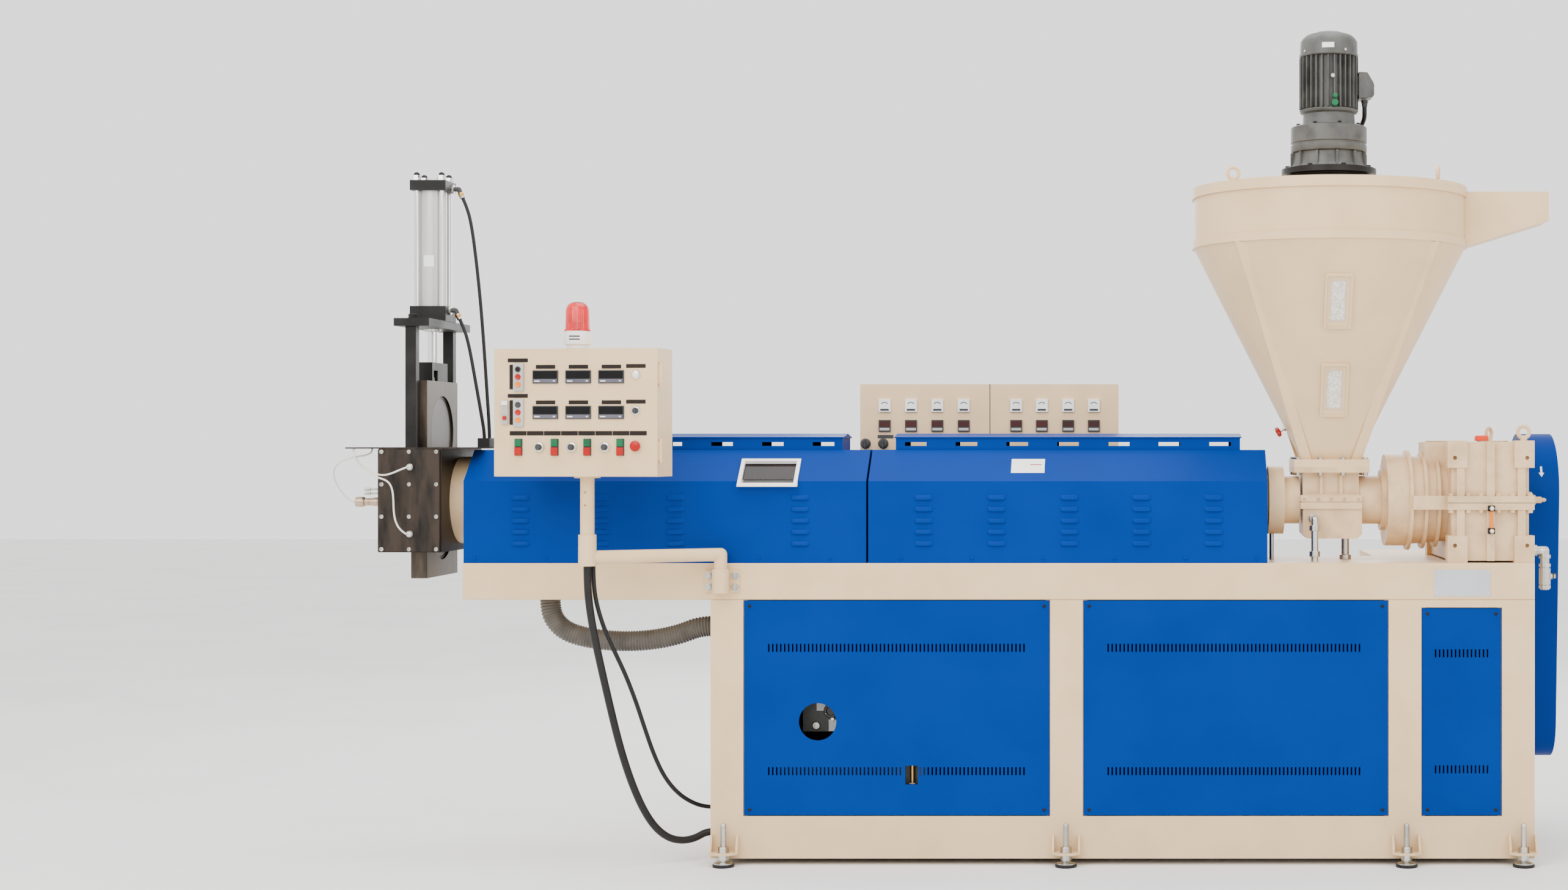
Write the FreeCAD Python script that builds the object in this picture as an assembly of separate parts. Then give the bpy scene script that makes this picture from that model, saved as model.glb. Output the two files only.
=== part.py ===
import FreeCAD, Part

import math
import os

from FreeCAD import Vector

# Single-screw plastic extruder: a welded base on levelling feet carries a heated barrel under
# sheet covers, a belt-driven gearbox, a stirred hopper and, at the outlet, a hydraulic slide-plate
# screen changer. A control panel swings on an arm at the front, and a cabinet stands at the back.
# Millimetres. While it is drawn, x runs from the base's left end towards the drive, y from its
# front face to the back, and z up from the floor. The finished nodes are moved so that the origin
# is at the middle of the whole machine's footprint (without its cords), on the floor.

# ---- base ----
POST_WIDTH = 124.0
POST_DEPTH = 70.0
BAY_WIDTHS = (1170.0, 1166.0, 308.0)
BASE_DEPTH = 580.0
FLOOR_GAP = 25.0
BOTTOM_RAIL_HEIGHT = 161.0
RAIL_DEPTH = 60.0
TABLE_TOP = 1150.0
TABLE_THICKNESS = 140.0
OVERHANG = 945.0
MOTOR_BAY_DEPTH = 550.0
HEAD_RAIL_HEIGHT = 29.0
EDGE_ROUND = 6.0

# ---- sheet panels of the base ----
PANEL_RECESS = 4.0
PANEL_SHEET = 8.0
PANEL_GAP = 3.0
PANEL_SEAT = 16.0
SLOT_SIZE = (6.0, 31.0)
SLOT_PITCH = 15.2
SLOT_MARGINS = (97.0, 97.0, 55.0)
SLOT_ROWS = (357.0, 827.0)
SMALL_PANEL_ROWS = (364.0, 806.0)
PEEP_HOLE_RADIUS = 71.5
PEEP_HOLE_AT = (283.0, 545.0)
SIGHT_SLOT = (617.0, 306.0, 49.0, 72.0)

# ---- levelling feet ----
FRONT_FOOT_X = (55.0, 1355.0, 2648.0, 3092.0)
REAR_FOOT_X = (55.0, 1640.0)
BAY_FOOT_X = (2648.0, 3092.0)
FOOT_ROD_RADIUS = 12.0
FOOT_ROD_TOP = 163.0
FOOT_REACH = 36.0
FOOT_PAD_RADIUS = 41.5
FOOT_PAD_HEIGHT = 12.0
FOOT_NUT_FLATS = 36.0
FOOT_NUT_HEIGHT = 22.0
FOOT_HOLE_PLAY = 1.0
BRACKET_WIDTH = 107.0
BRACKET_DEPTH = 64.0
BRACKET_SHEET = 8.0
BRACKET_HEIGHT = 46.0
GUSSET_HEIGHT = 62.0

# ---- hydraulic unit inside the left bay ----
FLOOR_PAN_SHEET = 6.0
TANK_X = (120.0, 700.0)
TANK_Y = (60.0, 460.0)
TANK_HEIGHT = 270.0
PUMP_MOTOR_RADIUS = 90.0
PUMP_MOTOR_LENGTH = 300.0
PUMP_MOTOR_Y = 260.0
PUMP_MOTOR_OFFSET = 25.0
PUMP_RADIUS = 48.0
PUMP_REACH = 70.0
SADDLE_X = (65.0, 285.0)
SADDLE_HALF_DEPTH = 60.0
SIGHT_TUBE_RADIUS = 9.0
SIGHT_TUBE_Z = (300.0, 400.0)
SIGHT_END_HALF = 11.0
SIGHT_END_HEIGHT = 16.0
PAN_CLEARANCE = 8.0

# ---- barrel and its covers ----
AXIS_Y = BASE_DEPTH / 2
AXIS_Z = 1384.0
BARREL_RADIUS = 93.0
HEAD_RADIUS = 170.0
HEAD_LENGTH = 82.0
REAR_RING_RADIUS = 133.0
REAR_RING_X = (2139.0, 2199.0)
COVER_SHEET = 4.0
COVER_FRONT = 5.0
COVER_SHOULDER_Z = 1462.0
COVER_TOP_Z = 1581.0
COVER_TOP_INSET = 150.0
COVER_SPLIT_X = 592.0
COVER_SPLIT_GAP = 8.0
COVER_END_X = 2122.0
COVER_HOLE_PLAY = 7.0
VENT_HALF_DEPTH = 125.0
VENT_WALL = 46.0
VENT_RIDGE = 18.0
VENT_ROOF_LIP = 6.0
VENT_SLOT = (84.0, 15.0)
VENT_SLOT_PITCH = 197.0
VENT_ENDS = (97.0, 89.0)
VENT_FIRST_ENDS = (97.0, 110.0)
WINDOW_X = (103.0, 331.0)
WINDOW_FRAME = 14.0
WINDOW_PROUD = 8.0
WINDOW_SLOPE = (-33.0, 128.0)
WINDOW_DEPTH = 40.0
WINDOW_PANE = 5.0
HOSE_GUIDE_INSET = 14.0
HOSE_GUIDE_SIZE = (46.0, 110.0, 36.0)
HOSE_GUIDE_WALL = 5.0

# ---- screen changer ----
CHANGER_GAP = 85.0
CHANGER_LENGTH = 242.0
CHANGER_DEPTH = 540.0
CHANGER_X = (-OVERHANG - CHANGER_GAP - CHANGER_LENGTH, -OVERHANG - CHANGER_GAP)
CHANGER_Y = (AXIS_Y - CHANGER_DEPTH / 2, AXIS_Y + CHANGER_DEPTH / 2)
CHANGER_Z = (1190.0, 1586.0)
FRONT_PLATE = 20.0
FRONT_PLATE_INSET = 4.0
TOP_PLATE = 5.0
TOP_PLATE_REACH = (127.0, 130.0)
TOP_PLATE_X = (CHANGER_X[0] - TOP_PLATE_REACH[0], CHANGER_X[1] + TOP_PLATE_REACH[1])
MELT_BORE_RADIUS = 45.0
MELT_BORE_DEPTH = 70.0
PROBE_OFFSET = (-140.0, -4.0)
PROBE_PROFILE = ((0, 10), (38, 10), (38, 17), (92, 15), (104, 20), (128, 19), (132, 9))
PIN_OFFSETS = ((-100.0, 28.0), (-100.0, 44.0))
PIN_RADIUS = 4.0
PIN_LENGTH = 110.0
TERMINAL_PROFILE = ((0, 13), (12, 13), (12, 8), (22, 8))
TERMINAL_HEIGHTS = (1516.0, 1261.0)
SLIDE_THICKNESS = 62.0
SLIDE_WIDTH = 400.0
SLIDE_Z = (1087.0, 1849.0)
SLIDE_PLAY = 0.3
SLIDE_OFFSET_X = 13.0
SCREEN_RADIUS = 142.0
SCREEN_DEPTH = 14.0
SCREEN_Z = (1293.0, 1650.0)
COLUMN_SIZE = (41.0, 40.0)
COLUMN_OFFSET_X = 3.0
COLUMN_INSET = 8.0
MOUNT_PLATE_SIZE = (135.0, 550.0, 30.0)
MOUNT_PLATE_Z = 2055.0
CYLINDER_INSET = 127.0
CYLINDER_X = CHANGER_X[0] + CYLINDER_INSET
CYLINDER_RADIUS = 54.0
CYLINDER_WALL = 8.0
CAP_SIZE = 140.0
LOWER_CAP_HEIGHT = 58.0
UPPER_CAP_Z = 2596.0
UPPER_CAP_HEIGHT = 39.0
TIE_ROD_RADIUS = 10.0
TIE_ROD_SPACING = 97.0
TIE_NUT_FLATS = 30.0
TIE_NUT_HEIGHT = 20.0
ROD_RADIUS = 20.0
ROD_GUIDE_PLAY = 0.05
COUPLING_SIZE = (55.0, 200.0, 73.0)
COUPLING_NOTCH = (18.0, 50.0, 42.0)
COUPLING_NOTCH_Y = -80.0
PISTON_TOP_GAP = 120.0
ELBOW_COLLAR = (16.0, 8.0)
ELBOW_RADIUS = 9.0
ELBOW_KNEE = 26.0
ELBOW_MOUTH = (42.0, -36.0)
UPPER_ELBOW = (20.0, 2608.0)
LOWER_ELBOW = (-20.0, 2128.0)

# ---- feed throat and hopper ----
HOPPER_X = 2380.0
THROAT_HALF = 109.0
THROAT_FLANGE_HALF = 146.0
THROAT_X = (2271.0, 2500.0)
THROAT_BOTTOM = 1236.0
THROAT_FLANGE_Z = (1493.0, 1515.0)
MID_FLANGE_Z = (1352.0, 1405.0)
MID_FLANGE_HALF = 119.0
MID_FLANGE_SPLIT = 4.0
NECK_CYLINDER_X = 2579.0
CONE_FLANGE_Z = (1515.0, 1544.0)
CONE_TOP_Z = 2368.0
BAND_TOP_Z = 2594.0
HOPPER_RADIUS = 530.0
HOPPER_SHEET = 6.0
BAND_BEAD_HEIGHT = 31.0
BAND_BEAD_PROUD = 7.0
LID_RIM_HEIGHT = 32.0
LID_RIM_PROUD = 8.0
LID_SHEET = 8.0
LID_FIT = 0.3
RIB_HALF_WIDTH = 32.0
RIB_RIDGE = 24.0
CHUTE_HALF_WIDTH = 120.0
CHUTE_END_X = 3225.0
CHUTE_TOP_Z = 2584.0
CHUTE_END_BOTTOM_Z = 2471.0
CHUTE_ROOT_BOTTOM_Z = 2374.0
CHUTE_FRAME_GAP = 10.0
SIGHT_SIZE = (105.0, 226.0)
SIGHT_OPENING = (55.0, 160.0)
SIGHT_PROUD = 12.0
SIGHT_Z = (1812.0, 2142.0)
KNOB_Z = 1665.0
KNOB_RADIUS = 20.0
KNOB_THICKNESS = 18.0
KNOB_STUD = (5.0, 22.0)
EYE_INSET = 38.0
EYE_ANGLES = (37.6, 142.4, 217.6, 322.4)
EYE_TURNS = (30.0, -30.0, 12.0, 78.0)
EYE_RADIUS = 22.0
EYE_WIRE = 7.0

# ---- stirrer gearmotor on the lid ----
MOTOR_PROFILE = (
    (170.0, 2602.0), (170.0, 2660.0), (186.0, 2660.0), (186.0, 2682.0), (152.0, 2682.0),
    (138.0, 2744.0), (149.0, 2752.0), (149.0, 2847.0), (103.0, 2856.0), (101.0, 2903.0),
    (115.0, 2912.0), (115.0, 3126.0), (112.0, 3130.0), (112.0, 3182.0), (88.0, 3210.0),
    (50.0, 3220.0),
)
TERMINAL_BOX_X = (2490.0, 2552.0)
TERMINAL_BOX_HALF_DEPTH = 45.0
TERMINAL_LINK = (90.0, 30.0)
TERMINAL_LINK_Z = (2970.0, 3046.0)
TERMINAL_BOX_Z = (2954.0, 3062.0)
TERMINAL_GLAND = (13.0, 26.0)
CABLE_GLAND_OFFSET = (132.0, 164.0)
CABLE_GLAND_HEIGHT = 16.0

# ---- drive ----
THRUST_PROFILE = (
    (2579.0, 118.0), (2596.0, 118.0), (2596.0, 179.0), (2676.0, 179.0), (2680.0, 196.0),
    (2692.0, 196.0), (2696.0, 172.0), (2734.0, 170.0), (2737.0, 190.0), (2749.0, 190.0),
    (2752.0, 168.0), (2784.0, 166.0), (2787.0, 184.0), (2799.0, 184.0), (2802.0, 162.0),
    (2817.0, 162.0),
)
THRUST_FLANGE_HALF = 228.0
THRUST_BAR_X = 2686.0
THRUST_BAR_INNER = 100.0
THRUST_NOSE_X = 2817.0
THRUST_NOSE_RADIUS = 162.0
THRUST_SADDLE_X = 2745.0
THRUST_SADDLE_HALF = 95.0
THRUST_SADDLE_Z = 120.0
GEARBOX_X = (2811.0, 3143.0)
GEARBOX_REACH = (270.0, 410.0)
GEARBOX_Y = (AXIS_Y - GEARBOX_REACH[0], AXIS_Y + GEARBOX_REACH[1])
GEARBOX_TOP = 1617.0
CASE_INSET_X = 18.0
CASE_INSET_Y = 24.0
CASE_FOOT = 7.0
CASE_TOP_STEP = 5.0
PAD_WIDTH = 76.0
PAD_HEIGHT = 104.0
PAD_DEPTH = 60.0
PAD_HOLE_RADIUS = 8.0
PAD_HOLE_INSET = (28.0, 66.0)
PAD_HOLE_DEPTH = 22.0
CASE_RIB_X = (2862.0, 2977.0, 3095.0)
CASE_RIB_WIDTH = 30.0
CASE_RIB_INSET = 6.0
END_COVER_PROFILE = ((0, 105), (14, 100), (33, 48), (36, 32), (52, 32))
GAUGE_BLOCK = (13.0, 16.0, 24.0)
GAUGE_Z = (1260.0, 1346.0)
GAUGE_TUBE_RADIUS = 9.0
BREATHER_AT = (2966.0, -90.0)
BREATHER_RADIUS = 22.0
BREATHER_HEIGHT = 20.0
GEARBOX_EYES = ((3106.0, -240.0, 0.0, 0.0), (3012.0, 10.0, 5.0, 55.0))
INPUT_OFFSET = 268.0
INPUT_Y = AXIS_Y + INPUT_OFFSET
INPUT_Z = 1417.0
INPUT_COVER_RADIUS = 80.0
GUARD_X = (3163.0, 3295.0)
GUARD_UPPER_RADIUS = 228.0
GUARD_LOWER_Z = 500.0
GUARD_LOWER_RADIUS = 155.0
NIPPLE_PROFILE = ((0, 20), (16, 20), (16, 13), (40, 13), (40, 8), (58, 8))
GUARD_LUG_HALF = 60.0
GUARD_LUG_INSET = 20.0
DRAIN_INSET = 30.0
DRAIN_Y = GEARBOX_Y[0] + DRAIN_INSET
DRAIN_Z = 1196.0
DRAIN_PIPE_RADIUS = 17.0
DRAIN_DROP_X = 3187.0
DRAIN_BOTTOM = 1046.0
DRAIN_STEM = (6.0, 38.0)
DRAIN_STEM_RISE = 51.0
DRAIN_BODY = (5.0, 20.0, 62.0)
DRAIN_STEM_COLLAR = (5.0, 10.0)
LEVER_SEAT = 8.0
LEVER_CRANK = (16.0, 22.0)
LEVER_LENGTH = 92.0
LEVER_WIDTH = 18.0
LEVER_SHEET = 4.0

# ---- control panel on its arm ----
ARM_PIVOT = (46.0, -45.0)
ARM_LENGTH = 505.0
ARM_ANGLE = 26.5
ARM_PIPE_RADIUS = 25.0
ARM_Z = 1185.0
SLEEVE_Z = (1039.0, 1124.0)
SLEEVE_RADIUS = 32.0
SLEEVE_FLOOR = 6.0
SLEEVE_WEB_HALF = 16.0
BRACKET_PLATE = (131.0, 84.0, 10.0)
SOCKET_RADIUS = 33.0
SOCKET_Z = (1153.0, 1269.0)
SOCKET_FLOOR = 8.0
PANEL_POST_RADIUS = 26.0
PIVOT_PLAY = 0.1
SEAT_PLAY = 0.3
PANEL_WIDTH = 615.0
PANEL_LEFT = -321.0
PANEL_X = (PANEL_LEFT, PANEL_LEFT + PANEL_WIDTH)
PANEL_DEPTH = 180.0
PANEL_Z = (1484.0, 1954.0)
PANEL_YAW = -6.0
PANEL_BODY_SHEET = 2.0
PANEL_POST_FOOT = (22.0, 6.0)
DOOR_THICKNESS = 18.0
DOOR_GAP = 0.4
DOOR_HINGE_RADIUS = 7.0
DOOR_HINGE_HEIGHT = 70.0
DOOR_HINGE_INSET = 60.0
HINGE_PIN_RADIUS = 3.0
HINGE_PIN_PLAY = 0.05
HINGE_LUG = 8.0
KNUCKLE_STRAP = (5.0, 1.0)
METER_SIZE = (96.0, 48.0)
METER_PROUD = 9.0
METER_COLUMNS = (-126.0, -2.0, 122.0)
METER_ROWS = (1849.0, 1719.0)
STATION_X = -227.0
STATION_SIZE = (39.0, 104.0)
BUTTON_PROUD = 14.0
BREAKER_AT = (-278.0, 1719.0)
BREAKER_SIZE = (27.0, 91.0)
BREAKER_PROUD = 16.0
LAMP_X = 214.0
LAMP_ROWS = (1856.0, 1725.0, 1596.0)
LAMP_RADIUS = 15.0
LAMP_PROUD = 18.0
SWITCH_ROW = 1592.0
PUSH_COLUMNS = (-228.0, -91.0, 32.0, 156.0)
PUSH_SIZE = (29.0, 62.0)
DIAL_COLUMNS = (-149.0, -26.0, 99.0)
DIAL_RADIUS = 20.0
DIAL_PROUD = 24.0
BEACON_AT = (-33.0, -10.0)
BEACON_PROFILE = (
    (0, 40), (14, 40), (14, 47), (62, 47), (62, 44), (66, 44), (66, 46), (130, 44), (152, 36),
    (163, 18), (165, 4),
)

# ---- rear cabinet ----
CABINET_X = (502.0, 1550.0)
CABINET_DEPTH = 400.0
CABINET_TOP = 1847.0
CABINET_PLINTH = 60.0
CABINET_PLINTH_INSET = 12.0

# ---- cords: chosen routes, each a list of points that its tube follows ----
CONTROL_CABLE_RADIUS = 14.0
SIGNAL_CABLE_RADIUS = 8.0
DUCT_RADIUS = 40.0
HOSE_RADIUS = 6.5
MOTOR_CABLE_RADIUS = 9.0
LEAD_RADIUS = 3.5
ARC_SHARE = 0.45

BASE_LENGTH = 4 * POST_WIDTH + sum(BAY_WIDTHS)
TABLE_BOTTOM = TABLE_TOP - TABLE_THICKNESS
RAIL_TOP = FLOOR_GAP + BOTTOM_RAIL_HEIGHT
POST_X = tuple(sum(BAY_WIDTHS[:i]) + i * POST_WIDTH for i in range(4))
BAY_X = tuple(POST_X[i] + POST_WIDTH for i in range(3))
BAY_REAR = BASE_DEPTH + MOTOR_BAY_DEPTH


# ---- shape helpers ----
def block(x, y, z):
    """A box from its low and high x, y and z."""
    return Part.makeBox(x[1] - x[0], y[1] - y[0], z[1] - z[0], Vector(x[0], y[0], z[0]))


def rod(radius, start, end):
    """A round bar between two points."""
    start, end = Vector(*start), Vector(*end)
    return Part.makeCylinder(radius, (end - start).Length, start, end - start)


def prism(points, travel):
    """A flat outline pushed along a vector."""
    corners = [Vector(*p) for p in points]
    return Part.Face(Part.makePolygon(corners + corners[:1])).extrude(Vector(*travel))


def turned(profile, base, axis, radial):
    """A solid of revolution from (distance along the axis, radius) pairs."""
    base, axis, radial = Vector(*base), Vector(*axis), Vector(*radial)
    first, last = profile[0][0], profile[-1][0]
    rim = [base + axis * a + radial * r for a, r in profile]
    outline = [base + axis * first] + rim + [base + axis * last]
    return Part.Face(Part.makePolygon(outline + outline[:1])).revolve(base, axis, 360)


def hexagon(flats, height, at):
    """An upright hexagonal nut with this width across flats, standing on a point."""
    radius = flats / math.sqrt(3)
    corners = [(at[0] + radius * math.cos(math.radians(60 * i)),
                at[1] + radius * math.sin(math.radians(60 * i)), at[2]) for i in range(6)]
    return prism(corners, (0, 0, height))


def fused(*shapes):
    """One solid from shapes that touch or overlap."""
    return shapes[0].fuse(list(shapes[1:])).removeSplitter()


def group(*shapes):
    """Several solids that don't touch, kept in one node."""
    return Part.makeCompound(list(shapes))


def ring(outer, inner, start, end):
    """A round tube with a straight hole through it."""
    return rod(outer, start, end).cut(rod(inner, start, end))


def eye_bolt(at, turn=0.0):
    """A lifting eye: a collar, a shank and an upright ring, turned about z."""
    collar = Part.makeCylinder(1.9 * EYE_WIRE, EYE_WIRE, Vector(*at))
    centre = Vector(*at) + Vector(0, 0, EYE_WIRE + EYE_RADIUS + EYE_WIRE / 2)
    loop = Part.makeTorus(EYE_RADIUS, EYE_WIRE, centre, Vector(0, 1, 0))
    eye = fused(collar, loop)
    eye.rotate(Vector(*at), Vector(0, 0, 1), turn)
    return eye


# ---- base ----
def table_beam():
    """Box girder under the barrel; it overhangs the legs at the outlet end."""
    slab = block((-OVERHANG, BASE_LENGTH), (0, BASE_DEPTH), (TABLE_BOTTOM, TABLE_TOP))
    long_edges = [e for e in slab.Edges if abs(e.tangentAt(e.FirstParameter).x) > 0.9]
    return slab.makeFillet(EDGE_ROUND, [e for e in long_edges if e.BoundBox.YMax < 1])


def bay_table():
    """Top slab of the motor bay, behind the main beam."""
    return block((POST_X[2], BASE_LENGTH), (BASE_DEPTH, BAY_REAR), (TABLE_BOTTOM, TABLE_TOP))


def post(index, face, inward):
    """One upright: a face strip, and behind it a wider body that the sheet panels seat on."""
    left, right = POST_X[index], POST_X[index] + POST_WIDTH
    seat = PANEL_RECESS + PANEL_SHEET
    wide_left = left - (PANEL_SEAT if index > 0 else 0)
    wide_right = right + (PANEL_SEAT if index < 3 else 0)
    strip = block((left, right), sorted((face, face + inward * seat)), (RAIL_TOP, TABLE_BOTTOM))
    body_y = sorted((face + inward * seat, face + inward * POST_DEPTH))
    return fused(strip, block((wide_left, wide_right), body_y, (RAIL_TOP, TABLE_BOTTOM)))


def base_posts():
    """Uprights at the front, at the back and at the back of the motor bay."""
    front = [post(i, 0.0, 1) for i in range(4)]
    rear = [post(i, BASE_DEPTH, -1) for i in range(2)]
    corner = block((POST_X[2] - PANEL_SEAT, POST_X[2] + POST_WIDTH),
                   (BASE_DEPTH - POST_DEPTH, BASE_DEPTH - PANEL_RECESS - PANEL_SHEET),
                   (RAIL_TOP, TABLE_BOTTOM))
    corner_strip = block((POST_X[2], POST_X[2] + POST_WIDTH),
                         (BASE_DEPTH - PANEL_RECESS - PANEL_SHEET, BASE_DEPTH),
                         (RAIL_TOP, TABLE_BOTTOM))
    bay_left = block((POST_X[2], POST_X[2] + POST_WIDTH),
                     (BAY_REAR - POST_DEPTH, BAY_REAR - PANEL_RECESS - PANEL_SHEET),
                     (RAIL_TOP, TABLE_BOTTOM))
    bay_left = fused(bay_left, block((POST_X[2], POST_X[2] + POST_WIDTH),
                                     (BAY_REAR - PANEL_RECESS - PANEL_SHEET, BAY_REAR),
                                     (RAIL_TOP, TABLE_BOTTOM)),
                     block((POST_X[2] + POST_WIDTH, POST_X[2] + POST_WIDTH + PANEL_SEAT),
                           (BAY_REAR - POST_DEPTH, BAY_REAR - PANEL_RECESS - PANEL_SHEET),
                           (RAIL_TOP, TABLE_BOTTOM)))
    bay_right = post(3, BAY_REAR, -1)
    return group(*front, *rear, fused(corner, corner_strip), bay_left, bay_right)


def bottom_rails():
    """Long rails at floor level: front, back and the back of the motor bay."""
    z = (FLOOR_GAP, RAIL_TOP)
    front = block((0, BASE_LENGTH), (0, RAIL_DEPTH), z)
    rear = block((0, POST_X[2] + RAIL_DEPTH), (BASE_DEPTH - RAIL_DEPTH, BASE_DEPTH), z)
    bay = block((POST_X[2], BASE_LENGTH), (BAY_REAR - RAIL_DEPTH, BAY_REAR), z)
    return group(front, rear, bay)


def cross_rails():
    """Short rails that tie the long ones, and the head rail over the small front panel."""
    z = (FLOOR_GAP, RAIL_TOP)
    inner = (RAIL_DEPTH, BASE_DEPTH - RAIL_DEPTH)
    left = block((0, RAIL_DEPTH), inner, z)
    middle = block((POST_X[1] + 32, POST_X[1] + 32 + RAIL_DEPTH), inner, z)
    right = block((BASE_LENGTH - RAIL_DEPTH, BASE_LENGTH), (RAIL_DEPTH, BAY_REAR - RAIL_DEPTH), z)
    bay_side = block((POST_X[2], POST_X[2] + RAIL_DEPTH), (BASE_DEPTH, BAY_REAR - RAIL_DEPTH), z)
    head = block((BAY_X[2], POST_X[3]), (0, PANEL_RECESS + PANEL_SHEET),
                 (TABLE_BOTTOM - HEAD_RAIL_HEIGHT, TABLE_BOTTOM))
    return group(left, middle, right, bay_side, head)


def slotted_sheet(bay, face, inward, rows, top, keep_clear=None):
    """A sheet panel set in one bay, with rows of upright ventilation slots."""
    x0, x1 = BAY_X[bay] + PANEL_GAP, BAY_X[bay] + BAY_WIDTHS[bay] - PANEL_GAP
    z0, z1 = RAIL_TOP + PANEL_GAP, top - PANEL_GAP
    y0 = face + inward * PANEL_RECESS

    def outline(xa, xb, za, zb):
        corners = [Vector(xa, y0, za), Vector(xb, y0, za), Vector(xb, y0, zb), Vector(xa, y0, zb)]
        return Part.makePolygon(corners + corners[:1])

    start = BAY_X[bay] + SLOT_MARGINS[bay]
    count = int((BAY_WIDTHS[bay] - 2 * SLOT_MARGINS[bay]) // SLOT_PITCH) + 1
    wires = [outline(x0, x1, z0, z1)]
    for row in rows:
        for i in range(count):
            centre = start + i * SLOT_PITCH
            if keep_clear and row < keep_clear[2] and keep_clear[0] < centre < keep_clear[1]:
                continue
            wires.append(outline(centre - SLOT_SIZE[0] / 2, centre + SLOT_SIZE[0] / 2,
                                 row - SLOT_SIZE[1] / 2, row + SLOT_SIZE[1] / 2))
    face_plate = Part.Face(wires, "Part::FaceMakerCheese")
    return face_plate.extrude(Vector(0, inward * PANEL_SHEET, 0))


def left_front_panel():
    """Left front panel, with a round peep hole and a small sight slot for the hydraulic unit."""
    sight_x = BAY_X[0] + SIGHT_SLOT[0]
    clear = (sight_x - SLOT_PITCH / 2, sight_x + SIGHT_SLOT[2] + SLOT_PITCH / 2, 500.0)
    sheet = slotted_sheet(0, 0.0, 1, SLOT_ROWS, TABLE_BOTTOM, clear)
    hole_x = BAY_X[0] + PEEP_HOLE_AT[0]
    hole = rod(PEEP_HOLE_RADIUS, (hole_x, -1, PEEP_HOLE_AT[1]), (hole_x, 40, PEEP_HOLE_AT[1]))
    sight = block((sight_x, sight_x + SIGHT_SLOT[2]), (-1, 40),
                  (SIGHT_SLOT[1], SIGHT_SLOT[1] + SIGHT_SLOT[3]))
    return sheet.cut([hole, sight])


def front_panels():
    """Front panels: left, middle, and the small one under the gearbox's head rail."""
    middle = slotted_sheet(1, 0.0, 1, SLOT_ROWS, TABLE_BOTTOM)
    small = slotted_sheet(2, 0.0, 1, SMALL_PANEL_ROWS, TABLE_BOTTOM - HEAD_RAIL_HEIGHT)
    return group(left_front_panel(), middle, small)


def rear_panels():
    """Slotted panels at the back, and at the back of the motor bay."""
    back = [slotted_sheet(i, BASE_DEPTH, -1, SLOT_ROWS, TABLE_BOTTOM) for i in (0, 1)]
    return group(*back, slotted_sheet(2, BAY_REAR, -1, SLOT_ROWS, TABLE_BOTTOM))


def end_panels():
    """Plain sheets that close the ends of the base and the side of the motor bay."""
    z = (RAIL_TOP, TABLE_BOTTOM)
    x_left = (PANEL_RECESS, PANEL_RECESS + PANEL_SHEET)
    x_right = (BASE_LENGTH - PANEL_RECESS - PANEL_SHEET, BASE_LENGTH - PANEL_RECESS)
    x_side = (POST_X[2] + PANEL_RECESS, POST_X[2] + PANEL_RECESS + PANEL_SHEET)
    left = block(x_left, (POST_DEPTH, BASE_DEPTH - POST_DEPTH), z)
    right = block(x_right, (POST_DEPTH, BAY_REAR - POST_DEPTH), z)
    side = block(x_side, (BASE_DEPTH, BAY_REAR - POST_DEPTH), z)
    return group(left, right, side)


def foot_places():
    """Every foot as (x, the face it hangs on, the way out from that face)."""
    front = [(x, 0.0, -1) for x in FRONT_FOOT_X]
    rear = [(x, BASE_DEPTH, 1) for x in REAR_FOOT_X]
    return front + rear + [(x, BAY_REAR, 1) for x in BAY_FOOT_X]


def foot_bracket(x, face, out):
    """A ledge with cut corners and two curved gussets, welded to a rail."""
    half, corner = BRACKET_WIDTH / 2, 24.0
    tip, z = face + out * BRACKET_DEPTH, BRACKET_HEIGHT
    bend = face + out * (BRACKET_DEPTH - corner)
    ledge = prism([(x - half, face, z), (x + half, face, z), (x + half, bend, z),
                   (x + half - corner, tip, z), (x - half + corner, tip, z), (x - half, bend, z)],
                  (0, 0, BRACKET_SHEET))
    hole_y = face + out * FOOT_REACH
    ledge = ledge.cut(rod(FOOT_ROD_RADIUS + FOOT_HOLE_PLAY, (x, hole_y, 0), (x, hole_y, 90)))
    ribs = []
    for side in (-half, half - BRACKET_SHEET):
        low, high = z + BRACKET_SHEET, z + BRACKET_SHEET + GUSSET_HEIGHT
        ribs.append(prism([(x + side, face, low), (x + side, bend, low), (x + side, bend, low + 12),
                           (x + side, face + out * 16, high), (x + side, face, high)],
                          (BRACKET_SHEET, 0, 0)))
    return fused(ledge, *ribs)


def foot_brackets():
    """The ledges that the levelling screws pass through."""
    return group(*[foot_bracket(*place) for place in foot_places()])


def levelling_foot(x, face, out):
    """A pad, a lock nut under the ledge, a screw through it and a nut on top."""
    y = face + out * FOOT_REACH
    pad = rod(FOOT_PAD_RADIUS, (x, y, 0), (x, y, FOOT_PAD_HEIGHT))
    plate = rod(FOOT_PAD_RADIUS - 5, (x, y, FOOT_PAD_HEIGHT), (x, y, FOOT_PAD_HEIGHT + 6))
    screw = rod(FOOT_ROD_RADIUS, (x, y, FOOT_PAD_HEIGHT), (x, y, FOOT_ROD_TOP))
    lower = hexagon(FOOT_NUT_FLATS, FOOT_NUT_HEIGHT, (x, y, BRACKET_HEIGHT - FOOT_NUT_HEIGHT))
    upper = hexagon(FOOT_NUT_FLATS, FOOT_NUT_HEIGHT, (x, y, BRACKET_HEIGHT + BRACKET_SHEET))
    return fused(pad, plate, screw, lower, upper)


def levelling_feet():
    """Adjustable feet on the floor."""
    return group(*[levelling_foot(*place) for place in foot_places()])


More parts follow.
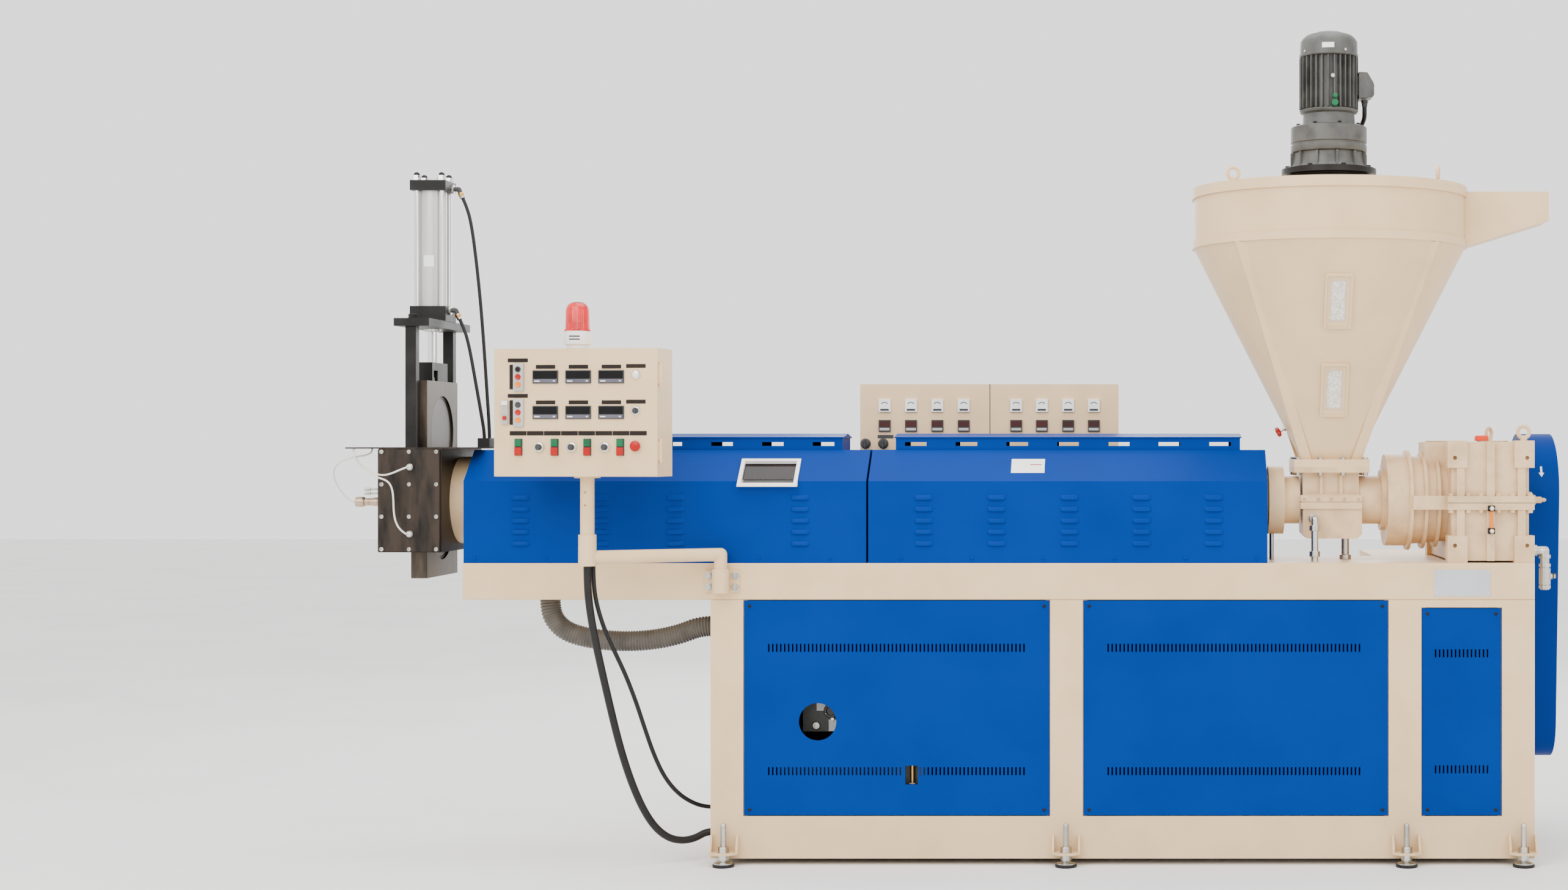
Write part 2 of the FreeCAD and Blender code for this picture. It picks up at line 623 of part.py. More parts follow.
def hydraulic_unit():
    """Oil tank on a pan in the left bay, with its pump motor, pump and sight tube."""
    pan_top, sheet_back = RAIL_TOP + FLOOR_PAN_SHEET, PANEL_RECESS + PANEL_SHEET
    pan = block((BAY_X[0] + PANEL_SEAT, BAY_X[0] + BAY_WIDTHS[0] - PANEL_SEAT),
                (sheet_back + PAN_CLEARANCE, BASE_DEPTH - sheet_back - PAN_CLEARANCE),
                (RAIL_TOP, pan_top))
    x = (BAY_X[0] + TANK_X[0], BAY_X[0] + TANK_X[1])
    tank = block(x, TANK_Y, (pan_top, pan_top + TANK_HEIGHT))
    hub_x, hub_z = BAY_X[0] + PEEP_HOLE_AT[0], pan_top + TANK_HEIGHT + PUMP_MOTOR_RADIUS
    motor_x = hub_x + PUMP_MOTOR_OFFSET
    motor = rod(PUMP_MOTOR_RADIUS, (motor_x, PUMP_MOTOR_Y, hub_z),
                (motor_x + PUMP_MOTOR_LENGTH, PUMP_MOTOR_Y, hub_z))
    pump = rod(PUMP_RADIUS, (hub_x - PUMP_REACH, PUMP_MOTOR_Y, hub_z), (motor_x, PUMP_MOTOR_Y, hub_z))
    saddle = block((hub_x + SADDLE_X[0], hub_x + SADDLE_X[1]),
                   (PUMP_MOTOR_Y - SADDLE_HALF_DEPTH, PUMP_MOTOR_Y + SADDLE_HALF_DEPTH),
                   (pan_top + TANK_HEIGHT, hub_z))
    tube_x = BAY_X[0] + SIGHT_SLOT[0] + SIGHT_SLOT[2] / 2
    tube_y = TANK_Y[0] - 2 * SIGHT_TUBE_RADIUS
    glass = rod(SIGHT_TUBE_RADIUS, (tube_x, tube_y, SIGHT_TUBE_Z[0]), (tube_x, tube_y, SIGHT_TUBE_Z[1]))
    half = SIGHT_END_HALF
    ends = [block((tube_x - half, tube_x + half), (tube_y - half, TANK_Y[0]),
                  (z - SIGHT_END_HEIGHT / 2, z + SIGHT_END_HEIGHT / 2)) for z in SIGHT_TUBE_Z]
    return fused(pan, tank, motor, pump, saddle, glass, *ends)


# ---- barrel and covers ----
def barrel():
    """Heated barrel with its outlet head and rear ring, bored for the screw."""
    start = CHANGER_X[1]
    end = HOPPER_X - MID_FLANGE_HALF
    tube = rod(BARREL_RADIUS, (start, AXIS_Y, AXIS_Z), (end, AXIS_Y, AXIS_Z))
    head = rod(HEAD_RADIUS, (start, AXIS_Y, AXIS_Z), (start + HEAD_LENGTH, AXIS_Y, AXIS_Z))
    rear = rod(REAR_RING_RADIUS, (REAR_RING_X[0], AXIS_Y, AXIS_Z), (REAR_RING_X[1], AXIS_Y, AXIS_Z))
    return fused(tube, head, rear)


def cover_outline(x, inset=0.0):
    """The covers' outline at one x: upright sides, sloping shoulders and a flat top."""
    front, back = COVER_FRONT + inset, BASE_DEPTH - COVER_FRONT - inset
    top, shoulder = COVER_TOP_Z - inset, COVER_SHOULDER_Z - inset * 0.45
    low = TABLE_TOP
    step = COVER_TOP_INSET + inset * 0.45 - inset
    return [(x, front, low), (x, back, low), (x, back, shoulder), (x, back - step, top),
            (x, front + step, top), (x, front, shoulder)]


def barrel_cover(start, end):
    """A sheet hood over the barrel, open below, with an end sheet at each end."""
    outer = prism(cover_outline(start), (end - start, 0, 0))
    inner = prism(cover_outline(start + COVER_SHEET, COVER_SHEET),
                  (end - start - 2 * COVER_SHEET, 0, 0))
    hole = rod(BARREL_RADIUS + COVER_HOLE_PLAY, (start - 1, AXIS_Y, AXIS_Z), (end + 1, AXIS_Y, AXIS_Z))
    return outer.cut([inner, hole])


def shoulder_point(x, along, out):
    """A point on the covers' front shoulder: so far up its slope, and so far out from it."""
    slope = Vector(0, COVER_TOP_INSET, COVER_TOP_Z - COVER_SHOULDER_Z).normalize()
    outward = Vector(0, -slope.z, slope.y)
    place = Vector(x, COVER_FRONT, COVER_SHOULDER_Z) + slope * along + outward * out
    return tuple(place)


def window_block(x, rim, proud, depth):
    """The block that the cover window fills, with its rim drawn in by this much."""
    low, high = WINDOW_SLOPE[0] + rim, WINDOW_SLOPE[1] - rim
    sill = shoulder_point(x[0], WINDOW_SLOPE[0], 0)[2] + rim / 2
    lip = shoulder_point(x[0], low, proud)
    outline = [(x[0], lip[1], sill), lip, shoulder_point(x[0], high, proud),
               shoulder_point(x[0], high, -depth), (x[0], COVER_FRONT + depth, sill)]
    return prism(outline, (x[1] - x[0], 0, 0))


def barrel_cover_left():
    """Hood over the outlet half of the barrel, cut for its sight window."""
    hood = barrel_cover(-OVERHANG + 2, COVER_SPLIT_X)
    return hood.cut(window_block(WINDOW_X, 0.0, WINDOW_PROUD, WINDOW_DEPTH))


def barrel_cover_right():
    """Hood over the feed half of the barrel."""
    return barrel_cover(COVER_SPLIT_X + COVER_SPLIT_GAP, COVER_END_X)


def vent_cap(start, end):
    """A raised ventilator: slotted side walls under a low roof, open to the hood below."""
    front, back = AXIS_Y - VENT_HALF_DEPTH, AXIS_Y + VENT_HALF_DEPTH
    eave, ridge = COVER_TOP_Z + VENT_WALL, COVER_TOP_Z + VENT_WALL + VENT_RIDGE
    lip = VENT_ROOF_LIP
    body = block((start, end), (front, back), (COVER_TOP_Z, eave))
    body = body.cut(block((start + COVER_SHEET, end - COVER_SHEET),
                          (front + COVER_SHEET, back - COVER_SHEET), (COVER_TOP_Z - 1, eave)))
    roof = prism([(start - lip, front - lip, eave), (start - lip, back + lip, eave),
                  (start - lip, back + lip, eave + 4), (start - lip, AXIS_Y, ridge),
                  (start - lip, front - lip, eave + 4)], (end - start + 2 * lip, 0, 0))
    count = int((end - start - VENT_SLOT[0]) // VENT_SLOT_PITCH) + 1
    first = (start + end - (count - 1) * VENT_SLOT_PITCH) / 2
    (width, height), middle = VENT_SLOT, COVER_TOP_Z + VENT_WALL / 2
    centres = [first + i * VENT_SLOT_PITCH for i in range(count)]
    slots = [block((x - width / 2, x + width / 2), (front - 1, back + 1),
                   (middle - height / 2, middle + height / 2)) for x in centres]
    return fused(body, roof).cut(slots)


def vent_caps():
    """The ventilators on both hoods."""
    left = vent_cap(-OVERHANG + VENT_FIRST_ENDS[0], COVER_SPLIT_X - VENT_FIRST_ENDS[1])
    right = vent_cap(COVER_SPLIT_X + COVER_SPLIT_GAP + VENT_ENDS[1], COVER_END_X - VENT_ENDS[0])
    return group(left, right)


def cover_window():
    """Framed sight window in the left hood's shoulder, with its pane set deep in the frame."""
    frame = window_block(WINDOW_X, 0.0, WINDOW_PROUD, WINDOW_DEPTH)
    inside = (WINDOW_X[0] + WINDOW_FRAME, WINDOW_X[1] - WINDOW_FRAME)
    return frame.cut(window_block(inside, WINDOW_FRAME, WINDOW_PROUD + 1, WINDOW_DEPTH - WINDOW_PANE))


def hose_guide():
    """Collar on the changer's top plate that the hydraulic hoses drop into."""
    width, depth, height = HOSE_GUIDE_SIZE
    x, y = -OVERHANG + HOSE_GUIDE_INSET, AXIS_Y
    low = CHANGER_Z[1] + TOP_PLATE
    z = (low, low + height)
    outer = block((x - width / 2, x + width / 2), (y - depth / 2, y + depth / 2), z)
    wall = HOSE_GUIDE_WALL
    return outer.cut(block((x - width / 2 + wall, x + width / 2 - wall),
                           (y - depth / 2 + wall, y + depth / 2 - wall), (z[0] + wall, z[1] + 1)))


# ---- screen changer ----
def slide_x():
    """Low and high x of the slide plate."""
    middle = sum(CHANGER_X) / 2 + SLIDE_OFFSET_X
    return (middle - SLIDE_THICKNESS / 2, middle + SLIDE_THICKNESS / 2)


def changer_block():
    """Steel body that guides the slide plate; the melt leaves through its left face."""
    body = block(CHANGER_X, CHANGER_Y, CHANGER_Z)
    x = slide_x()
    way = block((x[0] - SLIDE_PLAY, x[1] + SLIDE_PLAY),
                (AXIS_Y - SLIDE_WIDTH / 2 - SLIDE_PLAY, AXIS_Y + SLIDE_WIDTH / 2 + SLIDE_PLAY),
                (CHANGER_Z[0] - 1, CHANGER_Z[1] + 1))
    outlet = rod(MELT_BORE_RADIUS, (CHANGER_X[0] - 1, AXIS_Y, AXIS_Z),
                 (CHANGER_X[0] + MELT_BORE_DEPTH, AXIS_Y, AXIS_Z))
    return body.cut([way, outlet])


def changer_front_plate():
    """Heater cover plates on the front and back of the changer body."""
    x = (CHANGER_X[0] + FRONT_PLATE_INSET, CHANGER_X[1] - FRONT_PLATE_INSET)
    z = (CHANGER_Z[0] + FRONT_PLATE_INSET, CHANGER_Z[1] - FRONT_PLATE_INSET)
    return group(block(x, (CHANGER_Y[0] - FRONT_PLATE, CHANGER_Y[0]), z),
                 block(x, (CHANGER_Y[1], CHANGER_Y[1] + FRONT_PLATE), z))


def changer_top_plate():
    """Thin plate on the changer body, cut for the slide plate and the columns."""
    plate = block(TOP_PLATE_X, CHANGER_Y, (CHANGER_Z[1], CHANGER_Z[1] + TOP_PLATE))
    x = slide_x()
    way = block((x[0] - 2, x[1] + 2), (AXIS_Y - SLIDE_WIDTH / 2 - 2, AXIS_Y + SLIDE_WIDTH / 2 + 2),
                (CHANGER_Z[1] - 1, CHANGER_Z[1] + 10))
    return plate.cut(way)


def melt_sensors():
    """Sensor stubs on the changer's left face, and heater terminals on its front plate."""
    face = CHANGER_X[0]
    probe = turned(PROBE_PROFILE, (face, AXIS_Y + PROBE_OFFSET[0], AXIS_Z + PROBE_OFFSET[1]),
                   (-1, 0, 0), (0, 0, 1))
    pins = [rod(PIN_RADIUS, (face, AXIS_Y + dy, AXIS_Z + dz), (face - PIN_LENGTH, AXIS_Y + dy, AXIS_Z + dz))
            for dy, dz in PIN_OFFSETS]
    front = CHANGER_Y[0] - FRONT_PLATE
    terminals = [turned(TERMINAL_PROFILE, (CYLINDER_X, front, z), (0, -1, 0), (1, 0, 0))
                 for z in TERMINAL_HEIGHTS]
    return group(probe, *pins, *terminals)


def column_x():
    """Low and high x of the columns that carry the cylinder."""
    left = slide_x()[0] - COLUMN_OFFSET_X
    return (left, left + COLUMN_SIZE[0])


def guide_columns():
    """Two upright bars from the changer body to the cylinder's mounting plate."""
    z = (CHANGER_Z[1] + TOP_PLATE, MOUNT_PLATE_Z)
    near, far = CHANGER_Y[0] + COLUMN_INSET, CHANGER_Y[1] - COLUMN_INSET
    front = block(column_x(), (near, near + COLUMN_SIZE[1]), z)
    back = block(column_x(), (far - COLUMN_SIZE[1], far), z)
    return group(front, back)


def cylinder_mount_plate():
    """Plate across the columns, bored for the piston rod."""
    width, depth, height = MOUNT_PLATE_SIZE
    plate = block((CYLINDER_X - width / 2, CYLINDER_X + width / 2),
                  (AXIS_Y - depth / 2, AXIS_Y + depth / 2), (MOUNT_PLATE_Z, MOUNT_PLATE_Z + height))
    return plate.cut(rod(ROD_RADIUS + ROD_GUIDE_PLAY, (CYLINDER_X, AXIS_Y, MOUNT_PLATE_Z - 1),
                         (CYLINDER_X, AXIS_Y, MOUNT_PLATE_Z + height + 1)))


def cylinder_tube():
    """Tube of the hydraulic cylinder, bored so that the rod can travel up it."""
    low = MOUNT_PLATE_Z + MOUNT_PLATE_SIZE[2] + LOWER_CAP_HEIGHT
    return ring(CYLINDER_RADIUS, CYLINDER_RADIUS - CYLINDER_WALL, (CYLINDER_X, AXIS_Y, low),
                (CYLINDER_X, AXIS_Y, UPPER_CAP_Z))


def cylinder_caps():
    """Square end caps of the hydraulic cylinder."""
    half = CAP_SIZE / 2
    x, y = (CYLINDER_X - half, CYLINDER_X + half), (AXIS_Y - half, AXIS_Y + half)
    low = MOUNT_PLATE_Z + MOUNT_PLATE_SIZE[2]
    lower = block(x, y, (low, low + LOWER_CAP_HEIGHT))
    lower = lower.cut(rod(ROD_RADIUS + ROD_GUIDE_PLAY, (CYLINDER_X, AXIS_Y, low - 1),
                          (CYLINDER_X, AXIS_Y, low + LOWER_CAP_HEIGHT + 1)))
    upper = block(x, y, (UPPER_CAP_Z, UPPER_CAP_Z + UPPER_CAP_HEIGHT))
    return group(lower, upper)


def tie_rods():
    """Four rods between the caps, with a nut on top of each."""
    half = TIE_ROD_SPACING / 2
    low = MOUNT_PLATE_Z + MOUNT_PLATE_SIZE[2] + LOWER_CAP_HEIGHT
    top = UPPER_CAP_Z + UPPER_CAP_HEIGHT
    solids = []
    for dx in (-half, half):
        for dy in (-half, half):
            x, y = CYLINDER_X + dx, AXIS_Y + dy
            solids.append(rod(TIE_ROD_RADIUS, (x, y, low), (x, y, UPPER_CAP_Z)))
            solids.append(hexagon(TIE_NUT_FLATS, TIE_NUT_HEIGHT, (x, y, top)))
    return group(*solids)


def hose_fitting(offset, z):
    """An elbow on a cap's right face that turns a hose down and away."""
    face, y = CYLINDER_X + CAP_SIZE / 2, AXIS_Y + offset
    collar_radius, collar_length = ELBOW_COLLAR
    knee, mouth = (face + ELBOW_KNEE, y, z), (face + ELBOW_MOUTH[0], y, z + ELBOW_MOUTH[1])
    collar = rod(collar_radius, (face, y, z), (face + collar_length, y, z))
    arm = rod(ELBOW_RADIUS, (face + collar_length, y, z), knee)
    return fused(collar, arm, Part.makeSphere(ELBOW_RADIUS, Vector(*knee)), rod(ELBOW_RADIUS, knee, mouth))


def hose_fittings():
    """Elbows of both hydraulic hoses."""
    return group(hose_fitting(*UPPER_ELBOW), hose_fitting(*LOWER_ELBOW))


def slide_plate():
    """Moving plate with a screen recess in each half; one is in the melt, one outside."""
    x = slide_x()
    plate = block(x, (AXIS_Y - SLIDE_WIDTH / 2, AXIS_Y + SLIDE_WIDTH / 2), SLIDE_Z)
    recesses = [rod(SCREEN_RADIUS, (x[1] - SCREEN_DEPTH, AXIS_Y, z), (x[1] + 1, AXIS_Y, z))
                for z in SCREEN_Z]
    return plate.cut(recesses)


def rod_coupling():
    """Block that joins the piston rod to the slide plate, notched for its bolt."""
    width, depth, height = COUPLING_SIZE
    low = SLIDE_Z[1]
    body = block((CYLINDER_X - width / 2, CYLINDER_X + width / 2),
                 (AXIS_Y - depth / 2, AXIS_Y + depth / 2), (low, low + height))
    notch_width, notch_depth, notch_height = COUPLING_NOTCH
    near = AXIS_Y + COUPLING_NOTCH_Y
    notch = block((CYLINDER_X + width / 2 - notch_width, CYLINDER_X + width / 2 + 1),
                  (near, near + notch_depth), (low - 1, low + notch_height))
    return body.cut(notch)


def piston_rod():
    """Bright rod from the coupling up into the cylinder."""
    low = SLIDE_Z[1] + COUPLING_SIZE[2]
    return rod(ROD_RADIUS, (CYLINDER_X, AXIS_Y, low), (CYLINDER_X, AXIS_Y, UPPER_CAP_Z - PISTON_TOP_GAP))


# ---- feed throat and hopper ----
def square(half, z, x=HOPPER_X):
    """Corner points of a square around the hopper's axis."""
    return [(x - half, AXIS_Y - half, z), (x + half, AXIS_Y - half, z),
            (x + half, AXIS_Y + half, z), (x - half, AXIS_Y + half, z)]


def feed_throat():
    """Cast housing around the barrel's feed end, with ribs, a split flange and a top flange."""
    upper = block((HOPPER_X - THROAT_HALF, HOPPER_X + THROAT_HALF),
                  (AXIS_Y - THROAT_HALF, AXIS_Y + THROAT_HALF), (MID_FLANGE_Z[1], THROAT_FLANGE_Z[0]))
    pockets = []
    third = (2 * THROAT_HALF - 24) / 3
    for i in range(3):
        x0 = HOPPER_X - THROAT_HALF + i * (third + 12)
        for y in ((AXIS_Y - THROAT_HALF - 1, AXIS_Y - THROAT_HALF + 14),
                  (AXIS_Y + THROAT_HALF - 14, AXIS_Y + THROAT_HALF + 1)):
            pockets.append(block((x0, x0 + third), y, (MID_FLANGE_Z[1] + 6, THROAT_FLANGE_Z[0] - 6)))
    flange = prism(square(THROAT_FLANGE_HALF, THROAT_FLANGE_Z[0]),
                   (0, 0, THROAT_FLANGE_Z[1] - THROAT_FLANGE_Z[0]))
    split = (MID_FLANGE_Z[0] + MID_FLANGE_Z[1]) / 2
    below = (MID_FLANGE_Z[0], split - MID_FLANGE_SPLIT / 2)
    above = (split + MID_FLANGE_SPLIT / 2, MID_FLANGE_Z[1])
    halves = [prism(square(MID_FLANGE_HALF, z0), (0, 0, z1 - z0)) for z0, z1 in (below, above)]
    waist = prism(square(MID_FLANGE_HALF - 4, split - MID_FLANGE_SPLIT / 2), (0, 0, MID_FLANGE_SPLIT))
    low = block(THROAT_X, (AXIS_Y - THROAT_HALF, AXIS_Y + THROAT_HALF), (THROAT_BOTTOM, MID_FLANGE_Z[0]))
    low = low.makeChamfer(18, [e for e in low.Edges if e.BoundBox.ZMax < THROAT_BOTTOM + 1
                               and e.BoundBox.XLength < 1])
    neck = rod(BARREL_RADIUS + 1, (HOPPER_X, AXIS_Y, AXIS_Z), (NECK_CYLINDER_X, AXIS_Y, AXIS_Z))
    core = rod(THROAT_HALF - 20, (HOPPER_X, AXIS_Y, AXIS_Z), (HOPPER_X, AXIS_Y, THROAT_FLANGE_Z[1] + 1))
    body = fused(upper.cut(pockets), flange, *halves, waist, low, neck)
    return body.cut(core)


def water_pipes():
    """Cooling pipes from the throat down to the table, and the barrel's rear prop."""
    front_y = AXIS_Y - THROAT_HALF
    x, y, z = 2312.0, front_y - 56, 1313.0
    inlet = fused(rod(12, (x, front_y, z), (x, y, z)), Part.makeSphere(13.5, Vector(x, y, z)),
                  rod(13.5, (x, y, z), (x, y, TABLE_TOP)))
    outlet = rod(16, (2450, AXIS_Y + 60, THROAT_BOTTOM), (2450, AXIS_Y + 60, TABLE_TOP))
    prop_x = sum(REAR_RING_X) / 2 - 14
    prop = rod(9, (prop_x, AXIS_Y, TABLE_TOP), (prop_x, AXIS_Y, AXIS_Z - REAR_RING_RADIUS))
    return group(inlet, outlet, prop)


def hopper_hull(inset):
    """Square-to-round body of the hopper, as a solid, this far inside its outer face."""
    half, radius = THROAT_HALF - inset, HOPPER_RADIUS - inset
    corners = [Vector(*p) for p in square(half, CONE_FLANGE_Z[1])]
    centre = Vector(HOPPER_X, AXIS_Y, CONE_TOP_Z)
    sides, arcs = [], []
    for i in range(4):
        a = math.radians(225 + 90 * i)
        ends = [centre + Vector(math.cos(t), math.sin(t), 0) * radius
                for t in (a, a + math.pi / 4, a + math.pi / 2)]
        sides.append(Part.LineSegment(corners[i], corners[(i + 1) % 4]).toShape())
        arcs.append(Part.Arc(*ends).toShape())
    return Part.makeLoft([Part.Wire(sides), Part.Wire(arcs)], True, True)


def front_slope(z):
    """The y of the hopper's front centre line at a height."""
    share = (z - CONE_FLANGE_Z[1]) / (CONE_TOP_Z - CONE_FLANGE_Z[1])
    return AXIS_Y - THROAT_HALF - share * (HOPPER_RADIUS - THROAT_HALF)


def tilt():
    """How far the hopper's front leans out from upright, in degrees."""
    return math.degrees(math.atan2(HOPPER_RADIUS - THROAT_HALF, CONE_TOP_Z - CONE_FLANGE_Z[1]))


def on_slope(size, depth_in, depth_out, z):
    """A block laid on the hopper's front at a height, reaching in and out of its face."""
    plate = block((-size[0] / 2, size[0] / 2), (-depth_out, depth_in), (-size[1] / 2, size[1] / 2))
    plate.rotate(Vector(0, 0, 0), Vector(1, 0, 0), tilt())
    plate.translate(Vector(HOPPER_X, front_slope(z), z))
    return plate


def hopper_cone():
    """Square-to-round hopper body with its bottom flange and an angle rib on each corner."""
    shell = hopper_hull(0).cut(hopper_hull(HOPPER_SHEET))
    low = CONE_FLANGE_Z[0]
    flange = prism(square(THROAT_FLANGE_HALF, low), (0, 0, CONE_FLANGE_Z[1] - low))
    flange = flange.cut(prism(square(THROAT_HALF - HOPPER_SHEET, low - 1), (0, 0, 60)))
    ribs = []
    for a in (45, 135, 225, 315):
        out = Vector(math.cos(math.radians(a)), math.sin(math.radians(a)), 0)
        side = Vector(-out.y, out.x, 0)
        foot = Vector(HOPPER_X, AXIS_Y, CONE_FLANGE_Z[1]) + out * (THROAT_HALF * math.sqrt(2) - 12)
        top = Vector(HOPPER_X, AXIS_Y, CONE_TOP_Z) + out * (HOPPER_RADIUS - 12)
        outline = [foot + side * RIB_HALF_WIDTH, foot + out * RIB_RIDGE, foot - side * RIB_HALF_WIDTH,
                   foot - out * 4]
        ribs.append(Part.Face(Part.makePolygon(outline + outline[:1])).extrude(top - foot))
    body = fused(shell, flange, *[r.cut(hopper_hull(HOPPER_SHEET)) for r in ribs])
    return body.cut([on_slope(SIGHT_OPENING, 40, 60, z) for z in SIGHT_Z])


def chute_outline(y, inset=0.0):
    """Side view of the loading chute."""
    root = HOPPER_X + HOPPER_RADIUS - 60
    top = CHUTE_TOP_Z + (1 if inset else 0)
    end = CHUTE_END_X - inset
    low = CHUTE_ROOT_BOTTOM_Z + inset
    return [(root, y, low), (root, y, top), (end, y, top), (end, y, CHUTE_END_BOTTOM_Z + inset),
            (HOPPER_X + HOPPER_RADIUS, y, low)]


def disc(radius, low, high):
    """A round slab on the hopper's axis between two heights."""
    return rod(radius, (HOPPER_X, AXIS_Y, low), (HOPPER_X, AXIS_Y, high))


def hoop(outer, inner, low, high):
    """A round band on the hopper's axis between two heights."""
    return disc(outer, low, high).cut(disc(inner, low, high))


def hopper_band():
    """Upright cylindrical top of the hopper, with a stiffening bead and the chute's opening."""
    z = (CONE_TOP_Z, BAND_TOP_Z)
    wall = hoop(HOPPER_RADIUS, HOPPER_RADIUS - HOPPER_SHEET, *z)
    bead = hoop(HOPPER_RADIUS + BAND_BEAD_PROUD, HOPPER_RADIUS - HOPPER_SHEET / 2,
                z[0], z[0] + BAND_BEAD_HEIGHT)
    inside = CHUTE_HALF_WIDTH - HOPPER_SHEET
    mouth = block((HOPPER_X + 200, HOPPER_X + HOPPER_RADIUS + 40), (AXIS_Y - inside, AXIS_Y + inside),
                  (CHUTE_ROOT_BOTTOM_Z + HOPPER_SHEET, CHUTE_TOP_Z - LID_RIM_HEIGHT - CHUTE_FRAME_GAP))
    return fused(wall, bead).cut(mouth)


def hopper_chute():
    """Loading chute on the drive side, open on top, that falls into the hopper."""
    y0 = AXIS_Y - CHUTE_HALF_WIDTH
    outer = prism(chute_outline(y0), (0, 2 * CHUTE_HALF_WIDTH, 0))
    inner = prism(chute_outline(y0 + HOPPER_SHEET, HOPPER_SHEET),
                  (0, 2 * (CHUTE_HALF_WIDTH - HOPPER_SHEET), 0))
    below, above = CONE_TOP_Z - 50, BAND_TOP_Z + 50
    drum = disc(HOPPER_RADIUS + LID_FIT, below, above)
    bead = disc(HOPPER_RADIUS + BAND_BEAD_PROUD + LID_FIT, below, CONE_TOP_Z + BAND_BEAD_HEIGHT + LID_FIT)
    rim = disc(HOPPER_RADIUS + LID_RIM_PROUD + LID_FIT, BAND_TOP_Z - LID_RIM_HEIGHT - LID_FIT, above)
    return outer.cut([inner, drum, bead, rim])


def hopper_lid():
    """Flat lid with a turned-down rim and four lifting eyes."""
    outer = HOPPER_RADIUS + LID_RIM_PROUD
    sheet = disc(outer, BAND_TOP_Z, BAND_TOP_Z + LID_SHEET)
    rim = hoop(outer, HOPPER_RADIUS + LID_FIT, BAND_TOP_Z - LID_RIM_HEIGHT, BAND_TOP_Z)
    reach = HOPPER_RADIUS - EYE_INSET
    eyes = [eye_bolt((HOPPER_X + reach * math.cos(math.radians(angle)),
                      AXIS_Y + reach * math.sin(math.radians(angle)), BAND_TOP_Z + LID_SHEET), turn)
            for angle, turn in zip(EYE_ANGLES, EYE_TURNS)]
    return fused(sheet, rim, *eyes)


def sight_windows():
    """Two framed windows on the hopper's front, one above the other."""
    hull = hopper_hull(0)
    panes = []
    for z in SIGHT_Z:
        frame = on_slope(SIGHT_SIZE, 30, SIGHT_PROUD, z).cut(hull)
        hollow = on_slope((SIGHT_SIZE[0] - 26, SIGHT_SIZE[1] - 26), -SIGHT_PROUD / 2, SIGHT_PROUD + 1, z)
        panes.append(frame.cut(hollow))
    return panes


def hopper_knob():
    """Star knob on a stud at the hopper's lower left."""
    share = (KNOB_Z - CONE_FLANGE_Z[1]) / (CONE_TOP_Z - CONE_FLANGE_Z[1])
    face = HOPPER_X - THROAT_HALF - share * (HOPPER_RADIUS - THROAT_HALF)
    lean = math.radians(tilt())
    out = Vector(-math.cos(lean), 0, -math.sin(lean))
    root = Vector(face, AXIS_Y, KNOB_Z)
    stud_end = root + out * KNOB_STUD[1]
    stud = Part.makeCylinder(KNOB_STUD[0], KNOB_STUD[1] + 8, root - out * 8, out).cut(hopper_hull(0))
    return fused(stud, Part.makeCylinder(KNOB_RADIUS, KNOB_THICKNESS, stud_end, out))


def hopper_fittings():
    """What is screwed to the hopper's body: its sight windows and its knob."""
    return group(*sight_windows(), hopper_knob())


def lid_gearmotor():
    """Gearmotor that turns the stirrer, on a stool on the lid, with its terminal box."""
    body = turned([(z, r) for r, z in MOTOR_PROFILE], (HOPPER_X, AXIS_Y, 0), (0, 0, 1), (1, 0, 0))
    start, half = TERMINAL_LINK
    link = block((HOPPER_X + start, TERMINAL_BOX_X[0]), (AXIS_Y - half, AXIS_Y + half), TERMINAL_LINK_Z)
    half = TERMINAL_BOX_HALF_DEPTH
    box = block(TERMINAL_BOX_X, (AXIS_Y - half, AXIS_Y + half), TERMINAL_BOX_Z)
    x = sum(TERMINAL_BOX_X) / 2
    gland = rod(TERMINAL_GLAND[0], (x, AXIS_Y, TERMINAL_BOX_Z[0] - TERMINAL_GLAND[1]),
                (x, AXIS_Y, TERMINAL_BOX_Z[0]))
    seat = (HOPPER_X + CABLE_GLAND_OFFSET[0], AXIS_Y + CABLE_GLAND_OFFSET[1], BAND_TOP_Z + LID_SHEET)
    lid_gland = rod(TERMINAL_GLAND[0], seat, (seat[0], seat[1], seat[2] + CABLE_GLAND_HEIGHT))
    return group(fused(body, link, box, gland), lid_gland)


# ---- drive ----
def thrust_housing():
    """Ribbed cast housing between the throat and the gearbox, with side flange bars."""
    body = turned(THRUST_PROFILE, (0, AXIS_Y, AXIS_Z), (1, 0, 0), (0, 0, 1))
    bars = []
    for side in (-1, 1):
        y = sorted((AXIS_Y + side * THRUST_BAR_INNER, AXIS_Y + side * THRUST_FLANGE_HALF))
        bars.append(block((THRUST_BAR_X, GEARBOX_X[0]), y, MID_FLANGE_Z))
    end = GEARBOX_X[0] + CASE_INSET_X
    nose = rod(THRUST_NOSE_RADIUS, (THRUST_NOSE_X, AXIS_Y, AXIS_Z), (end, AXIS_Y, AXIS_Z))
    saddle = block((THRUST_SADDLE_X, end), (AXIS_Y - THRUST_SADDLE_HALF, AXIS_Y + THRUST_SADDLE_HALF),
                   (AXIS_Z + THRUST_SADDLE_Z, GEARBOX_TOP - CASE_TOP_STEP - 1))
    plate = fused(body, *bars, nose, saddle)
    return plate.cut(block(GEARBOX_X, GEARBOX_Y, MID_FLANGE_Z))


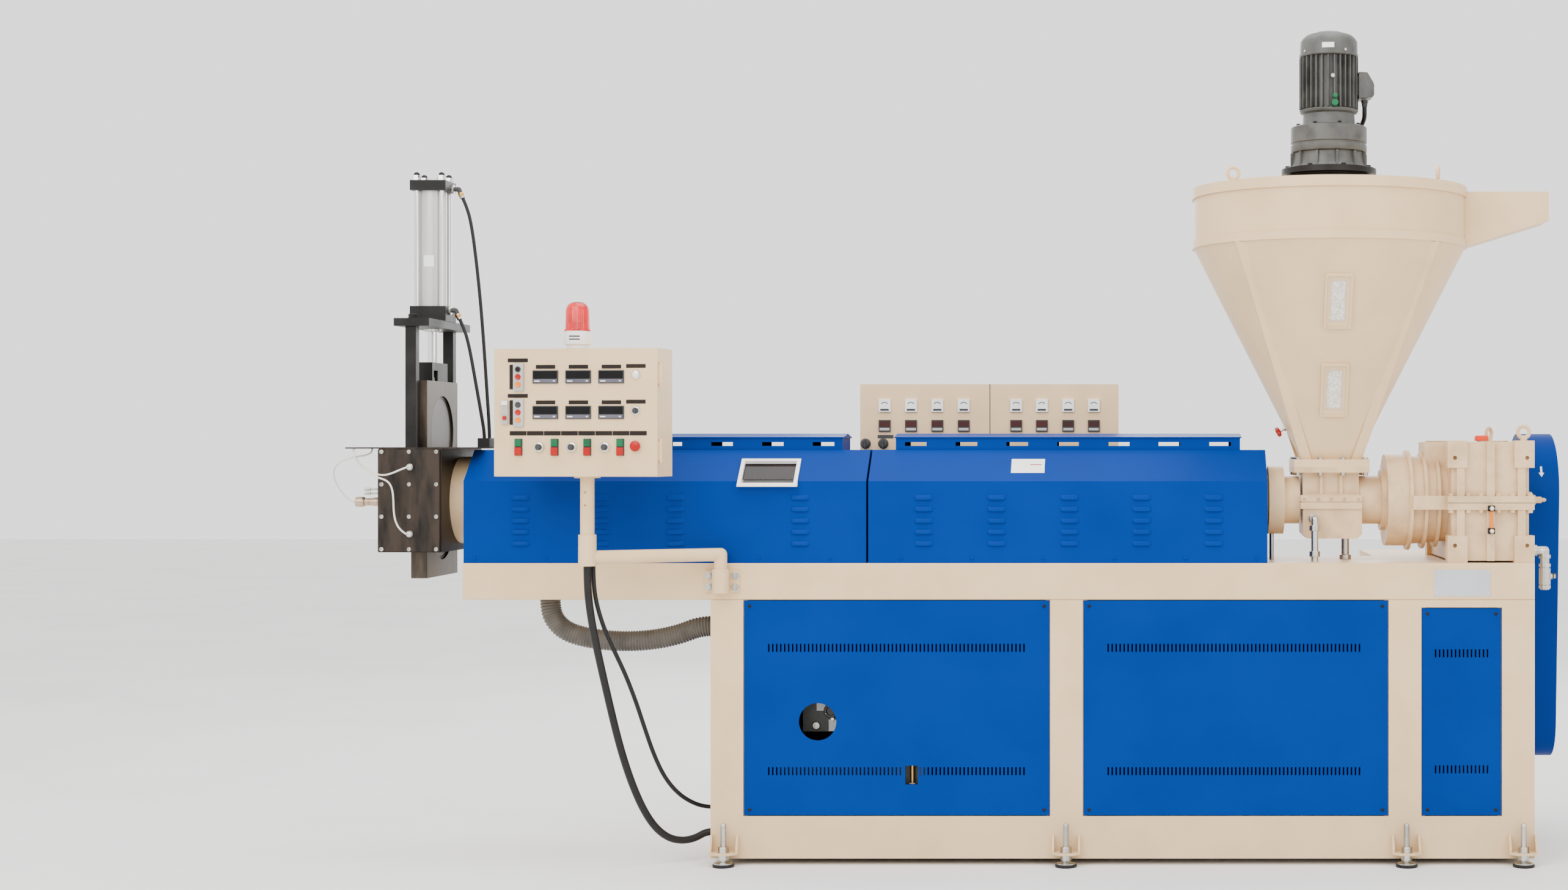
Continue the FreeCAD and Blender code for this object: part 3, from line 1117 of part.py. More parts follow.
def gearbox_case():
    """Cast gearbox: case, corner pads, split flange, upright ribs and bearing covers."""
    x0, x1 = GEARBOX_X
    y0, y1 = GEARBOX_Y
    case = block((x0 + CASE_INSET_X, x1 - CASE_INSET_X), (y0 + CASE_INSET_Y, y1 - CASE_INSET_Y),
                 (TABLE_TOP + CASE_FOOT, GEARBOX_TOP - CASE_TOP_STEP))
    flange = block((x0, x1), (y0, y1), MID_FLANGE_Z)
    parts = [flange]
    for x in ((x0, x0 + PAD_WIDTH), (x1 - PAD_WIDTH, x1)):
        for y in ((y0, y0 + PAD_DEPTH), (y1 - PAD_DEPTH, y1)):
            parts.append(block(x, y, (TABLE_TOP, TABLE_TOP + PAD_HEIGHT)))
            parts.append(block(x, y, (GEARBOX_TOP - PAD_HEIGHT, GEARBOX_TOP)))
    for x in CASE_RIB_X:
        for y in ((y0 + CASE_RIB_INSET, y0 + CASE_INSET_Y), (y1 - CASE_INSET_Y, y1 - CASE_RIB_INSET)):
            parts.append(block((x - CASE_RIB_WIDTH / 2, x + CASE_RIB_WIDTH / 2), y,
                               (TABLE_TOP + CASE_FOOT, GEARBOX_TOP - CASE_TOP_STEP)))
    cover = turned(END_COVER_PROFILE, (x1 - CASE_INSET_X, AXIS_Y, AXIS_Z), (1, 0, 0), (0, 0, 1))
    hub = rod(INPUT_COVER_RADIUS, (x1 - CASE_INSET_X, INPUT_Y, INPUT_Z), (GUARD_X[0], INPUT_Y, INPUT_Z))
    body = fused(case, *parts, cover, hub)
    holes = []
    inset_x, inset_z = PAD_HOLE_INSET
    for x in (x0 + inset_x, x1 - inset_x):
        for z in (TABLE_TOP + inset_z, GEARBOX_TOP - inset_z):
            holes.append(rod(PAD_HOLE_RADIUS, (x, y0 - 1, z), (x, y0 + PAD_HOLE_DEPTH, z)))
    return body.cut(holes)


def gearbox_fittings():
    """Oil gauge, breather, lifting eyes and the end nipple of the gearbox."""
    gauge_x, face = CASE_RIB_X[1], GEARBOX_Y[0]
    half, proud, height = GAUGE_BLOCK
    seats = [block((gauge_x - half, gauge_x + half), (face - proud, face + CASE_RIB_INSET), (z, z + height))
             for z in GAUGE_Z]
    tube_y = face - CASE_RIB_INSET
    tube = rod(GAUGE_TUBE_RADIUS, (gauge_x, tube_y, GAUGE_Z[0]), (gauge_x, tube_y, GAUGE_Z[1] + height))
    gauge = fused(*seats, tube).cut(block(GEARBOX_X, GEARBOX_Y, MID_FLANGE_Z))
    roof = GEARBOX_TOP - CASE_TOP_STEP
    breather_at = (BREATHER_AT[0], AXIS_Y + BREATHER_AT[1])
    breather = rod(BREATHER_RADIUS, (*breather_at, roof), (*breather_at, GEARBOX_TOP + BREATHER_HEIGHT))
    eyes = [eye_bolt((x, AXIS_Y + offset, GEARBOX_TOP - step), turn)
            for x, offset, step, turn in GEARBOX_EYES]
    end = GEARBOX_X[1] - CASE_INSET_X + END_COVER_PROFILE[-1][0]
    nipple = turned(NIPPLE_PROFILE, (end, AXIS_Y, AXIS_Z), (1, 0, 0), (0, 0, 1))
    return group(gauge, breather, *eyes, nipple)


def drain_valve():
    """Oil drain: an elbow out of the gearbox's end, a drop pipe and a ball valve's body."""
    corner = (DRAIN_DROP_X, DRAIN_Y, DRAIN_Z)
    x, y, stem_z = DRAIN_DROP_X, DRAIN_Y, drain_stem_z()
    thicker, rise, height = DRAIN_BODY
    low = DRAIN_BOTTOM + rise
    radius, reach = DRAIN_STEM
    wider, shorter = DRAIN_STEM_COLLAR
    return fused(rod(DRAIN_PIPE_RADIUS, (GEARBOX_X[1], y, DRAIN_Z), corner),
                 Part.makeSphere(DRAIN_PIPE_RADIUS, Vector(*corner)),
                 rod(DRAIN_PIPE_RADIUS, (x, y, DRAIN_BOTTOM), corner),
                 rod(DRAIN_PIPE_RADIUS + thicker, (x, y, low), (x, y, low + height)),
                 rod(radius + wider, (x, y, stem_z), (x + reach - shorter, y, stem_z)),
                 rod(radius, (x, y, stem_z), (x + reach, y, stem_z)))


def drain_stem_z():
    """Height of the drain valve's stem."""
    return DRAIN_BOTTOM + DRAIN_STEM_RISE


def drain_lever():
    """Cranked lever on the drain valve's stem, held crosswise where the valve is shut."""
    x, y, z = DRAIN_DROP_X + DRAIN_STEM[1] - LEVER_SEAT, DRAIN_Y, drain_stem_z()
    sheet, half = LEVER_SHEET, LEVER_WIDTH / 2
    out, rise = LEVER_CRANK
    outline = [(x, y - half), (x, y + half), (x + out, y + half + rise), (x + out, y + LEVER_LENGTH),
               (x + out + sheet, y + LEVER_LENGTH), (x + out + sheet, y + half + rise - sheet / 2),
               (x + sheet, y + half - sheet / 2), (x + sheet, y - half)]
    lever = prism([(px, py, z - half) for px, py in outline], (0, 0, LEVER_WIDTH))
    return lever.cut(rod(DRAIN_STEM[0] + HINGE_PIN_PLAY, (x - 1, y, z), (x + out + sheet, y, z)))


def belt_guard():
    """Closed guard around the belt drive at the machine's end, with its mounting lug."""
    x0, x1 = GUARD_X
    gap = INPUT_Z - GUARD_LOWER_Z
    lean = math.asin((GUARD_UPPER_RADIUS - GUARD_LOWER_RADIUS) / gap)
    across, up = math.cos(lean), -math.sin(lean)

    def tangent(side, radius, z):
        return (x0, INPUT_Y + side * radius * across, z + radius * up)

    ends = [(-1, GUARD_UPPER_RADIUS, INPUT_Z), (-1, GUARD_LOWER_RADIUS, GUARD_LOWER_Z),
            (1, GUARD_LOWER_RADIUS, GUARD_LOWER_Z), (1, GUARD_UPPER_RADIUS, INPUT_Z)]
    sides = prism([tangent(*end) for end in ends], (x1 - x0, 0, 0))
    upper = rod(GUARD_UPPER_RADIUS, (x0, INPUT_Y, INPUT_Z), (x1, INPUT_Y, INPUT_Z))
    lower = rod(GUARD_LOWER_RADIUS, (x0, INPUT_Y, GUARD_LOWER_Z), (x1, INPUT_Y, GUARD_LOWER_Z))
    lug = block((BASE_LENGTH, x0), (INPUT_Y - GUARD_LUG_HALF, INPUT_Y + GUARD_LUG_HALF),
                (TABLE_BOTTOM + GUARD_LUG_INSET, TABLE_TOP - GUARD_LUG_INSET))
    return fused(sides, upper, lower, lug)


# ---- control panel ----
def arm_end():
    """The x and y of the socket at the arm's far end."""
    angle = math.radians(180 + ARM_ANGLE)
    return (ARM_PIVOT[0] + ARM_LENGTH * math.cos(angle), ARM_PIVOT[1] + ARM_LENGTH * math.sin(angle))


def arm_bracket():
    """Bolted plate with the sleeve that the arm swings in."""
    x, y = ARM_PIVOT
    width, height, sheet = BRACKET_PLATE
    mid = sum(SLEEVE_Z) / 2
    plate = block((x - width / 2, x + width / 2), (-sheet, 0), (mid - height / 2, mid + height / 2))
    sleeve = rod(SLEEVE_RADIUS, (x, y, SLEEVE_Z[0]), (x, y, SLEEVE_Z[1]))
    web = block((x - SLEEVE_WEB_HALF, x + SLEEVE_WEB_HALF), (y, 0), SLEEVE_Z)
    bore = rod(ARM_PIPE_RADIUS + PIVOT_PLAY, (x, y, SLEEVE_Z[0] + SLEEVE_FLOOR), (x, y, SLEEVE_Z[1] + 1))
    return fused(plate, sleeve, web).cut(bore)


def panel_arm():
    """Bent pipe: a pivot in the sleeve, a level run and the socket for the panel's post."""
    x, y = ARM_PIVOT
    ex, ey = arm_end()
    pivot = rod(ARM_PIPE_RADIUS, (x, y, SLEEVE_Z[0] + SLEEVE_FLOOR + SEAT_PLAY), (x, y, ARM_Z))
    collar = rod(SLEEVE_RADIUS, (x, y, SLEEVE_Z[1] + SEAT_PLAY), (x, y, SLEEVE_Z[1] + SLEEVE_FLOOR))
    knee = Part.makeSphere(ARM_PIPE_RADIUS, Vector(x, y, ARM_Z))
    run = rod(ARM_PIPE_RADIUS, (x, y, ARM_Z), (ex, ey, ARM_Z))
    socket = rod(SOCKET_RADIUS, (ex, ey, SOCKET_Z[0]), (ex, ey, SOCKET_Z[1]))
    bore = rod(PANEL_POST_RADIUS + PIVOT_PLAY, (ex, ey, ARM_Z + ARM_PIPE_RADIUS + SOCKET_FLOOR),
               (ex, ey, SOCKET_Z[1] + 1))
    return fused(pivot, collar, knee, run, socket).cut(bore)


def panel_place(shape):
    """Turn and move a shape drawn around the panel's own pivot to where the panel hangs."""
    ex, ey = arm_end()
    shape.rotate(Vector(0, 0, 0), Vector(0, 0, 1), PANEL_YAW)
    shape.translate(Vector(ex, ey, 0))
    return shape


def hinge_line():
    """The x and y of the door's hinge line in the panel's own frame."""
    return (PANEL_X[1] + DOOR_HINGE_RADIUS, -PANEL_DEPTH / 2 + DOOR_THICKNESS)


def hinge_spans():
    """The heights that the door's two hinge knuckles cover."""
    low, high = PANEL_Z[0] + DOOR_HINGE_INSET, PANEL_Z[1] - DOOR_HINGE_INSET
    return ((low, low + DOOR_HINGE_HEIGHT), (high - DOOR_HINGE_HEIGHT, high))


def hinge_pin(low, high):
    """A pin between two lugs on the housing's side, as wide as the knuckle it carries."""
    x, y = hinge_line()
    lugs = []
    below = (low - HINGE_LUG - SEAT_PLAY, low - SEAT_PLAY)
    above = (high + SEAT_PLAY, high + SEAT_PLAY + HINGE_LUG)
    for z in (below, above):
        lugs.append(rod(DOOR_HINGE_RADIUS - 1, (x, y, z[0]), (x, y, z[1])))
        lugs.append(block((PANEL_X[1], x), (y + DOOR_GAP, y + DOOR_HINGE_RADIUS - 1), z))
    return fused(rod(HINGE_PIN_RADIUS, (x, y, low - SEAT_PLAY), (x, y, high + SEAT_PLAY)), *lugs)


def panel_box():
    """Panel housing, open at the front where its door closes it, on its post."""
    (left, right), depth, wall = PANEL_X, PANEL_DEPTH, PANEL_BODY_SHEET
    front = -depth / 2 + DOOR_THICKNESS + DOOR_GAP
    shell = block((left, right), (front, depth / 2), PANEL_Z)
    inside = block((left + wall, right - wall), (front - 1, depth / 2 - wall),
                   (PANEL_Z[0] + wall, PANEL_Z[1] - wall))
    post_low = ARM_Z + ARM_PIPE_RADIUS + SOCKET_FLOOR + SEAT_PLAY
    stem = rod(PANEL_POST_RADIUS, (0, 0, post_low), (0, 0, PANEL_Z[0]))
    wider, sheet = PANEL_POST_FOOT
    foot = rod(PANEL_POST_RADIUS + wider, (0, 0, PANEL_Z[0] - sheet), (0, 0, PANEL_Z[0]))
    pins = [hinge_pin(*span) for span in hinge_spans()]
    return panel_place(fused(shell.cut(inside), stem, foot, *pins))


def panel_door():
    """Door of the panel, with two hinge knuckles on its right edge."""
    front, (near, far) = -PANEL_DEPTH / 2, KNUCKLE_STRAP
    leaf = block(PANEL_X, (front, front + DOOR_THICKNESS), (PANEL_Z[0] + 1, PANEL_Z[1] - 1))
    x, y = hinge_line()
    knuckles = []
    for low, high in hinge_spans():
        knuckles.append(rod(DOOR_HINGE_RADIUS - 1, (x, y, low), (x, y, high)))
        knuckles.append(block((PANEL_X[1] - 2, x), (y - near, y - far), (low, high)))
    bores = [rod(HINGE_PIN_RADIUS + HINGE_PIN_PLAY, (x, y, low - 1), (x, y, high + 1))
             for low, high in hinge_spans()]
    return panel_place(fused(leaf, *knuckles).cut(bores))


def panel_instruments():
    """Meters, button stations, lamps and switches on the panel's door."""
    front = -PANEL_DEPTH / 2

    def plate(x, z, size, proud):
        return block((x - size[0] / 2, x + size[0] / 2), (front - proud, front),
                     (z - size[1] / 2, z + size[1] / 2))

    def knob(x, z, radius, proud):
        return rod(radius, (x, front, z), (x, front - proud, z))

    meters = [plate(x, z, METER_SIZE, METER_PROUD) for z in METER_ROWS for x in METER_COLUMNS]
    stations = [plate(STATION_X, z, STATION_SIZE, BUTTON_PROUD) for z in METER_ROWS]
    breaker = plate(*BREAKER_AT, BREAKER_SIZE, BREAKER_PROUD)
    lamps = [knob(LAMP_X, z, LAMP_RADIUS, LAMP_PROUD) for z in LAMP_ROWS]
    buttons = [plate(x, SWITCH_ROW, PUSH_SIZE, BUTTON_PROUD) for x in PUSH_COLUMNS]
    dials = [knob(x, SWITCH_ROW, DIAL_RADIUS, DIAL_PROUD) for x in DIAL_COLUMNS]
    return panel_place(group(*meters, *stations, breaker, *lamps, *buttons, *dials))


def beacon():
    """Signal lamp on the panel's roof."""
    return panel_place(turned(BEACON_PROFILE, (*BEACON_AT, PANEL_Z[1]), (0, 0, 1), (1, 0, 0)))


def rear_cabinet():
    """Electrical cabinet at the back of the base, on a plinth."""
    y = (BASE_DEPTH, BASE_DEPTH + CABINET_DEPTH)
    body = block(CABINET_X, y, (CABINET_PLINTH, CABINET_TOP))
    inset = CABINET_PLINTH_INSET
    plinth = block((CABINET_X[0] + inset, CABINET_X[1] - inset), (y[0] + inset, y[1] - inset),
                   (0, CABINET_PLINTH))
    return fused(body, plinth)


# ---- cords ----
CORDS = {
    "control_cable": (CONTROL_CABLE_RADIUS, [
        (-405.9, -270.3, 1153.0), (-405.9, -270.3, 1080), (-397, -267, 985), (-381, -252, 875),
        (-360, -230, 755), (-338, -203, 630), (-316, -171, 505), (-293, -136, 395), (-268, -98, 298),
        (-241, -58, 215), (-208, -17, 146), (-166, 24, 99), (-118, 62, 82), (-73, 90, 88),
        (-36, 110, 110), (0, 110, 110)]),
    "signal_cable": (SIGNAL_CABLE_RADIUS, [
        (-388, -252, 1153), (-388, -252, 1085), (-376, -247, 1005), (-352, -230, 915), (-322, -204, 835),
        (-288, -170, 745), (-257, -132, 640), (-232, -94, 535), (-206, -54, 430), (-174, -8, 335),
        (-131, 44, 264), (-82, 92, 221), (-38, 130, 201), (4, 130, 201)]),
    "cable_duct": (DUCT_RADIUS, [
        (-640, 120, 1010), (-640, 120, 968), (-622, 120, 920), (-578, 119, 880), (-508, 118, 858),
        (-418, 117, 845), (-320, 116, 842), (-222, 115, 851), (-132, 115, 872), (-60, 115, 902),
        (4, 115, 902)]),
    "hose_upper": (HOSE_RADIUS, [
        (-1033, 310, 2572), (-1013, 310, 2527), (-998, 312, 2455), (-986, 315, 2360), (-976, 318, 2265),
        (-967, 321, 2165), (-959, 323, 2062), (-952, 324, 1960), (-945, 323, 1860), (-938, 320, 1765),
        (-932, 316, 1690), (-929, 313, 1640), (-929, 313, 1596)]),
    "hose_lower": (HOSE_RADIUS, [
        (-1033, 270, 2092), (-1013, 270, 2047), (-998, 268, 1992), (-984, 265, 1925), (-970, 262, 1850),
        (-956, 260, 1775), (-944, 260, 1705), (-935, 264, 1645), (-935, 264, 1596)]),
    "heater_lead_upper": (LEAD_RADIUS, [
        (-1145, -22, 1516), (-1145, -35, 1516), (-1156, -45, 1511), (-1173, -48, 1504),
        (-1196, -47, 1494), (-1223, -44, 1486), (-1248, -38, 1486), (-1273, -25, 1492), (-1301, -5, 1503),
        (-1331, 15, 1520), (-1357, 30, 1542), (-1374, 40, 1565), (-1374, 40, 1586)]),
    "heater_lead_lower": (LEAD_RADIUS, [
        (-1145, -22, 1261), (-1145, -36, 1261), (-1153, -46, 1267), (-1165, -49, 1278),
        (-1178, -48, 1294), (-1189, -46, 1320), (-1194, -44, 1360), (-1195, -43, 1403),
        (-1200, -44, 1438), (-1213, -46, 1461), (-1236, -44, 1472), (-1262, -37, 1478),
        (-1289, -22, 1487), (-1318, -4, 1503), (-1346, 11, 1526), (-1367, 27, 1556), (-1367, 27, 1586)]),
    "sensor_lead": (LEAD_RADIUS, [
        (-1404, 150, 1380), (-1417, 150, 1380), (-1433, 150, 1391), (-1449, 149, 1407),
        (-1464, 148, 1428), (-1477, 146, 1451), (-1485, 143, 1475), (-1486, 139, 1498),
        (-1476, 134, 1518), (-1458, 127, 1534), (-1433, 119, 1545), (-1402, 110, 1552),
        (-1370, 102, 1556), (-1346, 96, 1560), (-1328, 92, 1567), (-1319, 90, 1576), (-1319, 90, 1586)]),
    "motor_cable": (MOTOR_CABLE_RADIUS, [
        (2521, 290, 2928), (2521, 290, 2908), (2522, 306, 2890), (2519, 324, 2877), (2516, 346, 2869),
        (2514, 370, 2863), (2513, 396, 2851), (2511, 416, 2828), (2510, 430, 2797), (2510, 440, 2763),
        (2511, 447, 2728), (2512, 451, 2692), (2512, 454, 2655), (2512, 454, 2618)]),
}


def cord_tube(radius, points):
    """A round tube along straight runs joined by the largest arcs that the runs allow."""
    points = [Vector(*p) for p in points]
    edges, start = [], points[0]
    for before, corner, after in zip(points, points[1:], points[2:]):
        arrive, leave = corner - before, after - corner
        half_turn = arrive.getAngle(leave) / 2
        trim = ARC_SHARE * min(arrive.Length, leave.Length)
        arrive.normalize()
        leave.normalize()
        bend = trim / math.tan(half_turn)
        inward = leave - arrive
        inward.normalize()
        enter, exit_point = corner - arrive * trim, corner + leave * trim
        middle = corner + inward * (bend / math.cos(half_turn) - bend)
        edges.append(Part.LineSegment(start, enter).toShape())
        edges.append(Part.Arc(enter, middle, exit_point).toShape())
        start = exit_point
    edges.append(Part.LineSegment(start, points[-1]).toShape())
    path = Part.Wire(edges)
    way = points[1] - points[0]
    profile = Part.Wire(Part.Circle(points[0], way, radius).toShape())
    tube = path.makePipeShell([profile], True, False)
    return tube, path.Length


def cord_radii(points):
    """The bend radius at each inner point of a cord's route."""
    points = [Vector(*p) for p in points]
    radii = []
    for before, corner, after in zip(points, points[1:], points[2:]):
        arrive, leave = corner - before, after - corner
        trim = ARC_SHARE * min(arrive.Length, leave.Length)
        radii.append(trim / math.tan(arrive.getAngle(leave) / 2))
    return radii


NODES = (
    table_beam, bay_table, base_posts, bottom_rails, cross_rails, front_panels, rear_panels,
    end_panels, foot_brackets, levelling_feet, hydraulic_unit, barrel,
    barrel_cover_left, barrel_cover_right, vent_caps, cover_window, hose_guide, changer_block,
    changer_front_plate, changer_top_plate, melt_sensors, guide_columns, cylinder_mount_plate,
    cylinder_tube, cylinder_caps, tie_rods, hose_fittings, slide_plate, rod_coupling, piston_rod,
    feed_throat, water_pipes, hopper_cone, hopper_band, hopper_chute, hopper_lid, hopper_fittings,
    lid_gearmotor, thrust_housing, gearbox_case, gearbox_fittings, drain_valve, drain_lever, belt_guard,
    arm_bracket, panel_arm, panel_box, panel_door, panel_instruments, beacon, rear_cabinet,
)


def build():
    """Every node's shape by name, in the drawing frame, and the cords' nodes by name."""
    solids = {make.__name__: make() for make in NODES}
    cords = {}
    for name, (radius, points) in CORDS.items():
        tube, length = cord_tube(radius, points)
        ideal = math.pi * radius ** 2 * length
        print(f"{name}: length {length:.0f} mm, volume ratio {tube.Volume / ideal:.4f}, bends",
              " ".join(f"{r:.0f}" for r in cord_radii(points)))
        cords[name] = tube
    return solids, cords


def origin_shift(solids):
    """The move that puts the origin under the middle of the machine, on the floor."""
    bounds = FreeCAD.BoundBox()
    for shape in solids.values():
        bounds.add(shape.BoundBox)
    return Vector(-bounds.Center.x, -bounds.Center.y, -bounds.ZMin)


def main():
    """Build, move to the origin and write one STEP file a node."""
    solids, cords = build()
    shift = origin_shift(solids)
    print(f"shift {shift.x:.3f} {shift.y:.3f} {shift.z:.3f}")
    os.makedirs("parts", exist_ok=True)
    for name, shape in {**solids, **cords}.items():
        shape.translate(shift)
        valid = "valid" if shape.isValid() else "INVALID"
        print(f"{name}: {len(shape.Solids)} solids, {len(shape.Faces)} faces, {valid}")
        shape.exportStep(f"parts/{name}.step")


if __name__ == "__main__":
    main()
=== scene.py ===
"""Looks of a single-screw plastic extruder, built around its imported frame.

Sizes are in millimetres in the drawing frame: x runs from the base's left end towards the drive,
y from the base's front face to the back, z up from the floor. `Drawing` moves them to the frame.
"""

import logging
import math
from dataclasses import dataclass, field
from enum import Enum

import bmesh
import bpy
import numpy as np
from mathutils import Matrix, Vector

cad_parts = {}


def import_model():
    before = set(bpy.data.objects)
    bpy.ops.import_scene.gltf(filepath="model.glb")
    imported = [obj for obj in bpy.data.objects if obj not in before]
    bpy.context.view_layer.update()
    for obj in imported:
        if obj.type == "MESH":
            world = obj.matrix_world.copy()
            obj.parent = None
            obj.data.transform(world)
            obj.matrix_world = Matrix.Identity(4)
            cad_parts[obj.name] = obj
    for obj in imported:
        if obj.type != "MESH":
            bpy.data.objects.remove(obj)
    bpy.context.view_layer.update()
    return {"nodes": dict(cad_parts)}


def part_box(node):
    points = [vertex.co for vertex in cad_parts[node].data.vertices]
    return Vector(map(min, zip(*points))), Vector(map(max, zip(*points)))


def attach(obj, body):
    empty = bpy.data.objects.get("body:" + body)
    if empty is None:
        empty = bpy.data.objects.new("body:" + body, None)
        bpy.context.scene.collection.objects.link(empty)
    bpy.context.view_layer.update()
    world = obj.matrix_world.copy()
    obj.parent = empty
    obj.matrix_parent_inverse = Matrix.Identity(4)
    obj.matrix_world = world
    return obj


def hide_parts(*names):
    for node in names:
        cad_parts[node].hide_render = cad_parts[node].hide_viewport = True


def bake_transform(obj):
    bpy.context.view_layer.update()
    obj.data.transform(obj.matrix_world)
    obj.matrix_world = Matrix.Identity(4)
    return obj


Array = np.ndarray
Point = tuple[float, float, float]
Colour = tuple[int, int, int]

LOG = logging.getLogger("extruder")
MM = 0.001
TABLE_LEFT, TABLE_BOTTOM = -945.0, 1010.0
AXIS_Y, AXIS_Z = 290.0, 1384.0
X, Y, Z = np.eye(3)


# ---------------------------------------------------------------- finishes
class Pattern(Enum):
    """How a finish varies over a surface."""

    PAINT = "paint"
    OILED = "oiled"
    GROUND = "ground"
    BRUSHED = "brushed"
    CAST = "cast"
    MOULDED = "moulded"
    WOVEN = "woven"
    PERFORATED = "perforated"
    PELLETS = "pellets"
    CLEAR = "clear"


STREAKS = {Pattern.BRUSHED: 0.06, Pattern.GROUND: 0.22}
GRIME = (128, 112, 92)
GRIME_HEIGHT = 0.55


@dataclass(frozen=True)
class Finish:
    """One surface finish, made into a node material that reads Object coordinates."""

    name: str
    slot: str
    colour: Colour
    shade: Colour
    pattern: Pattern = Pattern.PAINT
    roughness: tuple[float, float] = (0.3, 0.45)
    metallic: float = 0.0
    scale: float = 6.0
    grain: float = 320.0
    bump: float = 0.15
    coat: float = 0.0
    specular: float = 0.5
    dusty: float = 0.0
    glow: float = 0.0
    alpha: float = 1.0

    def material(self) -> bpy.types.Material:
        """The finish's material, made once.

        Returns:
            The material with this finish's name.
        """
        known = bpy.data.materials.get(self.name)
        return known if known else self._build()

    def _build(self) -> bpy.types.Material:
        """Lay out the node tree.

        Returns:
            The new material.
        """
        material = bpy.data.materials.new(self.name)
        material.use_nodes = True
        tree = material.node_tree
        shader = tree.nodes["Principled BSDF"]
        shader.inputs["Metallic"].default_value = self.metallic
        shader.inputs["Specular IOR Level"].default_value = self.specular
        shader.inputs["Coat Weight"].default_value = self.coat
        shader.inputs["Coat Roughness"].default_value = 0.12
        coordinates = tree.nodes.new("ShaderNodeTexCoord")
        place = tree.nodes.new("ShaderNodeMapping")
        tree.links.new(coordinates.outputs["Object"], place.inputs["Vector"])
        if self.pattern in STREAKS:
            place.inputs["Scale"].default_value = (1.0, 1.0, STREAKS[self.pattern])
        mottle = self._noise(tree, place, self.scale, 5.0)
        if self.pattern in (Pattern.PERFORATED, Pattern.PELLETS, Pattern.WOVEN):
            mottle = self._cells(tree, place)
        tint = tree.nodes.new("ShaderNodeValToRGB")
        low, high = self._ramp_ends()
        tint.color_ramp.elements[0].position = low
        tint.color_ramp.elements[1].position = high
        tint.color_ramp.elements[0].color = linear(self.shade)
        tint.color_ramp.elements[1].color = linear(self.colour)
        tree.links.new(mottle, tint.inputs["Fac"])
        colour = tint.outputs["Color"]
        if self.dusty > 0.0:
            colour = self._dust(tree, coordinates, colour)
        tree.links.new(colour, shader.inputs["Base Color"])
        fine = self._noise(tree, place, self.grain, 3.0)
        polish = tree.nodes.new("ShaderNodeMapRange")
        polish.inputs["To Min"].default_value = self.roughness[0]
        polish.inputs["To Max"].default_value = self.roughness[1]
        tree.links.new(mottle, polish.inputs["Value"])
        tree.links.new(polish.outputs["Result"], shader.inputs["Roughness"])
        relief = tree.nodes.new("ShaderNodeBump")
        relief.inputs["Strength"].default_value = self.bump
        relief.inputs["Distance"].default_value = 0.0004 if self.pattern is not Pattern.CAST else 0.0012
        rough_source = mottle if self.pattern in (Pattern.PERFORATED, Pattern.PELLETS,
                                                  Pattern.WOVEN) else fine
        tree.links.new(rough_source, relief.inputs["Height"])
        tree.links.new(relief.outputs["Normal"], shader.inputs["Normal"])
        if self.glow > 0.0:
            shader.inputs["Emission Color"].default_value = linear(self.colour)
            shader.inputs["Emission Strength"].default_value = self.glow
        if self.pattern is Pattern.CLEAR:
            shader.inputs["Transmission Weight"].default_value = 0.85
            shader.inputs["IOR"].default_value = 1.46
        if self.alpha < 1.0:
            shader.inputs["Alpha"].default_value = self.alpha
        return material

    def _ramp_ends(self) -> tuple[float, float]:
        """Where the two colours stand on the mottling's range.

        Returns:
            The place of the shade and the place of the colour, 0 to 1.
        """
        if self.pattern is Pattern.OILED:
            return 0.4, 0.72
        if self.pattern in (Pattern.PERFORATED, Pattern.PELLETS):
            return 0.25, 0.6
        return 0.3, 0.6

    @staticmethod
    def _noise(tree: bpy.types.NodeTree, place: bpy.types.Node, scale: float,
               detail: float) -> bpy.types.NodeSocket:
        """Cloudy noise.

        Args:
            tree: The material's tree.
            place: The mapping node that places it.
            scale: Clouds to a metre.
            detail: Octaves.

        Returns:
            The noise's value socket.
        """
        noise = tree.nodes.new("ShaderNodeTexNoise")
        noise.inputs["Scale"].default_value = scale
        noise.inputs["Detail"].default_value = detail
        tree.links.new(place.outputs["Vector"], noise.inputs["Vector"])
        return noise.outputs["Fac"]

    def _cells(self, tree: bpy.types.NodeTree, place: bpy.types.Node) -> bpy.types.NodeSocket:
        """Small round cells: pellets, holes or threads.

        Args:
            tree: The material's tree.
            place: The mapping node that places them.

        Returns:
            The distance socket, dark at each cell's middle.
        """
        cells = tree.nodes.new("ShaderNodeTexVoronoi")
        cells.inputs["Scale"].default_value = self.grain
        tree.links.new(place.outputs["Vector"], cells.inputs["Vector"])
        if self.pattern is not Pattern.PELLETS:
            cells.inputs["Randomness"].default_value = 0.0
            return cells.outputs["Distance"]
        return cells.outputs["Color"]

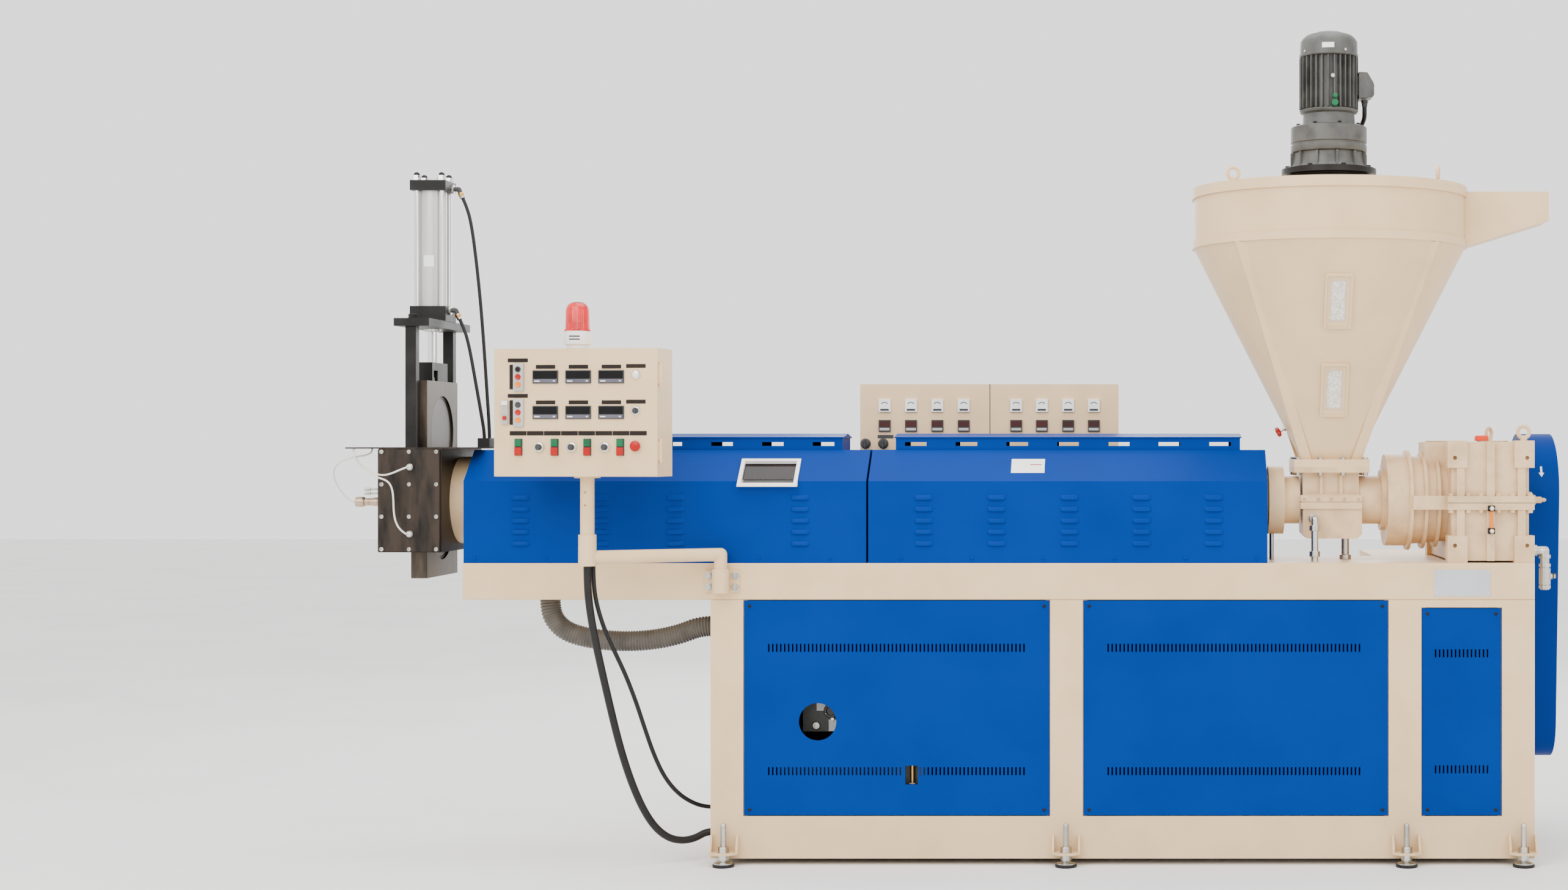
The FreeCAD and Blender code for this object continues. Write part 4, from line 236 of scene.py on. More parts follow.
    def _dust(self, tree: bpy.types.NodeTree, coordinates: bpy.types.Node,
              colour: bpy.types.NodeSocket) -> bpy.types.NodeSocket:
        """Darken the lowest half metre with uneven grime.

        Args:
            tree: The material's tree.
            coordinates: The texture coordinate node.
            colour: The clean colour.

        Returns:
            The soiled colour.
        """
        split = tree.nodes.new("ShaderNodeSeparateXYZ")
        tree.links.new(coordinates.outputs["Object"], split.inputs["Vector"])
        fade = tree.nodes.new("ShaderNodeMapRange")
        fade.inputs["From Min"].default_value = 0.0
        fade.inputs["From Max"].default_value = GRIME_HEIGHT
        fade.inputs["To Min"].default_value = self.dusty
        fade.inputs["To Max"].default_value = 0.0
        tree.links.new(split.outputs["Z"], fade.inputs["Value"])
        soil = tree.nodes.new("ShaderNodeMix")
        soil.data_type = "RGBA"
        tree.links.new(fade.outputs["Result"], soil.inputs["Factor"])
        tree.links.new(colour, next(s for s in soil.inputs if s.name == "A" and s.type == "RGBA"))
        next(s for s in soil.inputs if s.name == "B" and s.type == "RGBA").default_value = linear(GRIME)
        return next(s for s in soil.outputs if s.type == "RGBA")


def linear(colour: Colour) -> tuple[float, float, float, float]:
    """A screen colour as the linear values that a shader takes.

    Args:
        colour: Red, green and blue from 0 to 255.

    Returns:
        Linear red, green, blue and a full alpha.
    """
    share = np.asarray(colour) / 255.0
    value = np.where(share <= 0.04045, share / 12.92, ((share + 0.055) / 1.055) ** 2.4)
    return (*[float(v) for v in value], 1.0)


CREAM = Finish("cream_enamel", "cream_paint", (224, 193, 150), (217, 185, 142), dusty=0.1, specular=0.2)
CREAM_CAST = Finish("cream_over_casting", "cream_paint", (219, 187, 145), (199, 166, 126), Pattern.CAST,
                    (0.32, 0.5), scale=14.0, grain=130.0, bump=0.3, specular=0.35)
BLUE = Finish("blue_enamel", "blue_paint", (0, 48, 126), (0, 45, 120), roughness=(0.36, 0.46), scale=3.0,
              specular=0.05)
OILY = Finish("oily_steel", "dark_steel", (56, 46, 38), (22, 19, 16), Pattern.GROUND, (0.35, 0.55), 0.4,
              scale=26.0, grain=240.0, bump=0.25, specular=0.3)
PLATE = Finish("slide_steel", "dark_steel", (88, 77, 66), (48, 42, 36), Pattern.GROUND, (0.3, 0.5), 0.7,
               scale=22.0, grain=260.0, bump=0.2, specular=0.3)
BLACKED = Finish("blacked_steel", "dark_steel", (36, 34, 32), (20, 19, 18), Pattern.OILED, (0.35, 0.55), 0.4,
                 scale=10.0, bump=0.2, specular=0.3)
STEEL = Finish("bright_steel", "machined_steel", (206, 204, 198), (160, 157, 150), Pattern.BRUSHED,
               (0.2, 0.38), 1.0, scale=60.0, grain=500.0, bump=0.1)
CHROME = Finish("polished_chrome", "chromed_rod", (232, 232, 232), (205, 205, 206), Pattern.BRUSHED,
                (0.06, 0.16), 1.0, scale=40.0, grain=600.0, bump=0.03)
TUBE_GREY = Finish("cylinder_enamel", "cylinder_grey", (196, 195, 190), (176, 174, 168), Pattern.BRUSHED,
                   (0.25, 0.4), 0.35, scale=12.0, bump=0.08)
MOTOR = Finish("motor_enamel", "motor_grey", (78, 78, 74), (52, 52, 49), Pattern.CAST, (0.35, 0.55),
               scale=16.0, grain=150.0, bump=0.25)
RUBBER = Finish("black_hose", "black_rubber", (24, 22, 21), (14, 13, 13), Pattern.MOULDED, (0.42, 0.6),
                scale=14.0, bump=0.25, specular=0.3)
DUCT = Finish("duct_plastic", "duct_grey", (86, 80, 72), (60, 55, 49), Pattern.MOULDED, (0.45, 0.65),
              scale=12.0, bump=0.2)
BRAID = Finish("white_braid", "white_lead", (232, 229, 220), (204, 200, 188), Pattern.WOVEN, (0.6, 0.8),
               grain=1400.0, bump=0.6)
BLACK = Finish("instrument_black", "instrument_black", (20, 19, 19), (12, 12, 12), Pattern.MOULDED,
               (0.25, 0.4), scale=30.0, bump=0.1, specular=0.3)
GLASSY = Finish("display_glass", "instrument_black", (10, 9, 11), (5, 5, 6), Pattern.MOULDED,
                (0.05, 0.1), scale=20.0, bump=0.0, specular=0.2)
BAND = Finish("meter_band", "instrument_black", (86, 84, 96), (66, 64, 76), Pattern.MOULDED, (0.3, 0.4))
LABEL = Finish("label_brown", "instrument_black", (34, 24, 18), (20, 14, 11), Pattern.MOULDED, (0.3, 0.45),
               specular=0.2)
GREY = Finish("grey_plastic", "cylinder_grey", (176, 174, 168), (158, 155, 148), Pattern.MOULDED, (0.35, 0.5))
WHITE = Finish("white_plastic", "white_lead", (240, 240, 238), (226, 225, 220), Pattern.MOULDED, (0.3, 0.45))
RED = Finish("red_plastic", "beacon_red", (178, 2, 0), (150, 2, 0), Pattern.MOULDED, (0.25, 0.4),
             specular=0.3)
YELLOW = Finish("amber_plastic", "beacon_red", (240, 128, 8), (220, 104, 6), Pattern.MOULDED, (0.25, 0.4),
                specular=0.3)
GREEN = Finish("green_plastic", "instrument_black", (0, 98, 58), (0, 78, 46), Pattern.MOULDED, (0.25, 0.4),
               specular=0.3)
ORANGE = Finish("orange_cap", "beacon_red", (240, 62, 2), (216, 50, 2), Pattern.MOULDED, (0.3, 0.45),
                specular=0.3)
LENS = Finish("beacon_lens", "beacon_red", (236, 4, 0), (206, 2, 0), Pattern.CLEAR, (0.06, 0.12),
              grain=60.0, bump=0.1, coat=0.3, glow=0.25)
FOIL = Finish("anodised_plate", "machined_steel", (196, 198, 202), (184, 186, 190), Pattern.PAINT,
              (0.25, 0.35), 0.4, grain=900.0, bump=0.05)
TINTED = Finish("heat_tinted_steel", "machined_steel", (190, 164, 140), (140, 112, 92), Pattern.BRUSHED,
                (0.25, 0.45), 0.85, scale=40.0)
BRASS = Finish("brass", "machined_steel", (198, 158, 92), (158, 120, 66), Pattern.BRUSHED, (0.2, 0.4), 1.0)
SMOKED = Finish("smoked_red", "instrument_black", (62, 12, 8), (40, 8, 6), Pattern.MOULDED, (0.1, 0.2),
                specular=0.3)
# Painted shade: this dark brown stands for the hood window's glass with the unlit hollow behind it.
HOLLOW_SHADE = Finish("window_hollow_shade", "instrument_black", (26, 14, 10), (10, 6, 5), Pattern.MOULDED, (0.06, 0.14),
              scale=8.0, bump=0.02, specular=0.25)
PELLET = Finish("pellets", "white_lead", (252, 249, 242), (206, 178, 146), Pattern.PELLETS, (0.35, 0.6),
                grain=210.0, bump=1.0)
CRYSTAL = Finish("clear_glass", "white_lead", (246, 250, 248), (238, 243, 240), Pattern.MOULDED,
                 (0.02, 0.05), bump=0.0, alpha=0.16)
SIEVE = Finish("screen_mesh", "machined_steel", (104, 102, 98), (72, 70, 66), Pattern.PERFORATED,
               (0.35, 0.5), 0.7, grain=640.0, bump=0.5)
STAGE = Finish("studio_floor", "", (236, 236, 234), (230, 230, 228), roughness=(0.6, 0.7), scale=1.0,
               bump=0.0)


# ---------------------------------------------------------------- drawing and surfaces
class Drawing:
    """The move from the drawing's millimetres to the frame's metres."""

    shift: Array = np.zeros(3)

    @classmethod
    def learn(cls) -> None:
        """Work out the move from where the table beam lies in the frame."""
        low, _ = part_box("table_beam")
        cls.shift = np.asarray(low) - spot(TABLE_LEFT, 0.0, TABLE_BOTTOM) * MM

    @classmethod
    def metres(cls, points: Array | Point) -> Array:
        """Points in the frame's metres.

        Args:
            points: One point or an array of points, in drawing millimetres.

        Returns:
            The same points in the frame.
        """
        return np.asarray(points, dtype=float) * MM + cls.shift


@dataclass(frozen=True)
class Place:
    """Where a shape's own axes a, b and c stand in the drawing."""

    at: Array
    a: Array = field(default_factory=lambda: X)
    b: Array = field(default_factory=lambda: Y)
    c: Array = field(default_factory=lambda: Z)

    def of(self, local: Array) -> Array:
        """Points given along a, b and c, in the drawing.

        Args:
            local: An array whose last axis holds the three lengths.

        Returns:
            The points: at + la*a + lb*b + lc*c.
        """
        axes = np.stack([self.a, self.b, self.c])
        return np.asarray(self.at, dtype=float) + np.asarray(local, dtype=float) @ axes


WORLD = Place(np.zeros(3))


class Surface:
    """A mesh grown from patches that are worked out as whole arrays."""

    def __init__(self) -> None:
        """Start with no points."""
        self.points: list[Array] = []
        self.faces: list[Array | list[list[int]]] = []
        self.count = 0

    def add(self, points: Array, faces: list[Array]) -> "Surface":
        """Take in one patch.

        Args:
            points: Its points, n by 3.
            faces: Arrays of faces, one array for each number of corners.

        Returns:
            This surface.
        """
        self.points.append(points.reshape(-1, 3))
        self.faces += [np.asarray(group) + self.count for group in faces]
        self.count += len(self.points[-1])
        return self

    def grid(self, points: Array, caps: bool = True) -> "Surface":
        """A grid of rings: each row is a closed ring, and neighbouring rows are joined by quads.

        Args:
            points: Rows by columns by 3.
            caps: Whether the first and the last ring are closed with a face.

        Returns:
            This surface.
        """
        rows, columns = points.shape[:2]
        index = np.arange(rows * columns).reshape(rows, columns)
        turned = np.roll(index, -1, axis=1)
        quads = np.stack([index[:-1], turned[:-1], turned[1:], index[1:]], axis=-1).reshape(-1, 4)
        faces = [quads]
        if caps:
            faces += [index[:1, ::-1], index[-1:]]
        return self.add(points, faces)

    def sheet(self, points: Array) -> "Surface":
        """An open grid of quads.

        Args:
            points: Rows by columns by 3.

        Returns:
            This surface.
        """
        rows, columns = points.shape[:2]
        index = np.arange(rows * columns).reshape(rows, columns)
        quads = np.stack([index[:-1, :-1], index[:-1, 1:], index[1:, 1:], index[1:, :-1]], axis=-1)
        return self.add(points, [quads.reshape(-1, 4)])

    def turned(self, profile: Array | list[tuple[float, float]], place: Place, sides: int = 40) -> "Surface":
        """A surface of revolution about a place's c axis.

        Point (i, j) is place(r_i cos t_j, r_i sin t_j, h_i), with t_j evenly spaced round a turn.

        Args:
            profile: Pairs of height along c and radius.
            place: Its own axes.
            sides: Steps round the turn.

        Returns:
            This surface.
        """
        profile = np.asarray(profile, dtype=float)
        turn = np.arange(sides) * 2.0 * np.pi / sides
        heights, radii = profile[:, :1], profile[:, 1:]
        local = np.stack([radii * np.cos(turn), radii * np.sin(turn), heights + 0.0 * turn], axis=-1)
        return self.grid(place.of(local))

    def box(self, size: Point, place: Place) -> "Surface":
        """A block centred on a place.

        Args:
            size: Its lengths along a, b and c.
            place: Its centre and axes.

        Returns:
            This surface.
        """
        corners = np.array([[-1, -1], [1, -1], [1, 1], [-1, 1]]) / 2.0
        local = np.stack([np.concatenate([corners, np.full((4, 1), h)], axis=1) for h in (-0.5, 0.5)])
        return self.grid(place.of(local * np.asarray(size, dtype=float)))

    def span(self, x: tuple[float, float], y: tuple[float, float], z: tuple[float, float]) -> "Surface":
        """A block between low and high x, y and z of the drawing."""
        low, high = spot(x[0], y[0], z[0]), spot(x[1], y[1], z[1])
        return self.box(tuple(high - low), Place((low + high) / 2.0))

    def prism(self, outline: Array | list[tuple[float, float]], depth: float, place: Place) -> "Surface":
        """A flat outline in a and b, pushed along c.

        Args:
            outline: Corner points, in order.
            depth: How far it is pushed.
            place: Its own axes.

        Returns:
            This surface.
        """
        outline = np.asarray(outline, dtype=float)
        rings = [np.concatenate([outline, np.full((len(outline), 1), h)], axis=1) for h in (0.0, depth)]
        return self.grid(place.of(np.stack(rings)))

    def tube(self, line: Array, radii: Array | float, across: Array, sides: int = 16) -> "Surface":
        """A round skin along a line.

        Ring i is line_i + r_i (cos t n_i + sin t m_i), where n_i is `across` made square to the
        line's direction and m_i is square to both.

        Args:
            line: Points along the middle, n by 3.
            radii: One radius or one a point.
            across: A direction that the line never runs along.
            sides: Steps round.

        Returns:
            This surface.
        """
        ahead = unit(np.gradient(line, axis=0))
        beside = unit(np.cross(np.broadcast_to(across, ahead.shape), ahead))
        above = np.cross(ahead, beside)
        turn = np.arange(sides)[None, :, None] * 2.0 * np.pi / sides
        radii = np.broadcast_to(np.asarray(radii, dtype=float), (len(line),))[:, None, None]
        ring = np.cos(turn) * beside[:, None] + np.sin(turn) * above[:, None]
        return self.grid(line[:, None] + radii * ring)

    def repeated(self, offsets: Array) -> "Surface":
        """Copies of this surface, one at each offset.

        Args:
            offsets: n by 3, in drawing millimetres.

        Returns:
            A new surface.
        """
        points = np.concatenate(self.points)
        offsets = np.asarray(offsets, dtype=float).reshape(-1, 3)
        copies = Surface()
        steps = np.arange(len(offsets))[:, None, None] * self.count
        everywhere = (points[None] + offsets[:, None]).reshape(-1, 3)
        return copies.add(everywhere, [(np.asarray(g)[None] + steps).reshape(-1, np.shape(g)[-1])
                                       for g in self.faces])

    def join(self, *others: "Surface") -> "Surface":
        """Take in other surfaces' patches.

        Args:
            others: The surfaces.

        Returns:
            This surface.
        """
        for other in others:
            start = self.count
            self.points += other.points
            self.faces += [np.asarray(group) + start for group in other.faces]
            self.count += other.count
        return self

    def piece(self, name: str, finish: Finish, body: str = "root", *, bevel: float = 0.0,
              instead: tuple[str, ...] = ()) -> bpy.types.Object:
        """Make the mesh object, dress it and let it ride.

        Args:
            name: The piece's name.
            finish: Its finish.
            body: The body that it rides on.
            bevel: Width of its rounded edges, in millimetres.
            instead: CAD nodes that it stands for.

        Returns:
            The new object.
        """
        mesh = bpy.data.meshes.new(name)
        faces = [face for group in self.faces for face in np.asarray(group).tolist()]
        mesh.from_pydata(Drawing.metres(np.concatenate(self.points)), [], faces)
        work = bmesh.new()
        work.from_mesh(mesh)
        bmesh.ops.remove_doubles(work, verts=work.verts, dist=2e-6)
        bmesh.ops.dissolve_degenerate(work, edges=work.edges, dist=1e-7)
        bmesh.ops.recalc_face_normals(work, faces=work.faces)
        work.to_mesh(mesh)
        work.free()
        mesh.shade_smooth()
        mesh.set_sharp_from_angle(angle=math.radians(32.0))
        mesh.materials.append(finish.material())
        piece = bpy.data.objects.new(name, mesh)
        bpy.context.scene.collection.objects.link(piece)
        if bevel > 0.0:
            rounding = piece.modifiers.new("rounding", "BEVEL")
            rounding.width = bevel * MM
            rounding.segments = 2
            rounding.limit_method = "ANGLE"
            rounding.angle_limit = math.radians(38.0)
            rounding.harden_normals = True
        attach(piece, body)
        if instead:
            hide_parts(*instead)
        LOG.info("%s: %d faces on %s", name, len(mesh.polygons), body)
        return piece


def spot(x: float, y: float, z: float) -> Array:
    """A point or a direction as an array."""
    return np.array([x, y, z])


def unit(vectors: Array) -> Array:
    """Vectors of length one."""
    return vectors / np.maximum(np.linalg.norm(vectors, axis=-1, keepdims=True), 1e-12)


def arc(radius: float, start: float, end: float, steps: int = 12,
        centre: tuple[float, float] = (0.0, 0.0)) -> Array:
    """Points on an arc: centre + radius (cos t, sin t).

    Args:
        radius: The arc's radius.
        start: Its first angle in degrees.
        end: Its last angle in degrees.
        steps: How many points.
        centre: Its centre.

    Returns:
        The points, steps by 2.
    """
    turn = np.radians(np.linspace(start, end, steps))
    return np.stack([centre[0] + radius * np.cos(turn), centre[1] + radius * np.sin(turn)], axis=1)


def offsets(xs: Array | list[float], ys: Array | list[float], zs: Array | list[float]) -> Array:
    """Every mix of x, y and z as rows."""
    return np.stack(np.meshgrid(xs, ys, zs, indexing="ij"), axis=-1).reshape(-1, 3)


def hexagon(flats: float) -> Array:
    """Corners of a hexagon with this width across flats."""
    return arc(flats / math.sqrt(3.0), 0.0, 300.0, 6)


def hex_bolt(place: Place, flats: float = 24.0, height: float = 10.0, washer: float = 0.0) -> Surface:
    """A hexagon head with a domed top, standing on its washer.

    Args:
        place: Its seat; c points out of the seat.
        flats: Width across flats.
        height: The head's height.
        washer: The washer's radius, or 0 for none.

    Returns:
        The bolt's surface.
    """
    bolt = Surface()
    start = 0.0
    if washer > 0.0:
        start = 2.0
        bolt.turned([(0.0, washer), (start, washer)], place, 24)
    ring = hexagon(flats)
    levels = [(start, 1.0), (height - 2.0, 1.0), (height, 0.84)]
    rings = [np.concatenate([ring * s, np.full((6, 1), h)], axis=1) for h, s in levels]
    return bolt.grid(place.of(np.stack(rings)))


def cap_screw(place: Place, radius: float = 11.0, height: float = 10.0) -> Surface:
    """A round head with a sunk hexagon socket.

    Args:
        place: Its seat; c points out of the seat.
        radius: The head's radius.
        height: The head's height.

    Returns:
        The screw's surface.
    """
    turn = np.arange(24) * 2.0 * np.pi / 24
    round_ring = np.stack([np.cos(turn), np.sin(turn)], axis=1)
    reach = 0.5 * radius / np.cos((turn + np.pi / 6) % (np.pi / 3) - np.pi / 6)
    socket = round_ring * reach[:, None]
    levels = [(round_ring * radius, 0.0), (round_ring * radius, height - 1.5),
              (round_ring * (radius - 1.5), height), (socket, height), (socket, height - 5.0)]
    rings = [np.concatenate([ring, np.full((24, 1), h)], axis=1) for ring, h in levels]
    return Surface().grid(place.of(np.stack(rings)))


def dress(finish: Finish, *nodes: str) -> None:
    """Give CAD nodes a finish.

    Args:
        finish: The finish.
        nodes: The nodes' names.
    """
    for node in nodes:
        shown = FRAME["nodes"][node]
        if not shown.material_slots:
            shown.data.materials.append(None)
        for holder in shown.material_slots:
            holder.material = finish.material()
        LOG.info("%s: dressed in %s", node, finish.name)


# ---------------------------------------------------------------- base
@dataclass
class Base:
    """Welded base: frame, slotted panels, screws, maker's plate and levelling feet."""

    bays: tuple[tuple[float, float], ...] = ((127.0, 1291.0), (1421.0, 2581.0), (2711.0, 3013.0))
    panel_tops: tuple[float, ...] = (1007.0, 1007.0, 978.0)
    panel_low: float = 189.0
    panel_depth: float = 4.0
    corner_inset: float = 21.0
    depth: float = 580.0
    bay_depth: float = 1130.0
    plate_x: tuple[float, float] = (2757.0, 2971.0)
    plate_z: tuple[float, float] = (1023.0, 1125.0)
    front_feet: tuple[float, ...] = (55.0, 1355.0, 2648.0, 3092.0)
    rear_feet: tuple[float, ...] = (55.0, 1640.0)
    bay_feet: tuple[float, ...] = (2648.0, 3092.0)
    foot_reach: float = 36.0
    ledge: tuple[float, float] = (46.0, 54.0)

    def build(self) -> None:
        """Build and dress the base."""
        dress(CREAM, "table_beam", "bay_table", "base_posts", "bottom_rails", "cross_rails", "foot_brackets")
        dress(BLUE, "front_panels", "rear_panels", "end_panels")
        self.screws()
        self.plate()
        self.feet()

    def screws(self) -> None:
        """Button-head screws in the corners of each panel, front and back."""
        head = Surface()
        domed = [(0.0, 6.5), (2.2, 6.2), (3.6, 4.6), (4.2, 2.4), (3.0, 2.2)]
        for (left, right), top in zip(self.bays, self.panel_tops):
            inset = self.corner_inset
            xs, zs = (left + inset, right - inset), (self.panel_low + inset, top - inset)
            for place in offsets(xs, [self.panel_depth], zs):
                head.turned(domed, Place(place, X, Z, -Y), 16)
            back = self.bay_depth if left > 2600.0 else self.depth
            for place in offsets(xs, [back - self.panel_depth], (self.panel_low + inset, 1007.0 - inset)):
                head.turned(domed, Place(place, X, -Z, Y), 16)
        head.piece("panel_screws", BLACKED)

    def plate(self) -> None:
        """Bare plate on the table beam, held by four rivets."""
        (x0, x1), (z0, z1) = self.plate_x, self.plate_z
        Surface().span((x0, x1), (-1.6, 0.2), (z0, z1)).piece("rating_plate", FOIL, bevel=0.6)
        rivets = Surface()
        for place in offsets((x0 + 9, x1 - 9), [-1.6], (z0 + 9, z1 - 9)):
            rivets.turned([(0.0, 3.6), (1.2, 3.0), (2.0, 0.0)], Place(place, X, Z, -Y), 12)
        rivets.piece("plate_rivets", CHROME)

    def feet(self) -> None:
        """Levelling feet: rubber pad, pressed disc, threaded rod and two nuts each."""
        spots = [(x, -self.foot_reach) for x in self.front_feet]
        spots += [(x, self.depth + self.foot_reach) for x in self.rear_feet]
        spots += [(x, self.bay_depth + self.foot_reach) for x in self.bay_feet]
        places = np.array([(x, y, 0.0) for x, y in spots])
        pad = Surface().turned([(0.0, 40.5), (3.0, 41.5), (9.0, 41.5), (12.0, 38.5)], WORLD)
        pad.repeated(places).piece("foot_pads", RUBBER, instead=("levelling_feet",))
        plate = [(12.0, 38.0), (15.0, 37.5), (17.5, 30.0), (20.0, 17.0), (24.0, 14.0)]
        heights = np.arange(24.0, 157.0, 0.7)
        thread = 11.3 + 0.7 * np.cos(2.0 * np.pi * heights / 3.5)
        screw = Surface().turned(plate + list(zip(heights, thread)) + [(160.0, 10.5), (163.0, 8.5)], WORLD,
                                 20)
        for low in (self.ledge[0] - 22.0, self.ledge[1]):
            nut = [np.concatenate([hexagon(36.0) * s, np.full((6, 1), low + h)], axis=1)
                   for h, s in ((0.0, 0.9), (2.0, 1.0), (20.0, 1.0), (22.0, 0.9))]
            screw.grid(np.stack(nut))
        screw.turned([(self.ledge[1], 23.0), (self.ledge[1] + 2.0, 23.0)], WORLD, 24)
        screw.repeated(places).piece("foot_screws", STEEL, instead=("levelling_feet",))


@dataclass
class HydraulicUnit:
    """Power unit seen through the left panel's peep hole and sight slot."""

    hub: Point = (407.0, 260.0, 552.0)
    tank_x: tuple[float, float] = (244.0, 824.0)
    tank_y: tuple[float, float] = (60.0, 460.0)
    tank_z: tuple[float, float] = (192.0, 462.0)
    tube: Point = (765.5, 42.0, 350.0)

    def build(self) -> None:
        """Build tank, motor, pump, manifold fittings and sight tube."""
        along = Place(np.array(self.hub), Y, Z, X)
        body = [(25, 60), (25, 88), (32, 90), (45, 90), (48, 84), (262, 84), (266, 90), (276, 90), (282, 84),
                (322, 82), (325, 70)]
        motor = Surface().turned(body, along, 48)
        turn = np.radians(np.arange(0.0, 360.0, 10.0))
        for t in turn:
            out = math.cos(t) * Y + math.sin(t) * Z
            motor.box((4.0, 8.0, 212.0), Place(np.array(self.hub) + 85.5 * out + 155 * X, np.cross(X, out),
                                               out, X))
        motor.join(Surface().span((472.0, 692.0), (205.0, 315.0), (self.tank_z[1], 500.0)))
        motor.piece("pump_motor", BLACKED, bevel=1.0, instead=("hydraulic_unit",))
        tank = Surface().span(self.tank_x, self.tank_y, self.tank_z)
        tank.span((236.0, 832.0), (52.0, 468.0), (self.tank_z[1] - 8.0, self.tank_z[1]))
        tank.span((140.0, 1278.0), (20.0, 560.0), (186.0, 192.0))
        tank.piece("oil_tank", MOTOR, bevel=2.0, instead=("hydraulic_unit",))
        pump = Surface().turned([(-70, 30), (-68, 40), (-40, 42), (-36, 48), (-6, 48), (-2, 56), (25, 56)],
                                along)
        pump.span((330.0, 480.0), (150.0, 214.0), (490.0, 640.0))
        pump.piece("pump_body", MOTOR, bevel=1.0, instead=("hydraulic_unit",))
        self.manifold()
        bolts = Surface()
        for angle in np.radians((30.0, 150.0, 270.0)):
            seat = np.array(self.hub) + 70.0 * (math.cos(angle) * Y + math.sin(angle) * Z) + 25.0 * X
            bolts.join(cap_screw(Place(seat, Y, Z, -X), 7.0, 9.0))
        bolts.piece("pump_bolts", STEEL)
        x, y, z = self.tube
        sight = Surface().turned([(-50, 9), (50, 9)], Place(spot(x, y, z), X, Y, Z), 24)
        sight.piece("sight_tube", BRASS, instead=("hydraulic_unit",))
        ends = Surface()
        for height in (z - 50.0, z + 50.0):
            ends.box((22.0, 29.0, 16.0), Place(spot(x, y + 3.5, height)))
        ends.piece("sight_tube_ends", STEEL, bevel=1.5, instead=("hydraulic_unit",))
        labels = Surface().box((36.0, 1.4, 42.0), Place(spot(402.0, 149.0, 592.0)))
        labels.box((30.0, 1.4, 44.0), Place(spot(446.0, 149.0, 514.0)))
        labels.box((74.0, 1.0, 46.0), Place(spot(360.0, 59.4, 420.0)))
        labels.box((52.0, 1.0, 30.0), Place(spot(452.0, 59.4, 408.0)))
        labels.piece("tank_labels", WHITE)


# ---------------------------------------------------------------- barrel and covers
    def manifold(self) -> None:
        """Round relief valve with three screws, and a plug, on the pump's manifold block."""
        valve = Surface().turned([(0.0, 28.0), (16.0, 28.0), (19.0, 25.0), (19.0, 18.0), (15.0, 16.0)],
                                 Place(spot(441.0, 150.0, 572.0), X, Z, -Y), 40)
        valve.piece("relief_valve", MOTOR, bevel=0.6)
        plugs = Surface().turned([(0.0, 15.0), (10.0, 15.0), (12.0, 13.0), (12.0, 8.0), (6.0, 7.0)],
                                 Place(spot(383.0, 150.0, 514.0), X, Z, -Y), 32)
        for angle in np.radians((90.0, 210.0, 330.0)):
            seat = spot(441.0 + 21.5 * math.cos(angle), 131.0, 572.0 + 21.5 * math.sin(angle))
            plugs.join(cap_screw(Place(seat, X, Z, -Y), 3.6, 5.6))
        plugs.join(hex_bolt(Place(spot(446.0, 148.0, 540.0), X, Z, -Y), 14.0, 8.0))
        plugs.piece("manifold_plugs", STEEL)


